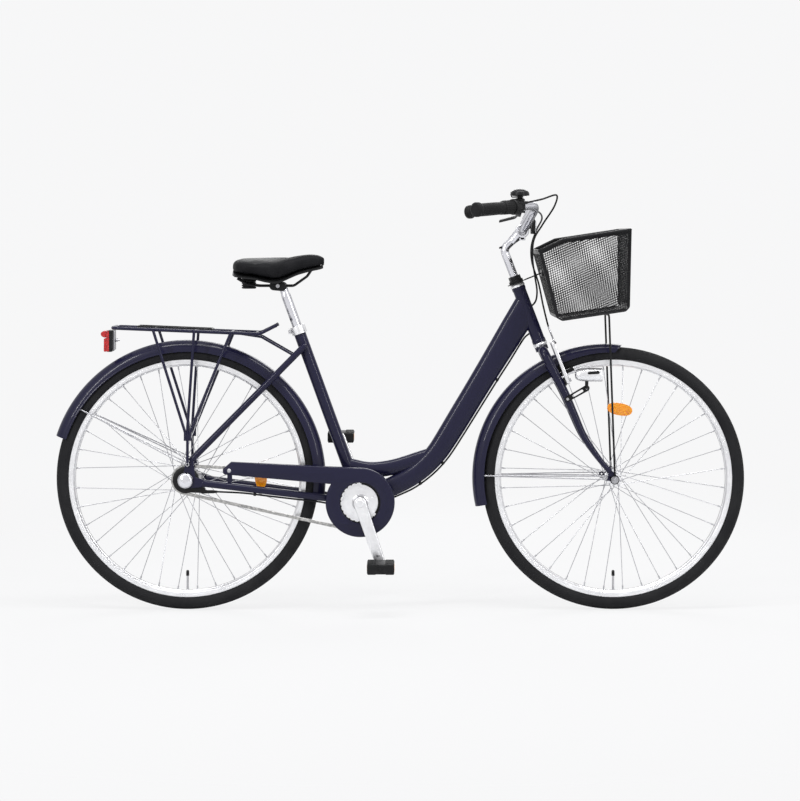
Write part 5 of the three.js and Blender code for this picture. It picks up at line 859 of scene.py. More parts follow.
DROPOUT_SHARES = [(-0.4, -0.16), (-0.24, -0.38), (0.16, -0.42), (0.9, -0.36), (1, 0.04), (0.52, 0.16),
                  (0.44, 1), (0, 1), (-0.08, 0.44), (-0.36, 0.24)]
DROPOUT_SIZE = 50
RACK_FOOT = v3(REAR.x + 6, 0, WHEEL_RADIUS + 43)
HEAD_TUBE = [(15.3, 0), (18.6, 0), (18.6, 8), (17.5, 10), (17.5, 149), (18.6, 151), (18.6, 159), (15.3, 159)]
STAY_PLUG = [(0, -8), (6, -7), (8.5, -2), (8.5, 4), (0, 4)]
UPPER_CUP = [(13.2, 0), (18.4, 0), (19.3, 2.5), (19.3, 5), (18.2, 7), (17.5, 10), (13.2, 10)]
LOWER_CUP = [(13.2, 0), (17.5, 0), (19.3, 4.6), (19.3, 8), (18.4, 9.6), (13.2, 9.6)]
LOCK_NUT = [(13, 6.2), (16.4, 6.2), (16.4, 17), (14.8, 18), (13, 18)]


def main_height(share):
    head, middle, low = MAIN_HEIGHTS
    upper = head + (middle - head) * smoothstep(share, 0, 0.5)
    return upper + (low - upper) * smoothstep(share, 0.5, 0.9)


def main_path():
    """The CAD source's path of the main tube, from beyond the head tube to the bottom bracket."""
    head = column(0, 0, HEAD_BOTTOM + MAIN_RISE)
    steep, shallow = [tan(radians(slope)) for slope in MAIN_SLOPES]
    x = (head.z - BB.z - steep * (head.x - BB.x)) / (shallow - steep)
    corner = v3(BB.x + x, 0, BB.z + shallow * x)
    beyond = head + (head - corner).normalized() * MAIN_HEIGHTS[0]
    path = rounded([beyond, corner, BB], MAIN_BEND, 6)
    return [path[0], head, mix(head, corner, 0.4), *path[1:]]


def main_under(index, y, extra=3.3):
    """A place just under the main tube, at a point of its path that need not be whole."""
    path = main_path()
    low, t = int(index), index % 1
    spans = [(b - a).length for a, b in zip(path, path[1:])]
    along = path[low + 1] - path[low] if t else path[low + 2] - path[low - 1]
    along.normalize()
    share = (sum(spans[:low]) + spans[low] * t) / sum(spans)
    down = v3(-along.z, 0, along.x) * (main_height(share) / 2 + extra)
    return at_y(mix(path[low], path[low + 1], t) + down, y)


def stay_point(side, reach):
    """A place on a chain stay's middle line, at a reach forward of the rear axle."""
    x, high = REAR.x + reach, WHEEL_RADIUS - STAY_DROP
    z = high + (BB.z - high) * (reach - STAY_START) / (BB.x - REAR.x - STAY_START)
    rear, middle, front = STAY_HALVES
    if x < WHEEL_X:
        y = rear + (middle - rear) * (reach - STAY_START) / (WHEEL_RADIUS - STAY_START)
    else:
        y = middle + (front - middle) * (x - WHEEL_X) / (BB.x - WHEEL_X)
    return v3(x, side * y, z)


def dropout(side):
    corners = [(REAR.x + x * DROPOUT_SIZE, REAR.z + z * DROPOUT_SIZE) for x, z in DROPOUT_SHARES]
    low = DROPOUT_LOWS[side]
    return plate(soften(corners, 6, True, 4), low, low + DROPOUT_THICK, [ring_at(REAR, 5.1, 24)], 0.8)


def main_section(share):
    """The main tube's cut, narrower where it meets the head tube."""
    return ellipse(17 + 4 * smoothstep(share, 0, 0.3), main_height(0.12 + 0.88 * share) / 2, MAIN_SIDES, 0.8)


def main_tube():
    """The main tube, cut off inside the head tube, and the upper member that joins it to the seat tube."""
    path = main_path()
    head, heading = path[1], (path[1] - path[2]).normalized()
    fine = [head, *[p for p in smooth_line(path) if (head - p).dot(heading) > MAIN_CLEAR]]
    verts, faces = sweep(fine, main_section, Y_AXIS)
    for i in range(MAIN_SIDES):
        beyond = (verts[i] - head).dot(AHEAD) + MAIN_OVERLAP
        verts[i] = verts[i] - heading * (beyond / heading.dot(AHEAD))
    foot = BB + SEAT_AXIS * UPPER_FOOT
    upper = smooth_line([*[foot + step for step in UPPER_WAY], v3(foot.x + 214.5, 0, BB.z + 118)], 12)
    return joined((verts, faces), sweep(upper, lambda share: ellipse(*UPPER_HALVES, 40), Y_AXIS))


def chain_stays():
    parts = []
    for side in (RIGHT, LEFT):
        start = v3(REAR.x + STAY_START, side * STAY_HALVES[0], WHEEL_RADIUS - STAY_DROP)
        end = mirrored(STAY_END, side)
        bends = [v3(x, side * y, z_at(start, end, x)) for x, y in zip((WHEEL_X, RING_X), STAY_HALVES[1:])]
        parts.append(tube(rounded([start, *bends, end], CHAIN_STAY_BEND, 10), CHAIN_STAY_RADIUS, 32))
        parts.append(rod(start + v3(-2, 0, 0.6), start + v3(10, side * -0.8, -1.5), 9.6, 32, 2.5))
        parts.append(dropout(side))
    return [*parts, rod(stay_point(RIGHT, BRIDGE_REACH), stay_point(LEFT, BRIDGE_REACH), BRIDGE_RADIUS, 28)]


def seat_stays():
    parts = []
    for side in (RIGHT, LEFT):
        top, wide, foot = [mirrored(point, side) for point in (STAY_TOP, STAY_WIDE, STAY_FOOT)]
        parts.append(tube(rounded([top, wide, foot], SEAT_STAY_BEND, 10), SEAT_STAY_RADIUS, 32))
        parts.append(lathe(STAY_PLUG, top, wide - top, 32, 1))
    bridge = mix(STAY_TOP, STAY_WIDE, BRIDGE_SHARE)
    return [*parts, rod(mirrored(bridge, RIGHT), bridge, BRIDGE_RADIUS, 28)]


def make_frame():
    piece("frame_head_tube", "frame_paint", "frame", "head_tube",
          lathe(HEAD_TUBE, column(0, 0, HEAD_BOTTOM), STEER, 64, 0.6))
    piece("frame_main_tube", "frame_paint", "frame", "main_tube", main_tube(), sharp=60)
    seat = collar(13.1, 16, SEAT_TUBE - 20, BB + SEAT_AXIS * 20, SEAT_AXIS, 56)
    shell = collar(8.5, 20.5, 70, BB + Y_AXIS * -35, Y_AXIS, 64, 1.2)
    bead = lathe([(15.2, -1.6), (16.96, 0), (15.2, 1.6)], BB + SEAT_AXIS * 20.5, SEAT_AXIS, 60, 0.6,
                 lambda turn, height: 0.12 * sin(turn * 26))
    piece("frame_seat_tube", "frame_paint", "frame", "seat_tube", seat, shell, bead)
    cups = [collar(8.6, 17, 2.2, BB + Y_AXIS * (33.5 * side), Y_AXIS * side) for side in (RIGHT, LEFT)]
    piece("bottom_bracket_cups", "steel", "frame", "seat_tube", *cups)
    piece("frame_chain_stays", "frame_paint", "frame", "chain_stays", *chain_stays())
    piece("frame_seat_stays", "frame_paint", "frame", "seat_stays", *seat_stays())


def make_headset():
    piece("headset_upper_cup", "steel", "frame", "upper_headset_cup",
          lathe(UPPER_CUP, column(0, 0, HEAD_TOP + GAP), STEER, 56, 0.5))
    piece("headset_lower_cup", "steel", "frame", "lower_headset_cup",
          lathe(LOWER_CUP, column(0, 0, HEAD_BOTTOM - 9.9), STEER, 56, 0.5))
    nut = column(0, 0, HEAD_TOP + 13.4)
    knurl = lathe([(13, 0), (19, 0), (19, 6), (13, 6)], nut, STEER, 96, 0.4,
                  lambda turn, height: 0.25 * cos(turn * 32))
    piece("headset_lock_nuts", "black_metal", "steering", "headset_locknut", knurl,
          lathe(LOCK_NUT, nut, STEER, 8, 0.3), sharp=25)


def make_seat_clamp():
    band = collar(16.3, 20.3, 22, SEAT_TOP + SEAT_AXIS * -22, SEAT_AXIS, 56, 1)
    lug = SEAT_TOP + SEAT_AXIS * -11 + v3(-22.3, 0, -4)
    ears = [block((lug.x - 4.5, lug.z - 7, side * 5 - 2.6), (lug.x + 4, lug.z + 7, side * 5 + 2.6))
            for side in (RIGHT, LEFT)]
    piece("seat_clamp_band", "steel", "frame", "seat_clamp", band, *ears)
    piece("seat_clamp_bolt", "zinc_wire", "frame", "seat_clamp", pin(lug, -11, 9, 2.6),
          pin(lug, -11.5, -7.6, 4.4, 24, 0.8), hexagon(at_y(lug, 7.6), at_y(lug, 11), 4.4))


# Fork, stem and bar

CROWN_HALF = 42
BLADE_HALF = 50.5
BLADE_RADII = (12.5, 6.5)
BLADE_SHARES = [(0.02, 0.86), (0.13, 0.77), (0.24, 0.64), (0.29, 0.5), (0.36, 0.33), (0.63, 0.175),
                (0.9, 0.062)]
RACE_TOP = HEAD_BOTTOM - 9.6 - 0.6
CROWN_UP = RACE_TOP - 12.5
FRONT_EYE = v3(FRONT.x - 26.4, 0, FRONT.z + 6)
FORK_END_LOWS, FORK_END_THICK = {RIGHT: -54, LEFT: 50}, 4
BRAKE_BOSS = (43, 290)
BOSS = [(0, 0), (8, 0), (8, 12), (6, 20), (0, 20)]
STEM_BEND = column(0, 0, HEAD_TOP + 109)
STEM_RADIUS, BAR_RADIUS = 11, 11.1
BAR_CENTRE = around(STEM_BEND, 69, 44)
BAR_SWEEP = v3(-133, 308, 54)
BAR_RISE = v3(34, 124, 68)
BAR_CLAMP = [(11.4, -19), (17.2, -19), (18, -17.5), (18, 17.5), (17.2, 19), (11.4, 19)]
BAR_SLEEVE = [(11.2, -23), (12.4, -21), (12.4, 21), (11.2, 23)]
STEM_CAP = [(0, 0), (7, 0), (7, 3), (5.5, 5), (0, 5)]


def blade_point(side, forward, up):
    y = BLADE_HALF + (CROWN_HALF - BLADE_HALF) * min(up / BLADE_SHARES[0][1], 1)
    return column(FORK_OFFSET * forward, side * y, HEAD_BOTTOM * up)


def fork_end(side):
    """One blade's fork end with its fender eye, and the boss of the brake arm."""
    low, high = FORK_END_LOWS[side], FORK_END_LOWS[side] + FORK_END_THICK
    tip = blade_point(side, *BLADE_SHARES[-1])
    yield plate(stadium(flat(FRONT), flat(tip), 12, 6.5), low, high, [ring_at(FRONT, 5.2, 24)], 0.8)
    yield plate(stadium(flat(FRONT + v3(-8, 0, 2)), flat(FRONT_EYE), 6, 7), low, high,
                [ring_at(FRONT_EYE, 2.4, 20)], 0.8)
    tip = at_y(tip, side * BLADE_HALF)
    yield rod(tip + STEER * -2, tip + STEER * 14, 7.2, 32, 3)
    yield lathe(BOSS, column(4, side * BRAKE_BOSS[0], BRAKE_BOSS[1]), AHEAD, 32, 1)


def boss_rod(side, start, end, radius, sides, soft=0.4):
    y, up = side * BRAKE_BOSS[0], BRAKE_BOSS[1]
    return rod(column(start, y, up), column(end, y, up), radius, sides, soft)


def make_fork():
    thick, thin = BLADE_RADII
    parts = []
    for side in (RIGHT, LEFT):
        line = smooth_line([blade_point(side, *shares) for shares in BLADE_SHARES], 8)
        parts.append(tube(line, lambda share: thick + (thin - thick) * share ** 1.2, 36, Y_AXIS))
    arch = [blade_point(RIGHT, *BLADE_SHARES[1]), column(0, -CROWN_HALF, CROWN_UP),
            column(0, CROWN_HALF, CROWN_UP), blade_point(LEFT, *BLADE_SHARES[1])]
    parts.append(tube(rounded(arch, 26, 10), thick, 36, AHEAD))
    parts.append(rod(column(0, 0, CROWN_UP), column(0, 0, RACE_TOP - 1), 17.5, 48, 0.8))
    piece("fork_body", "frame_paint", "steering", "fork", *parts, *fork_end(RIGHT), *fork_end(LEFT), sharp=45)
    race = lathe([(12.7, 0), (17.5, 0), (18, 1), (12.7, 1)], column(0, 0, RACE_TOP - 1.2), STEER, 48, 0.3)
    steerer = collar(11.4, 12.6, HEAD_TOP + 31 - RACE_TOP, column(0, 0, RACE_TOP), STEER, 40, 0.3)
    studs = [boss_rod(side, 20, 39.5, 4.4, 24) for side in (RIGHT, LEFT)]
    bolts = [boss_rod(side, 36.4, 41.5, 5.2, 6, 0.3) for side in (RIGHT, LEFT)]
    piece("fork_race_and_studs", "zinc_wire", "steering", "fork", race, steerer, *studs, *bolts)


def bar_end(side):
    return BAR_CENTRE + mirrored(BAR_SWEEP, side)


def bar_bend(side):
    return BAR_CENTRE + mirrored(BAR_RISE, side)


def bar_in(side):
    return (bar_bend(side) - bar_end(side)).normalized()


def bar_place(side, distance):
    return bar_end(side) + bar_in(side) * distance


def on_bar(side, distance, profile, segments=56, soft=0.5, flute=None):
    return lathe(profile, bar_place(side, distance), bar_in(side), segments, soft, flute)


def make_stem():
    along = (BAR_CENTRE - STEM_BEND).normalized()
    line = rounded([column(0, 0, HEAD_TOP - 55), STEM_BEND, BAR_CENTRE - along * 12], 22, 14)
    quill = tube(line, STEM_RADIUS, 40, Y_AXIS)
    clamp = lathe(BAR_CLAMP, BAR_CENTRE, Y_AXIS, 64, 0.8)
    throat = lathe([(0, 0), (11, 0), (15.5, 34), (0, 34)], BAR_CENTRE - along * 42, along, 48, 1)
    lug = BAR_CENTRE + v3(0, 0, -18)
    ears = [block((lug.x - 8, lug.z - 7, side * 6.4 - 5), (lug.x + 8, lug.z + 6, side * 6.4 + 5), 1.5)
            for side in (RIGHT, LEFT)]
    piece("stem_quill", "chrome", "steering", "stem", quill, clamp, throat, *ears, sharp=45)
    cap = lathe(STEM_CAP, STEM_BEND - along * 4 + STEER * 5.5, STEER, 32, 0.8)
    piece("stem_bolts", "black_metal", "steering", "stem", pin(lug, -14, 14, 3),
          pin(lug, -15, -11, 5.2, 28, 0.8), hexagon(at_y(lug, 11.4), at_y(lug, 15), 5), cap)


def make_bar():
    halves = [[bar_end(side), bar_bend(side), at_y(BAR_CENTRE, side * 46)] for side in (RIGHT, LEFT)]
    line = rounded([*halves[0], *halves[1][::-1]], 42, 14)
    piece("handlebar_tube", "chrome", "steering", "handlebar", tube(line, BAR_RADIUS, 40),
          lathe(BAR_SLEEVE, BAR_CENTRE, Y_AXIS, 56, 0.6), sharp=45)


# Grips, shifter, bell, reflector and brake lever

GRIP_FLANGE = [(0, -3.3), (15, -3.3), (19, -0.6), (19, 8), (16.6, 12)]
GRIP_RADIUS, RING_STEP, RING_DEPTH = 15.1, 4, 0.55
SHIFTER_PLACE = 104.5
HOUSING_START = 104 + 38 + 1
SHIFT_EXIT, EXIT_ANGLE = 19.8, radians(30)
SHIFTER_DRUM = [(11.7, 0), (16.6, 0), (17.4, 1.5), (18.5, 5), (18.5, 33), (17.6, 37), (17, 38), (11.7, 38)]
SHIFTER_RING = [(11.5, 0), (18.9, 0), (20.4, 2), (21, 5), (21, 17), (19, 21), (17, 22), (11.5, 22)]
BELL_PLACE = 176
BELL_RISE = 30
BELL_POST = [(0, -17), (13, -17), (13, -11), (9, -8.2), (5.8, -8.2), (5.8, 2), (0, 2)]
BELL_BASE = [(0, -3), (18, -3), (23.5, -0.5), (23.5, 3), (0, 3)]
BELL_CUP = [(0, 16), (6, 15.9), (12, 15), (17, 13), (21, 10.4), (23.6, 7), (24.6, 4), (25, 1), (25, -1.5),
            (24.4, -2), (23.8, -1), (23, 4), (18, 9.4), (9, 13.8), (0, 14.4)]
STRIKER_HUB = [(6.6, -2), (9.1, -2), (9.1, 2), (6.6, 2)]
STRIKER_KNOB = [(0, 10), (2.2, 10.4), (3, 12), (2.2, 13.6), (0, 14)]
STRIKER_ANGLE = radians(135)
STRIKER_REACH = 29.5
REFLECTOR_PLACE = v3(30, 0, 12)
LEVER_PLACE = 176
LEVER_DROP = radians(40)
LEVER_RING = [(11.5, 0), (14.6, 0), (15.5, 1.5), (15.5, 22.5), (14.6, 24), (11.5, 24)]
LEVER_PATH = [(0, 27), (34, 46), (106, 58.6)]
BARREL = [(0, 0), (5, 0), (5, 7), (3.4, 10), (0, 10)]
LEVER_TIP = [(0, -2.6), (2.2, -2), (3.4, 0), (2.2, 2), (0, 2.6)]


def make_grip(name, side, length):
    """A tapered grip with a flange at its end, rings near the flange and long ribs under the fingers."""
    profile = list(GRIP_FLANGE)
    steps = int((length - 22) / RING_STEP)
    for i in range(steps):
        swell, low = GRIP_RADIUS + 0.5 * sin(pi * i / steps), 14 + RING_STEP * i
        profile += [(swell, low), (swell, low + 2.4), (swell - RING_DEPTH, low + 2.8),
                    (swell - RING_DEPTH, low + 3.6)]
    profile += [(15.8, length - 5), (16, length - 0.6), (15, length), (11.4, length), (11.4, -0.3), (0, -0.3)]
    ribs = on_bar(side, 0, profile, 72, 0.3,
                  lambda turn, height: 0.12 * cos(turn * 18) if 12 < height < length - 6 else 0)
    piece(name + "_grip_rubber", "grip_rubber", "steering", name + "_grip", ribs)


def exit_offset():
    """From the bar's middle to where the shift cable leaves its housing."""
    ahead = bar_in(RIGHT).cross(Z_AXIS).normalized()
    return (ahead * cos(EXIT_ANGLE) + Z_AXIS * sin(EXIT_ANGLE)) * SHIFT_EXIT


def shift_start(extra=0):
    return bar_place(RIGHT, HOUSING_START + 46 + extra) + exit_offset()


def drum_flute(turn, height):
    return -0.9 * max(0, cos(turn * 20)) ** 3 if 3 < height < 35 else 0


def make_shifter():
    piece("shifter_drum", "grip_rubber", "shifter", "twist_shifter",
          on_bar(RIGHT, SHIFTER_PLACE, SHIFTER_DRUM, 144, 0.6, drum_flute), sharp=30)
    middle = bar_place(RIGHT, HOUSING_START + 8) + exit_offset() * 0.8
    barrel = shift_start(-3) - middle
    nozzle = [(0, 0), (6.5, 0), (6, barrel.length * 0.4), (4.4, barrel.length * 0.7), (3.8, barrel.length),
              (0, barrel.length)]
    piece("shifter_shell", "black_plastic", "steering", "shifter_housing",
          on_bar(RIGHT, HOUSING_START, SHIFTER_RING, 64, 1), lathe(nozzle, middle, barrel, 36, 0.6))
    window_at = bar_place(RIGHT, HOUSING_START + 11) + v3(0, 0, 19.3)
    u = bar_in(RIGHT)
    side = u.cross(Z_AXIS).normalized()
    window = plate(ellipse(7, 4.2, 32, 0.6), 0, 2, (), 0.6, 2,
                   lambda a, b, w: window_at + u * a + side * b + Z_AXIS * w)
    piece("shifter_window", "clear_lens", "steering", "shifter_housing", window)


def make_bell():
    centre = bar_place(RIGHT, BELL_PLACE) + Z_AXIS * BELL_RISE
    ring = collar(11.4, 14.6, 12, bar_place(RIGHT, BELL_PLACE - 6), bar_in(RIGHT), 48, 0.8)
    piece("bell_base", "black_plastic", "steering", "bell", ring, lathe(BELL_POST, centre, Z_AXIS, 40, 0.6),
          lathe(BELL_BASE, centre, Z_AXIS, 64, 0.5))
    piece("bell_cup", "black_metal", "steering", "bell", lathe(BELL_CUP, centre, Z_AXIS, 80, 0.8), sharp=50)
    pivot = centre + v3(0, 0, -5.5)
    heading = v3(cos(STRIKER_ANGLE), sin(STRIKER_ANGLE), 0)
    foot = pivot + heading * STRIKER_REACH
    arm = rounded([pivot + heading * 8, foot, foot + Z_AXIS * 12], 4, 8)
    piece("bell_striker_arm", "black_metal", "striker", "bell_striker",
          lathe(STRIKER_HUB, pivot, Z_AXIS, 36, 0.4), tube(arm, 1.7, 20),
          lathe(STRIKER_KNOB, foot, Z_AXIS, 28, 0.6))


def make_bar_reflector():
    centre = BAR_CENTRE + REFLECTOR_PLACE

    def face(u, v, w):
        return centre + v3(w, u, v)

    ring = collar(11.4, 14.6, 9, at_y(BAR_CENTRE, 21.5), Y_AXIS, 40, 0.6)
    arm = rod(BAR_CENTRE + v3(12, 26, 6), centre + v3(-4, 26, 0), 4, 24)
    piece("bar_reflector_housing", "black_plastic", "steering", "bar_reflector",
          block((-38, -20, -6), (38, 20, 3), 2, face), ring, arm)
    piece("bar_reflector_lens", "clear_lens", "steering", "bar_reflector",
          block((-35.5, -17.5, 2.6), (35.5, 17.5, 6), 1, face))


LEVER_ALONG = -bar_in(LEFT)
DROPPED = v3(1, 1, -tan(LEVER_DROP))
LEVER_OUT = (DROPPED - LEVER_ALONG * LEVER_ALONG.dot(DROPPED)).normalized()
LEVER_AXIS = LEVER_ALONG.cross(LEVER_OUT)


def lever_point(along, out, across=0):
    return bar_place(LEFT, LEVER_PLACE) + LEVER_ALONG * along + LEVER_OUT * out + LEVER_AXIS * across


BRAKE_CABLE_START = lever_point(-36, 21.6)


def make_lever():
    cheek = [(v, u) for u, v in stadium((27, 0), (10, -2), 6.5, 9.5)]
    cheeks = [plate(cheek, low, low + 2.9, (), 0.8, 2, lever_point) for low in (-9.3, 6.4)]
    base, start = lever_point(-8, 12), BRAKE_CABLE_START + LEVER_ALONG * 10
    barrel = lathe(BARREL, start, BRAKE_CABLE_START - base, 24, 0.5,
                   lambda turn, height: 0.3 * cos(turn * 12))
    piece("lever_bracket", "black_metal", "steering", "brake_lever_bracket",
          on_bar(LEFT, LEVER_PLACE - 12, LEVER_RING, 56, 0.8), *cheeks,
          tube([base, start], lambda share: 7.5 - 2.6 * share, 28), barrel)
    knuckle = rod(lever_point(0, 27, -5.8), lever_point(0, 27, 5.8), 6.1, 28)
    path = rounded([lever_point(*place) for place in LEVER_PATH], 34, 14)
    blade = sweep(path, lambda share: ellipse(5.7 - 0.9 * share, 2.9 - 0.9 * share, 32, 0.8), LEVER_AXIS)
    piece("brake_lever_blade", "black_metal", "lever", "brake_lever", knuckle, blade,
          lathe(LEVER_TIP, lever_point(105, 58.6), LEVER_AXIS, 28, 0.8))


# Front brake

ARM_FROM, ARM_TO = 27, 36
ARM_TOP = (36, 394)
ARM_WINDOW = ((41.6, 318), (37.6, 372))
PAD_FORWARD = 31.5
PAD_RADIUS = 311.7
PAD_HALVES = (27.8, 4.9)
PAD_INNER, PAD_OUTER = 14.6, 23.4


def make_brakes():
    """Both arms with springs, pads that lie along the rim, and the pads' studs."""
    ahead = FORK_OFFSET - PAD_FORWARD
    up = sqrt(PAD_RADIUS ** 2 - ahead ** 2)
    tilt = atan2(ahead, up)
    middle, along = column(PAD_FORWARD, 0, up), AHEAD * cos(tilt) + STEER * sin(tilt)
    tall = Y_AXIS.cross(along).normalized()
    for name, side in SIDES:
        body, node = name + "_arm", name + "_brake_arm"
        foot = (side * BRAKE_BOSS[0], BRAKE_BOSS[1])
        hole = [(foot[0] + u, foot[1] + v) for u, v in circle(4.8)]
        (low_y, low_up), (high_y, high_up) = ARM_WINDOW
        window = stadium((side * low_y, low_up), (side * high_y, high_up), 3.2, 2.2, 10)
        piece(node + "_body", "steel", body, node,
              plate(stadium(foot, (side * ARM_TOP[0], ARM_TOP[1]), 9, 6, 20), ARM_FROM, ARM_TO,
                    [hole, window], 1.6, 3, column_put))
        piece(name + "_brake_spring", "black_plastic", body, node,
              collar(9.4, 10.6, 4, column(22.4, *foot), AHEAD, 36, 0.4))
        low, high = sorted((side * PAD_INNER, side * PAD_OUTER))
        pad = block((-PAD_HALVES[0], -PAD_HALVES[1], low), (*PAD_HALVES, high), 1.2,
                    lambda u, v, w: middle + along * u + tall * v + Y_AXIS * w)
        piece(name + "_brake_pad", "grip_rubber", body, node, pad)
        piece(name + "_brake_stud", "zinc_wire", body, node, pin(middle, side * 22, side * 42, 3.4, 24),
              pin(middle, side * 24, side * 27, 6.2, 28, 0.5),
              hexagon(at_y(middle, side * 38.5), at_y(middle, side * 43.5), 5))


# Fenders

FENDER_HALF = 26.5
FENDER_DEPTH = 29
FENDER_WALL = 1.3
FENDER_BEAD = 1.7
FENDER_CUTS = 28
FENDER_WIRE = 1.7
FENDER_RADII = (370, 358)
FRONT_FENDER = v3(FRONT.x - 19.6, 0, FRONT.z + 2)


def fender_section():
    """The fender's cut: an arch with a rolled bead along each edge."""
    arcs = []
    for wall in (0, FENDER_WALL):
        turns = [pi * i / FENDER_CUTS for i in range(FENDER_CUTS + 1)]
        arcs.append([((FENDER_HALF - wall) * cos(turn), (FENDER_DEPTH - wall) * sin(turn)) for turn in turns])
    rolls = []
    for side in (RIGHT, LEFT):
        centre = side * (FENDER_HALF - FENDER_BEAD * 0.9)
        turns = [radians(a) for a in range(-20, 221, 40)]
        rolls.append([(centre + side * FENDER_BEAD * cos(turn), -FENDER_BEAD * (0.4 + sin(turn)))
                      for turn in turns])
    return arcs[0] + rolls[0] + arcs[1][::-1] + rolls[1][::-1]


def fender(centre, radius, start, end, steps, slant=0, tip_depth=1.0):
    """slant turns the side walls back at the start, in degrees; tip_depth is their share of depth there."""
    section = fender_section()
    rings = []
    for i in range(steps + 1):
        share = i / steps
        angle = start + (end - start) * share
        depth = tip_depth + (1 - tip_depth) * smoothstep(share, 0, 0.35)
        back = slant * max(0, 1 - share * 12)
        rings.append([around(centre, radius - (FENDER_DEPTH - height) * depth,
                             angle + back * (1 - max(height, 0) / FENDER_DEPTH), y) for y, height in section])
    return loft(rings)


def fender_wires(eyelet, eye_y, centre, radius, angle):
    """A wire from one eyelet over the fender to the other, a second pair, and what holds them."""
    base = radius - FENDER_DEPTH
    turns = [radians(-90 + 10 * k) for k in range(19)]
    crossing = [around(centre, base + 21.6 * cos(turn), angle, 20.9 * sin(turn)) for turn in turns]

    def run(side, spread):
        eye = eyelet + v3(0, side * (eye_y + 1.8), spread * 4.2)
        end = crossing[0] if side < 0 else crossing[-1]
        return rounded([eye, at_y(mix(eye, end, 0.1), eye.y), end], 12, 5)

    parts = [tube(run(RIGHT, 1)[:-1] + crossing + run(LEFT, 1)[-2::-1], FENDER_WIRE, 12, v3(0.7, 0, 0.7))]
    for side in (RIGHT, LEFT):
        low = eye_y if side > 0 else -eye_y - 3.6
        parts.append(tube(run(side, -1), FENDER_WIRE, 12))
        parts.append(plate(ring_at(eyelet, 7, 28), low, low + 3.6, [ring_at(eyelet, 2.6, 20)], 0.8))
        parts.append(slab(around(centre, base + 3, angle, side * 23.6), 5, 5, 2))
    return joined(*parts)


def fender_post(centre, radius, spot, gap):
    """A short spacer between a fender and the tube at a spot."""
    way = at_y(spot, 0) - centre
    out = way.normalized()
    return rod(centre + out * (radius - 2), centre + out * (way.length - gap), 5, 24)


def make_fenders():
    rear, front = FENDER_RADII
    piece("rear_fender_shell", "frame_paint", "frame", "rear_fender", fender(REAR, rear, -9, 162, 150),
          sharp=50)
    spots = (mix(STAY_TOP, STAY_WIDE, BRIDGE_SHARE), stay_point(LEFT, BRIDGE_REACH))
    piece("rear_fender_posts", "zinc_wire", "frame", "rear_fender",
          *[fender_post(REAR, rear, spot, 6.3) for spot in spots])
    piece("rear_fender_wires", "zinc_wire", "frame", "rear_fender_stays",
          fender_wires(RACK_FOOT, 68.8, REAR, rear, 147))
    piece("front_fender_shell", "frame_paint", "steering", "front_fender",
          fender(FRONT_FENDER, front, 83, 192.5, 110, 3, 0.72), sharp=50)
    piece("front_fender_post", "zinc_wire", "steering", "front_fender",
          fender_post(FRONT_FENDER, front, column(0, 0, CROWN_UP), 12.8))
    piece("front_fender_wires", "zinc_wire", "steering", "front_fender_stays",
          fender_wires(FRONT_EYE, 54.3, FRONT_FENDER, front, 179))


# Seat

SADDLE_REAR = SEAT_TOP.x - 174
SADDLE_TOP = SEAT_TOP.z + 183
SADDLE_LENGTH = 251
SADDLE_WIDTH = 205
SADDLE_DEPTH = 50
# Share of the length, then half width, top and bottom as shares of width and depth
SADDLE_SHARES = [
    (0, 0.42, -0.2, -0.82), (0.03, 0.72, -0.04, -1.0), (0.12, 0.95, 0.02, -1.08), (0.26, 1, 0, -1.16),
    (0.4, 0.94, 0, -1.32), (0.5, 0.74, 0.01, -1.36), (0.6, 0.5, 0.06, -1.16), (0.7, 0.36, 0.16, -0.94),
    (0.83, 0.28, 0.26, -0.76), (0.94, 0.24, 0.22, -0.64), (1, 0.13, 0.08, -0.54),
]
SADDLE_ARCH = 17
CLAMP_CENTRE = SEAT_TOP + SEAT_AXIS * 115 + v3(-10.7, 0, 0)
CUSHION_INSET = 4.0
CUSHION_STEPS = 44
VOXEL, SWELL_CAP = 0.005, 0.005
FILL_PRESSURE = 4.0
FILL_FRAMES = 20
HELD_BELOW = -0.35
BASE_DROP, BASE_THICK, BASE_ARCH = 0.6, 3, 15
RAIL_HALF, RAIL_RADIUS, RAIL_BEND = 22, 3.4, 16
# Share of the length and height over the clamp
RAIL_LEVELS = ((0.66, 0), (0.3, 0), (0.17, 3.5), (0.06, 20))
BLOCK_SHARE = 0.18
POST = [(0, 0), (12.7, 0), (12.7, 296), (11, 306), (11, 325), (0, 325)]


def saddle_at(share):
    """Half width, top and bottom of the saddle at a share of its length, along a smooth curve."""
    rows = SADDLE_SHARES
    i = max(next(k for k, row in enumerate(rows) if row[0] >= share), 1)
    t = (share - rows[i - 1][0]) / (rows[i][0] - rows[i - 1][0])
    values = []
    for k in (1, 2, 3):
        p = [rows[min(max(i + d, 0), len(rows) - 1)][k] for d in (-2, -1, 0, 1)]
        values.append(0.5 * (2 * p[1] + (p[2] - p[0]) * t + (2 * p[0] - 5 * p[1] + 4 * p[2] - p[3]) * t * t
                             + (3 * p[1] - p[0] - 3 * p[2] + p[3]) * t ** 3))
    return values


def saddle_spot(share, y, z):
    return v3(SADDLE_REAR + SADDLE_LENGTH * share, y, z)


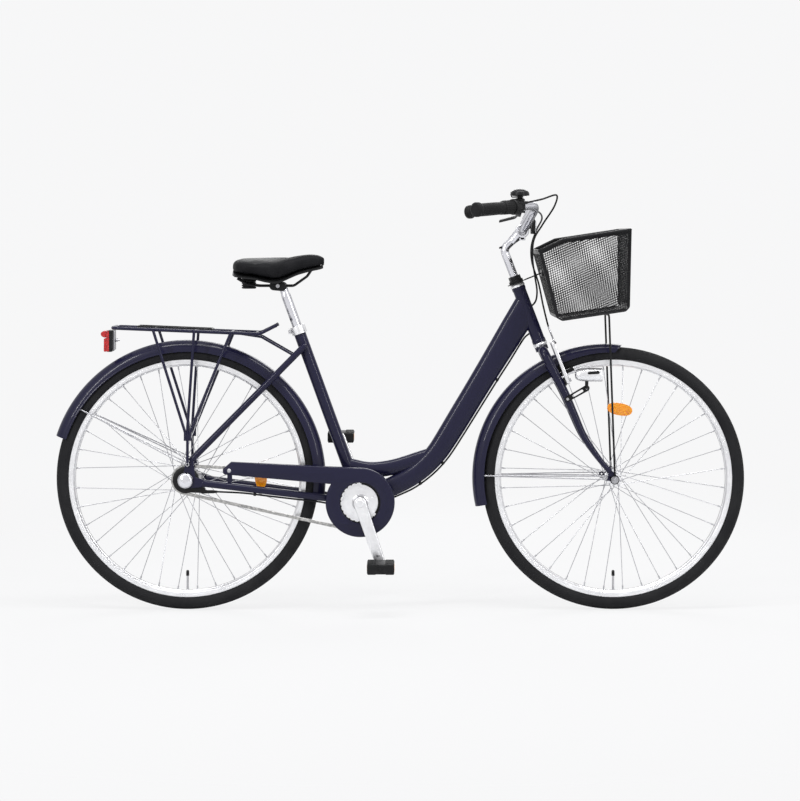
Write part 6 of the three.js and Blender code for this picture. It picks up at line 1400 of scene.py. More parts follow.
def saddle_ring(share, inset, count=48):
    width, top, bottom = saddle_at(share)
    half = max(SADDLE_WIDTH / 2 * width - inset, 2)
    top, bottom = SADDLE_DEPTH * top - inset, SADDLE_DEPTH * bottom + inset
    middle = top * 0.45 + bottom * 0.55
    arch = 0 if share in (0, 1) else SADDLE_ARCH * min(1, width + 0.3)
    x = SADDLE_REAR + inset + (SADDLE_LENGTH - 2 * inset) * share
    ring = []
    for i in range(count):
        c, s = cos(2 * pi * i / count), sin(2 * pi * i / count)
        y = half * copysign(abs(c) ** 0.7, c)
        lift = (top - middle) * s ** 0.75 if s > 0 else -(middle - bottom) * abs(s) ** 0.6
        hollow = arch * (1 - (y / half) ** 2) * abs(s) ** 0.5 if s < 0 else 0
        ring.append(v3(x, y, SADDLE_TOP + middle + lift + hollow))
    return ring


def baked(made):
    """Replaces an object's mesh by the result of its modifiers."""
    made.data = bpy.data.meshes.new_from_object(made.evaluated_get(bpy.context.evaluated_depsgraph_get()))
    made.modifiers.clear()


def fill_cushion(made):
    """Swells a closed cover with a cloth simulation, held along its underside, and keeps the result."""
    rest = [v.co.copy() for v in made.data.vertices]
    held = made.vertex_groups.new(name="held")
    held.add([i for i, v in enumerate(made.data.vertices) if v.normal.z < HELD_BELOW], 1.0, "REPLACE")
    cloth = made.modifiers.new("fill", "CLOTH")
    cloth.settings.quality = 6
    cloth.settings.use_pressure = True
    cloth.settings.uniform_pressure_force = FILL_PRESSURE
    cloth.settings.effector_weights.gravity = 0
    cloth.settings.vertex_group_mass = "held"
    cloth.point_cache.frame_start = 1
    cloth.point_cache.frame_end = FILL_FRAMES
    for step in range(1, FILL_FRAMES + 1):
        bpy.context.scene.frame_set(step)
    swollen = made.evaluated_get(bpy.context.evaluated_depsgraph_get()).data
    moved = [v.co.copy() for v in swollen.vertices]
    made.modifiers.remove(cloth)
    bpy.context.scene.frame_set(1)
    for vertex, before, after in zip(made.data.vertices, rest, moved):
        travel = after - before
        if travel.length > SWELL_CAP:
            travel = travel.normalized() * SWELL_CAP
        vertex.co = before + travel
    made.data.update()


def make_cushion():
    rings = [saddle_ring(k / CUSHION_STEPS, CUSHION_INSET) for k in range(CUSHION_STEPS + 1)]
    made = piece("saddle_cover", "seat_cover", None, "saddle_cushion", loft(rings), sharp=180)
    remesh = made.modifiers.new("even", "REMESH")
    remesh.mode = "VOXEL"
    remesh.voxel_size = VOXEL
    baked(made)
    fill_cushion(made)
    smooth = made.modifiers.new("smooth", "SMOOTH")
    smooth.factor = 0.5
    smooth.iterations = 2
    fine = made.modifiers.new("fine", "SUBSURF")
    fine.levels = fine.render_levels = 1
    baked(made)
    if not made.data.materials:
        made.data.materials.append(LOOKS["seat_cover"])
    made.data.shade_smooth()
    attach(made, "saddle")


def saddle_base():
    """A thin arched plate along the saddle's underside."""
    rings = []
    for k in range(41):
        share = 0.02 + 0.95 * k / 40
        width, _, bottom = saddle_at(share)
        half, low = SADDLE_WIDTH / 2 * width - 3, SADDLE_TOP + SADDLE_DEPTH * bottom + BASE_DROP
        places = [1 - j / 8 for j in range(17)]
        arch = BASE_ARCH * min(1, width + 0.3)
        ring = [saddle_spot(share, half * place, low + arch * (1 - place ** 2)) for place in places]
        rings.append(ring + [p + Z_AXIS * BASE_THICK for p in ring[::-1]])
    return loft(rings)


def make_saddle():
    make_cushion()
    piece("saddle_base", "black_plastic", "saddle", "saddle_rails", saddle_base())
    level = CLAMP_CENTRE.z
    rails = []
    for side in (RIGHT, LEFT):
        y = side * RAIL_HALF
        nose = [saddle_spot(0.86, y / 3, SADDLE_TOP - 28), saddle_spot(0.8, y / 2, level + 25)]
        back = [saddle_spot(share, y, level + rise) for share, rise in RAIL_LEVELS]
        rails.append(tube(rounded(nose + back, RAIL_BEND, 8), RAIL_RADIUS, 24))
    piece("saddle_rail_wires", "black_metal", "saddle", "saddle_rails", *rails)
    ribs = [(0, -3)]
    for low in range(-3, 33, 6):
        ribs += [(16.4, low), (19.6, low + 1.4), (19.6, low + 4.2), (16.4, low + 5.6)]
    block_at = saddle_spot(BLOCK_SHARE, 0, level - 5)
    piece("saddle_elastomer", "grip_rubber", "saddle", "saddle_rails",
          lathe([*ribs, (0, 33)], block_at, Z_AXIS, 48, 0.8), pin(block_at + Z_AXIS * 8.5, -24, 24, 3.5, 24))


def make_seatpost():
    c = CLAMP_CENTRE
    jaw = stadium((c.x - 11, c.z), (c.x + 11, c.z - 2), 12, 12, 14)
    jaws = [plate(jaw, side * 22 - 7, side * 22 + 7, (), 1.6, 3) for side in (RIGHT, LEFT)]
    piece("seatpost_tube", "chrome", "saddle", "seatpost",
          lathe(POST, SEAT_TOP + SEAT_AXIS * -210, SEAT_AXIS, 56, 0.8))
    piece("seatpost_clamp", "black_metal", "saddle", "seatpost", *jaws, pin(c, -22, 22, 9, 36, 1))
    piece("seatpost_bolt", "zinc_wire", "saddle", "seatpost", pin(c, -35, 33, 3.4),
          hexagon(at_y(c, -36), at_y(c, -29.4), 6), hexagon(at_y(c, 29.4), at_y(c, 35), 6))


# Carrier and tail light

DECK_REAR = v3(REAR.x - 196, 0, WHEEL_RADIUS + 404)
DECK_FRONT = v3(REAR.x + 195, 0, WHEEL_RADIUS + 388)
DECK_TIP = DECK_FRONT + v3(44, 0, 22)
DECK_HALF = 62
DECK_BARS = (-86, 23, 120, 186)
DECK_RADIUS, DECK_BEND, DECK_BAR_RADIUS = 4.5, 27, 3.6
FRONT_STAY_HALF, FRONT_STAY_RADIUS = 34.1, 3.1
LEG_TOP_HALF, LEG_HALF = 70.6, 76.5
LEG_RADIUS, LEG_BEND = 3.8, 16
CLIP_LIFT = DECK_BAR_RADIUS + 2.5 + GAP
CLIP_HALF, CLIP_RADIUS, CLIP_BEND = 34, 2.0, 12.5
COIL_TURNS, COIL_STEPS, COIL_RADIUS, COIL_WIRE = 5, 16, 3.6, 1.5
TAIL_DROP = 36.5
TAIL_BACK = DECK_REAR.x - 2.25 - 0.3 - 16
TAIL_TOP = DECK_REAR.z - 8
TAIL_DEPTH, TAIL_HALF, TAIL_HEIGHT = 16, 32, 57
LENS_HALF = 31.5
# Profiles of the lens as (reach behind the housing, drop below its top)
UPPER_LENS = [(0, 0.6), (6, 0.8), (13, 4), (15, 9), (13.4, 14.4), (7, 18.4), (0, 19)]
LOWER_LENS = [(0, 20.4), (6.2, 21), (6.6, 54), (5.4, 56.4), (0, 56.6)]


def deck_point(reach, y):
    x = REAR.x + reach
    return v3(x, y, z_at(DECK_REAR, DECK_FRONT, x))


def make_carrier_deck():
    frame_line, parts = [], []
    stay_top = mix(STAY_TOP, STAY_WIDE, 0.35)
    for side in (RIGHT, LEFT):
        tip, front = at_y(DECK_TIP, side * DECK_HALF * 0.8), at_y(DECK_FRONT, side * DECK_HALF)
        run = [tip, front, at_y(DECK_REAR, side * DECK_HALF)]
        frame_line += run if side < 0 else run[::-1]
        stay = [deck_point(120, FRONT_STAY_HALF), DECK_FRONT + v3(4.5, FRONT_STAY_HALF, -9),
                stay_top + v3(-6, 0, 4)]
        parts.append(tube(rounded([mirrored(point, side) for point in stay], 18, 8), FRONT_STAY_RADIUS))
        parts.append(lathe([(0, -2), (4.9, -2), (4.9, 2), (0, 2)], tip, tip - front, 24, 0.8))
    bars = [rod(deck_point(reach, -DECK_HALF), deck_point(reach, DECK_HALF), DECK_BAR_RADIUS)
            for reach in DECK_BARS]
    bolt_at = v3(DECK_REAR.x + 2, 0, DECK_REAR.z - TAIL_DROP + 2)
    piece("tail_light_bracket", "zinc_wire", "frame", "rack_deck",
          block((DECK_REAR.x - 2.2, bolt_at.z - 26, -16), (DECK_REAR.x + 2.2, bolt_at.z + 28, 16), 0.8),
          hexagon(bolt_at, bolt_at + X_AXIS * 6, 5.5), rod(bolt_at, bolt_at + X_AXIS * 12, 2.6))
    piece("carrier_deck", "frame_paint", "frame", "rack_deck",
          tube(rounded(frame_line, DECK_BEND, 10), DECK_RADIUS, 24), *bars, *parts)


def make_carrier_legs():
    for name, side in SIDES:
        y, node = side * LEG_HALF, name + "_rack_legs"
        foot = at_y(RACK_FOOT, y)

        def joint(reach, rise):
            return v3(REAR.x + reach, y, WHEEL_RADIUS + rise)

        tops = [deck_point(reach, side * LEG_TOP_HALF) for reach in DECK_BARS[:3]]
        ends = ([joint(0, 128), joint(0, 106)], [joint(6.2, 141), foot], [joint(12.4, 128), joint(12.4, 106)])
        legs = [tube(rounded([top, *end], LEG_BEND, 8), LEG_RADIUS) for top, end in zip(tops, ends)]
        low = min(side * 72.8, side * 76.6)
        eye = plate(ring_at(foot, 7, 28), low, low + 3.8, (), 0.8)
        weld = slab(v3(REAR.x + 6.2, y, WHEEL_RADIUS + 115), 9.6, 7, 3.6, 2)
        piece(name + "_carrier_legs", "frame_paint", "frame", node, *legs, eye, weld)
        low, high = sorted((side * 64, side * 80.2))
        piece(name + "_carrier_bolt", "zinc_wire", "frame", node, pin(foot, low, high, 3.2),
              pin(foot, side * 76.8, side * 80.2, 5.4, 24, 1.2))


def make_rack_clip():
    def clip(reach, y):
        return deck_point(reach, y) + Z_AXIS * CLIP_LIFT

    corners = [clip(-128, -CLIP_HALF), clip(68, -CLIP_HALF), clip(68, CLIP_HALF), clip(-128, CLIP_HALF)]
    coils = []
    for side, centre in ((RIGHT, corners[0]), (LEFT, corners[-1])):
        turns = []
        for k in range(COIL_TURNS * COIL_STEPS):
            turn = 2 * pi * k / COIL_STEPS
            turns.append(centre + v3(COIL_RADIUS * sin(turn), -side * k * 0.3,
                                     0.8 + COIL_RADIUS * (cos(turn) - 1) * 0.5))
        coils.append(tube(turns, COIL_WIRE, 12, -Z_AXIS))
    piece("carrier_clip_wire", "black_metal", "clip", "rack_clip",
          tube(rounded(corners, CLIP_BEND, 10), CLIP_RADIUS), *coils)


def make_tail_light():
    back, top = TAIL_BACK, TAIL_TOP
    piece("tail_light_housing", "black_plastic", "frame", "tail_light",
          block((back, top - TAIL_HEIGHT, -TAIL_HALF), (back + TAIL_DEPTH, top, TAIL_HALF), 2.5))
    upper, lower = [[(back - GAP - reach, top - drop) for reach, drop in lens]
                    for lens in (UPPER_LENS, LOWER_LENS)]
    piece("tail_light_lens_cover", "red_lens", "frame", "tail_light_lens",
          block((back - 0.4, top - 56.4, -32.9), (back + 7.5, top - 0.7, 32.9), 1.5),
          plate(soften(upper, 3, True, 5), -LENS_HALF, LENS_HALF, (), 2, 3),
          plate(soften(lower, 2, True, 4), -LENS_HALF, LENS_HALF, (), 1.4, 3))


# Drive

PITCH = 12.7
RING_TEETH, SPROCKET_TEETH = 38, 18
CRANK_LENGTH = 170
CRANK_TURN = -71
RING_Y = -46
RING_HALF = 1.2
ARM_RADIUS, EYE_RADIUS, CRANK_THICK = 17, 13.5, 13
# Where each arm and its sunken panel begin
CRANK_LOWS = {RIGHT: (-85, -85.35), LEFT: (72, 84.2)}
# The chain's outer and inner plates, rollers and pins
PLATE_PLACES, PLATE_HALF = (3.2, 2.1), 0.5
ROLLER_RADIUS, ROLLER_HALF = 3.7, 1.6
PIN_RADIUS, PIN_HALF = 1.7, 4.3
# Shares of a tooth and distances from the pitch circle
TOOTH = ((-0.34, -3.6), (-0.26, -4), (-0.16, -2.4), (-0.09, 0.9), (-0.04, 1.3),
         (0.04, 1.3), (0.09, 0.9), (0.16, -2.4), (0.26, -4), (0.34, -3.6))
CRANK_CAP = [(0, 0), (11, 0), (11, 1.4), (9.6, 2.6), (4, 3), (0, 3)]
DISH = [(0, 52.4), (20, 52.4), (24, 51.5), (44, 49.5), (46.4, 49.4), (47.2, 48.8), (47.2, 48.3), (0, 48.3)]
SPIDER = [(0, 47), (22, 47), (22, 55), (16, 71.5), (0, 71.5)]
RING_STUD = [(0, 0), (4.6, 0), (4.6, 1.6), (2.2, 2), (0, 1.4)]
GUARD_RADIUS = 92
GUARD_TOP, GUARD_LOW, GUARD_REACH = 93, 49, 365
GUARD_EYE = 54
GUARD_FACE, GUARD_DEPTH, GUARD_WALL = -60, 15, 1.6
# Insets from the outline and heights above the guard's outer face
GUARD_OUTSIDE = ((0, GUARD_DEPTH), (0, 5), (0.35, 2.6), (1.4, 0.9), (3.2, 0))
GUARD_INSIDE = ((GUARD_WALL + 3, GUARD_WALL), (GUARD_WALL + 0.4, 3.4), (GUARD_WALL, GUARD_DEPTH))
GUARD_LIP = ((1.6, 0), (0.4, 0.5), (0, 1.4), (0.3, 3.2), (1.2, 3.4), (1.6, GUARD_WALL))
STRAP_ANGLES, STRAP_Y, STRAP_REACH = (50, -80), (-37.1, -35.4), 90
GUARD_BOLT = [(0, 0), (5.6, 0), (5.6, 1), (4.2, 2.2), (1.2, 2.4), (0, 1.6)]
PEDAL_FROM, PEDAL_TO = 85.5, 181.5
PEDAL_BARREL = [(6.4, 0), (10, 0), (10, 10), (8.6, 16), (8.6, 80), (10, 86), (10, 94), (6.4, 94)]
PEDAL_CAP = [(0, 0), (6.2, 0), (6.2, 1), (0, 1.4)]
PEDAL_HALVES = (35, 12.6)
PEDAL_PLATE = 5
RIB_LOW, RIB_HIGH, RIBS = 12.6, 14.9, 7
# Half height and inset at each end of the tread blocks and of the reflectors in them
BLOCK_HALF, BLOCK_INSET = 13.4, 4
LENS_TALL, LENS_INSET = 8, 20


def pitch_radius(teeth):
    return PITCH / (2 * sin(pi / teeth))


def toothed(centre, teeth, holes=()):
    pitch = pitch_radius(teeth)
    outline = [flat(around(centre, pitch + out, (i + share) / teeth * 360)) for i in range(teeth)
               for share, out in TOOTH]
    return plate(outline, RING_Y - RING_HALF, RING_Y + RING_HALF, holes, 0.4)


def crank_eye(side):
    return around(BB, CRANK_LENGTH, CRANK_TURN + (0 if side < 0 else 180))


def make_crank(name, side):
    """One crank arm with its sunken panel, cap and boss, and the pedal's axle."""
    eye, node, out = crank_eye(side), name + "_crank", Y_AXIS * side
    low, panel_low = CRANK_LOWS[side]
    outline = stadium(flat(BB), flat(eye), ARM_RADIUS, EYE_RADIUS, 28)
    arm = plate(outline, low, low + CRANK_THICK, (), 3.2, 5)
    sunken = stadium(flat(mix(BB, eye, 0.2)), flat(mix(BB, eye, 0.84)), 7.6, 6.2, 20)
    panel = plate(sunken, panel_low, panel_low + 1.15, (), 0.35)
    piece(node + "_arm", "steel", "crank", node, arm, panel,
          lathe(CRANK_CAP, at_y(BB, side * 84.9), out, 48, 0.6),
          pin(eye, side * 84.6, side * 86.6, 10, 40, 0.6), sharp=40)
    piece(name + "_pedal_axle", "zinc_wire", "crank", node, pin(eye, side * 80, side * 176, 5.6, 28),
          hexagon(at_y(eye, side * 85.4), at_y(eye, side * 86.5), 8))


def make_chainring():
    node = "right_crank"
    piece("chainring", "chain_steel", "crank", node, toothed(BB, RING_TEETH))
    # The pale toothed ring is cut back at the upper right, where the black disc behind it shows as a painted
    # shadow of the guard.
    notched = []
    for k in range(288):
        angle = 1.25 * k
        outside_painted_shadow = 105 < (angle + 20) % 360 < 345
        reach = (52.4 if k % 12 < 8 else 50.4) if outside_painted_shadow else 47.4
        notched.append(flat(around(BB, reach, angle)))
    # A black disc behind the dish: a painted shadow, seen only where the toothed ring is cut back.
    piece("chainring_painted_shadow_disc", "black_metal", "crank", node,
          plate(ring_at(BB, 56, 72), -48.2, -47.5, (), 0.2, 1))
    studs = [lathe(RING_STUD, at_y(around(BB, 37, 18 + 72 * k), -50), -Y_AXIS, 28, 0.4) for k in range(5)]
    piece("chainring_dish", "steel", "crank", node, lathe(DISH, BB, -Y_AXIS, 96, 0.8),
          plate(notched, -49.2, -48.4, (), 0.2, 1), lathe(SPIDER, BB, -Y_AXIS, 56, 1), *studs)
    piece("crank_spindle", "zinc_wire", "crank", node, pin(BB, -47, 71.6, 7.8, 32))
    piece("sprocket_teeth", "chain_steel", "sprocket", "rear_sprocket",
          toothed(REAR, SPROCKET_TEETH, [ring_at(REAR, 9, 40)]))


def chain_pins():
    """Link pins at even steps round both toothed wheels."""
    outline = stadium(flat(REAR), flat(BB), pitch_radius(SPROCKET_TEETH), pitch_radius(RING_TEETH), 160)
    closed = outline + outline[:1]
    spans = [hypot(b[0] - a[0], b[1] - a[1]) for a, b in zip(closed, closed[1:])]
    total = sum(spans)
    count = 2 * round(total / PITCH / 2)
    pins, done, i = [], 0.0, 0
    for k in range(count):
        goal = total * k / count
        while done + spans[i] < goal:
            done += spans[i]
            i += 1
        t = (goal - done) / spans[i]
        a, b = closed[i], closed[i + 1]
        pins.append((a[0] + (b[0] - a[0]) * t, a[1] + (b[1] - a[1]) * t))
    return pins


def make_chain():
    pins = chain_pins()
    parts = []
    for i, (a, b) in enumerate(zip(pins, pins[1:] + pins[:1])):
        link, centre = stadium(a, b, 3.9, 3.8, 7), v3(a[0], RING_Y, a[1])
        for side in (RIGHT, LEFT):
            y = RING_Y + side * PLATE_PLACES[i % 2]
            parts.append(plate(link, y - PLATE_HALF, y + PLATE_HALF, (), 0.25, 1))
        parts.append(pin(centre, RING_Y - ROLLER_HALF, RING_Y + ROLLER_HALF, ROLLER_RADIUS, 12, 0))
        parts.append(pin(centre, RING_Y - PIN_HALF, RING_Y + PIN_HALF, PIN_RADIUS, 10, 0.3))
    piece("chain_links", "chain_steel", "frame", "chain", *parts)


def guard_outline():
    """A disc round the bottom bracket with an arm that reaches back to the rear axle."""
    left = BB.x - GUARD_REACH
    start = 180 - degrees(asin(GUARD_LOW / GUARD_RADIUS))
    points = [flat(around(BB, GUARD_RADIUS, start + (450 - start) * i / 72)) for i in range(73)]
    arm = [(left + 22, BB.z + GUARD_TOP + 15), (left, BB.z + GUARD_TOP - 4), (left, BB.z + GUARD_TOP - 14.5),
           (left + 5, BB.z + GUARD_TOP - 18.5)]
    return turned_left(points + soften(arm, 2, False, 5))


def guard_levels(outline, levels):
    return [[side_put(u, v, GUARD_FACE + w) for u, v in offset(outline, inset)] for inset, w in levels]


def make_guard():
    outer, hole = guard_outline(), turned_left(ring_at(BB, GUARD_EYE, 96), False)
    walls = loft(guard_levels(outer, GUARD_INSIDE + GUARD_OUTSIDE), caps=False)
    caps = [cap_between([offset(outer, inset), offset(hole, GUARD_WALL)], side_put, GUARD_FACE + w)
            for inset, w in (GUARD_OUTSIDE[-1], GUARD_INSIDE[0])]
    piece("guard_shell", "frame_paint", "frame", "chain_guard", walls,
          loft(guard_levels(hole, GUARD_LIP), caps=False), *caps, sharp=50)
    straps = []
    for angle in STRAP_ANGLES:
        strap = stadium(flat(BB), flat(around(BB, STRAP_REACH, angle)), 20.5, 4, 20)
        straps.append(plate(strap, *STRAP_Y, [ring_at(BB, 10)]))
        straps.append(pin(around(BB, 88, angle), -36, -58, 2.2, 16))
    stay = stay_point(RIGHT, 120)
    straps.append(block((stay.x - 10, stay.z + 9.8, -55.4), (stay.x + 3, BB.z + 81, -52.6), 0.9))
    piece("guard_brackets", "frame_paint", "frame", "chain_guard", *straps)
    piece("guard_bolt", "zinc_wire", "frame", "chain_guard",
          lathe(GUARD_BOLT, v3(stay.x - 5, GUARD_FACE, BB.z + 85), -Y_AXIS, 28, 0.4))


def tread_ribs(eye, low, high, near, far):
    """The ribs above and below one tread block."""
    for k in range(RIBS):
        w = low + 9 + k * (high - low - 24) / (RIBS - 1)
        for up in (-1, 1):
            bottom, top = sorted((eye.z + up * RIB_LOW, eye.z + up * RIB_HIGH))
            yield block((near + 1.6, bottom, w), (far - 1.6, top, w + 6), 0.8)


def make_pedal(name, side):
    eye, body, node = crank_eye(side), "pedal_" + name, name + "_pedal"
    low, high = sorted((side * PEDAL_FROM, side * PEDAL_TO))
    half_x, half_z = PEDAL_HALVES
    frame_outline = [(eye.x + a * half_x, eye.z + b * half_z)
                     for a, b in ((-1, -1), (1, -1), (1, 1), (-1, 1))]
    plates = [plate(soften(frame_outline, 6, True, 5), w, w + PEDAL_PLATE, [ring_at(eye, 6.4, 28)], 1)
              for w in (low + 0.2, high - 5.2)]
    cap = lathe(PEDAL_CAP, at_y(eye, high - 1.4 if side > 0 else low + 1.4), Y_AXIS * side, 28, 0.4)
    piece(node + "_core", "black_plastic", body, node,
          lathe(PEDAL_BARREL, at_y(eye, low + 1), Y_AXIS, 36, 0.8), cap, *plates)
    pads = [block((eye.x - 13, z, low + 5), (eye.x + 13, z + 3.4, high - 5), 1)
            for z in (eye.z - 13, eye.z + 9.6)]
    lenses = []
    for out in (-1, 1):
        near, far = sorted((eye.x + out * 11.5, eye.x + out * 35.8))
        pads.append(block((near, eye.z - BLOCK_HALF, low + BLOCK_INSET),
                          (far, eye.z + BLOCK_HALF, high - BLOCK_INSET), 2.4))
        pads += tread_ribs(eye, low, high, near, far)
        near, far = sorted((eye.x + out * 34.6, eye.x + out * 36.2))
        lenses.append(block((near, eye.z - LENS_TALL, low + LENS_INSET),
                            (far, eye.z + LENS_TALL, high - LENS_INSET), 0.7))
    piece(node + "_rubber", "grip_rubber", body, node, *pads)
    piece(node + "_reflectors", "orange_reflector", body, node, *lenses)


# Cables

# The hanging loops are shares of their rise: forward, left and above the head tube's top
SHIFT_RISE = 192.5
SHIFT_LEAD = (0.187, 0.083, 0.042)
SHIFT_LOOP = [(0.92, -0.582, 1), (0.852, -0.457, 0.881), (0.614, -0.291, 0.695), (0.432, -0.208, 0.541),
              (0.325, -0.125, 0.304), (0.265, -0.083, 0.049), (0.22, -0.021, -0.156), (0.149, 0.073, -0.284)]
BRAKE_RISE = 146.5
BRAKE_LEAD = (0.177, -0.232, -0.014)
BRAKE_LOOP = [(0.883, 0.532, 1), (0.708, 0.341, 0.848), (0.505, 0.232, 0.604), (0.408, 0.164, 0.334),
              (0.376, 0.123, -0.092), (0.311, 0.15, -0.491)]
BRAKE_END = [(1, 1), (1, 0.55), (0.762, 0.075), (0.43, 0)]
# The shift cable's way: beside the head tube, under the main tube, round the bottom bracket shell
# and at reaches from the rear axle on the chain stay
HEAD_PLACES = [(8, 24.5, 502), (0, 25.5, 472), (-12, 23.5, 444)]
UNDER_INDEXES = (1.7, 2, 3, 4, 5, 6, 7, 8)
UNDER_Y = -8
SHELL_REACH = 23.5
SHELL_SHARES = [(0.75, -0.4, -0.8), (-0.16, -0.56, -1.04)]
STAY_REACHES = [359.9, 289.9, 214.9, 150.1]
CABLE_RADIUS = 2.4
STAY_HANG = v3(0, 0, -13.7)
BOOT_FROM, BOOT_TO = REAR + v3(84, -57, -31), REAR + v3(42, -57, -31)
CABLE_END = REAR + v3(28, -57, -28)
LOOP_END = column(*HEAD_PLACES[0])
NOODLE_POINTS, NOODLE_RADIUS = 32, 2.2
BRAKE_WIRE_RADIUS = 0.9
WIRE_PLACE = (39, 394)


def hanging(shares, rise):
    return [column(rise * forward, rise * left, HEAD_TOP + rise * up) for forward, left, up in shares]


def make_shift_cable():
    points = [*[column(*place) for place in HEAD_PLACES], main_under(1.35, 6),
              *[main_under(index, UNDER_Y) for index in UNDER_INDEXES],
              *[BB + Vector(shares) * SHELL_REACH for shares in SHELL_SHARES],
              *[stay_point(RIGHT, reach) + STAY_HANG for reach in STAY_REACHES], BOOT_FROM, CABLE_END]
    piece("shift_cable_housing", "grip_rubber", "frame", "shift_cable",
          tube(smooth_line(points, 8), CABLE_RADIUS, 16))
    axis = BOOT_TO - BOOT_FROM
    boot = [(0, 0), (3, 0), (4.4, axis.length * 0.25), (4.4, axis.length * 0.55), (5.4, axis.length),
            (0, axis.length)]
    clips = [rod(main_under(index, UNDER_Y, -1.5), main_under(index, UNDER_Y, 6.2), 4.2, 24, 1)
             for index in (2, 4.5, 7)]
    clips.append(slab(stay_point(RIGHT, 183) + STAY_HANG + v3(0, 0, 0.5), 4, 4.5, 4, 1.4))
    piece("cable_clips_and_boot", "black_plastic", "frame", "shift_cable",
          lathe(boot, BOOT_FROM, axis, 24, 0.6), *clips)
    loop = [shift_start(), shift_start() + Vector(SHIFT_LEAD) * SHIFT_RISE, *hanging(SHIFT_LOOP, SHIFT_RISE),
            LOOP_END + STEER * 2.4]
    made = piece("shift_cable_bend", "grip_rubber", None, "shift_cable_loop",
                 tube(smooth_line(loop, 10), CABLE_RADIUS, 16))
    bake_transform(made)


def make_brake_cable():
    forward, up = WIRE_PLACE
    start = BRAKE_CABLE_START - LEVER_ALONG * 1.2
    points = [start, start + Vector(BRAKE_LEAD) * BRAKE_RISE, *hanging(BRAKE_LOOP, BRAKE_RISE),
              *[column(forward, 42 * across, up + 40 * rise) for across, rise in BRAKE_END]]
    line = smooth_line(points, 10)
    piece("brake_cable_housing", "grip_rubber", "steering", "brake_cable",
          tube(line[:-NOODLE_POINTS + 1], CABLE_RADIUS, 16))
    piece("brake_noodle", "chrome", "steering", "brake_cable", tube(line[-NOODLE_POINTS:], NOODLE_RADIUS),
          rod(column(forward, 22, up + 0.4), column(forward, 15, up), 3.4, 24))
    wire = tube([column(forward, 19, up), column(forward, -36, up)], BRAKE_WIRE_RADIUS, 12)
    piece("brake_wire", "zinc_wire", "steering", "brake_cable", wire)
    boot = tube([column(forward, 14, up), column(forward, -14, up)],
                lambda share: 2.6 + 1.1 * abs(sin(share * pi * 7)))
    piece("brake_wire_boot", "grip_rubber", "steering", "brake_cable", boot)


# Basket and headlamp

BASKET = {"rear_top": (364, 155, 960), "kink": (424, 155, 989), "front_top": (603, 155, 1016),
          "rear_low": (414, 125, 776), "front_low": (601, 125, 804)}
# The lower corners are cut off: the corner, towards which other one, and how far from it
CORNER_CUTS = (("rear_low", "rear_top", 10), ("rear_low", "front_low", 12), ("front_low", "rear_low", 9),
               ("front_low", "front_top", 9))
STRAND_STEP, FRONT_STEP = 6.0, 9
STRAND_HALF = 0.75
STRAND_THICK = 0.45
STRAND_ANGLES = (radians(52), radians(128))
BAND_THICK = 1.1
TOP_BAND, LOW_BAND = 9, 7
TOP_LEVEL = 900
BOX_FACES = [(3, 2, 1, 0), (4, 5, 6, 7), (0, 1, 5, 4), (1, 2, 6, 5), (2, 3, 7, 6), (3, 0, 4, 7)]
TOP_WIRE, SIDE_WIRE, FLOOR_WIRE, WIRE_BEND = 3.9, 2.2, 1.6, 12
STAY_HALF, STAY_WIRE, STAY_BEND = 62, 2.7, 14
LAMP_BACK = v3(FRONT.x - 107, -66, WHEEL_RADIUS + 280)
LAMP_SHELL = [(0, 0), (6, 0.2), (10.5, 2.5), (13.6, 6.5), (15.6, 12), (16.9, 20), (17.7, 32), (18, 44),
              (18, 66), (17.4, 70), (0, 70)]
LAMP_BEZEL = [(14.4, 68.6), (17.9, 68.6), (17.9, 71.4), (16.9, 72.6), (14.4, 72.6)]
LAMP_GLASS = [(0, 74), (8, 73.8), (13, 72.8), (16, 71.4), (16, 70.3), (0, 70.3)]
LAMP_CLAMP = (0.254, 0.6)


def basket_corner(which, side):
    return mirrored(Vector(BASKET[which]), side)


def clipped(polygon, origin, direction):
    """Where a line crosses a convex outline: the two ends, or nothing."""
    hits = []
    for a, b in zip(polygon, polygon[1:] + polygon[:1]):
        edge, gap = b - a, a - origin
        cross = direction.x * edge.y - direction.y * edge.x
        if abs(cross) > 1e-9 and -1e-6 <= (gap.x * direction.y - gap.y * direction.x) / cross <= 1 + 1e-6:
            hits.append((gap.x * edge.y - gap.y * edge.x) / cross)
    if len(hits) > 1 and max(hits) - min(hits) >= 3:
        return origin + direction * min(hits), origin + direction * max(hits)
    return None


def mesh_wall(corners, step=STRAND_STEP):
    """Flat strands that cross each other over one wall of the basket."""
    a = corners[0]
    u = (corners[1] - a).normalized()
    normal = u.cross(corners[-1] - a).normalized()
    v = normal.cross(u)
    outline = [Vector(((p - a).dot(u), (p - a).dot(v))) for p in corners]
    centre = sum(outline, Vector((0, 0))) / len(outline)
    count = ceil(max((p - centre).length for p in outline) / step)
    parts = []
    for heading, level in zip(STRAND_ANGLES, (STRAND_THICK, -STRAND_THICK)):
        along = Vector((cos(heading), sin(heading)))
        out = Vector((-along.y, along.x))
        for k in range(-count, count + 1):
            ends = clipped(outline, centre + out * (k * step), along)
            if ends:
                spots = [end + out * (s * STRAND_HALF)
                         for end, s in zip((*ends, *ends[::-1]), (-1, -1, 1, 1))]
                verts = [a + u * p.x + v * p.y + normal * (level + w) for w in (-STRAND_THICK, STRAND_THICK)
                         for p in spots]
                parts.append((verts, BOX_FACES))
    return joined(*parts)


def band(a, b, inward, width):
    """A flat band along an edge of the basket, that lies on its wall."""
    along = (b - a).normalized()
    normal = along.cross(inward).normalized()
    across = (inward - along * inward.dot(along)).normalized() * width
    return [p + normal * w for w in (-BAND_THICK, BAND_THICK)
            for p in (a, b, b + across, a + across)], BOX_FACES


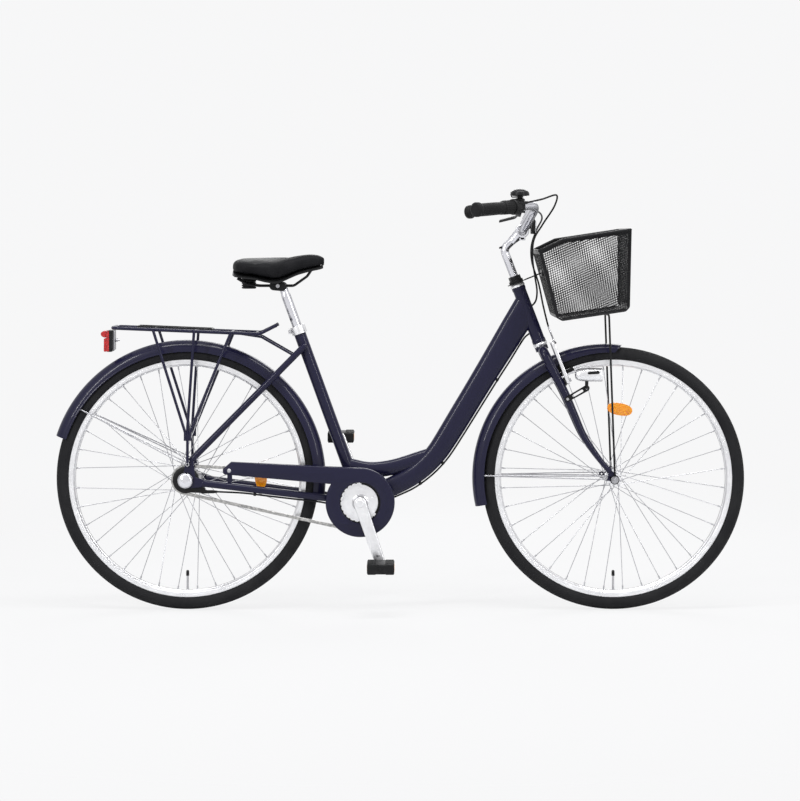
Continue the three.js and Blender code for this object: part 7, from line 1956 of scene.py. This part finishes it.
def basket_low(side):
    """The lower outline of a side, from the rear wall to the front wall, with its corners cut off."""
    line = []
    for corner, towards, reach in CORNER_CUTS:
        start = basket_corner(corner, side)
        line.append(start + (basket_corner(towards, side) - start).normalized() * reach)
    return line


def basket_bands(walls):
    for wall in walls:
        middle = sum(wall, v3(0, 0, 0)) / len(wall)
        for a, b in zip(wall, wall[1:] + wall[:1]):
            if (b - a).length > 20:
                yield band(a, b, middle - (a + b) / 2, TOP_BAND if min(a.z, b.z) > TOP_LEVEL else LOW_BAND)


def make_basket():
    c = basket_corner
    right, left = basket_low(RIGHT), basket_low(LEFT)
    tops = {side: [c("front_top", side), c("kink", side), c("rear_top", side)] for side in (RIGHT, LEFT)}
    front = [right[3], left[3], tops[LEFT][0], tops[RIGHT][0]]
    walls = [[*right, *tops[RIGHT]], [*left, *tops[LEFT]], [right[0], left[0], tops[LEFT][2], tops[RIGHT][2]],
             front]
    walls += [[right[k], right[k + 1], left[k + 1], left[k]] for k in range(3)]
    meshes = [mesh_wall(wall, FRONT_STEP if wall is front else STRAND_STEP) for wall in walls]
    piece("basket_mesh", "black_metal", "steering", "basket", *meshes)
    rim = tops[RIGHT][::-1] + tops[LEFT] + [tops[RIGHT][2]]
    rods = [tube(rounded(rim, WIRE_BEND, 6), TOP_WIRE)]
    for side, low in ((RIGHT, right), (LEFT, left)):
        rods.append(tube(rounded([tops[side][2], *low, tops[side][0]], WIRE_BEND, 6), SIDE_WIRE, 16))
    rods += [tube([a, b], FLOOR_WIRE, 12) for a, b in zip(right, left)]
    piece("basket_bands", "black_metal", "steering", "basket", *basket_bands(walls), *rods)
    up = HEAD_TOP + 10.6
    hold = at_y(mix(c("rear_low", RIGHT), c("rear_top", RIGHT), 0.68), 0)
    piece("basket_bracket", "black_metal", "steering", "basket", collar(13, 25, 2.5, column(0, 0, up), STEER),
          tube([column(24, 0, up + 1.2), hold], 1.9), slab(hold, 3, 9, 42))


def make_basket_stay():
    x = FRONT.x - 16
    top = z_at(Vector(BASKET["rear_low"]), Vector(BASKET["front_low"]), x) - 8
    half = [FRONT + v3(0, 57.1, 9.8), FRONT + v3(-2, STAY_HALF, 47.5), v3(x, STAY_HALF, top)]
    line = [mirrored(point, RIGHT) for point in half] + half[::-1]
    eyes = [plate(ring_at(FRONT, 12.2), low, low + 2.4, [ring_at(FRONT, 5.2, 24)], 0.6)
            for low in (-56.8, 54.4)]
    piece("basket_stay_wires", "black_metal", "steering", "basket_stay",
          tube(rounded(line, STAY_BEND, 8), STAY_WIRE), *eyes)


def make_headlamp():
    c = LAMP_BACK
    piece("headlamp_shell", "steel", "steering", "headlamp", lathe(LAMP_SHELL, c, X_AXIS, 72, 0.8),
          lathe(LAMP_BEZEL, c, X_AXIS, 72, 0.5))
    piece("headlamp_glass", "clear_lens", "steering", "headlamp_lens", lathe(LAMP_GLASS, c, X_AXIS, 64, 0.6))
    inset = stadium((c.x + 36, c.z + 5.4), (c.x + 60, c.z + 7.6), 3.4, 4.4, 12)
    piece("headlamp_inset", "black_plastic", "steering", "headlamp",
          plate(inset, c.y - 18.6, c.y - 14, (), 0.8))
    foot = blade_point(RIGHT, *LAMP_CLAMP)
    post, y = v3(c.x + 31.5, 0, c.z - 36), foot.y - 14.12
    slot = stadium(flat(mix(foot, post, 0.32)), flat(mix(foot, post, 0.76)), 3.3, 3.3, 10)
    arm = plate(stadium(flat(foot), flat(post), 7.2, 8.2), y, y + 3, [slot], 0.6)
    upright = rod(at_y(post, y + 1.5), v3(post.x, c.y, c.z - 14), 4.6, 28)
    piece("headlamp_bracket", "black_metal", "steering", "headlamp", arm, upright)
    piece("headlamp_bolts", "zinc_wire", "steering", "headlamp", pin(foot, y - 2.8, y + 0.2, 3.7, 24, 0.6),
          pin(post, y - 2.4, y + 0.2, 3.2, 24, 0.6))


make_stage()
make_frame()
make_headset()
make_seat_clamp()
for wheel_name, sizes in WHEELS.items():
    make_wheel(wheel_name, *sizes)
make_axles()
make_fork()
make_stem()
make_bar()
make_grip("right", RIGHT, 104)
make_grip("left", LEFT, 130)
make_shifter()
make_bell()
make_bar_reflector()
make_lever()
make_brakes()
make_fenders()
make_saddle()
make_seatpost()
make_carrier_deck()
make_carrier_legs()
make_rack_clip()
make_tail_light()
for side_name, side_sign in SIDES:
    make_crank(side_name, side_sign)
make_chainring()
make_chain()
make_guard()
for side_name, side_sign in SIDES:
    make_pedal(side_name, side_sign)
make_shift_cable()
make_brake_cable()
make_basket()
make_basket_stay()
make_headlamp()
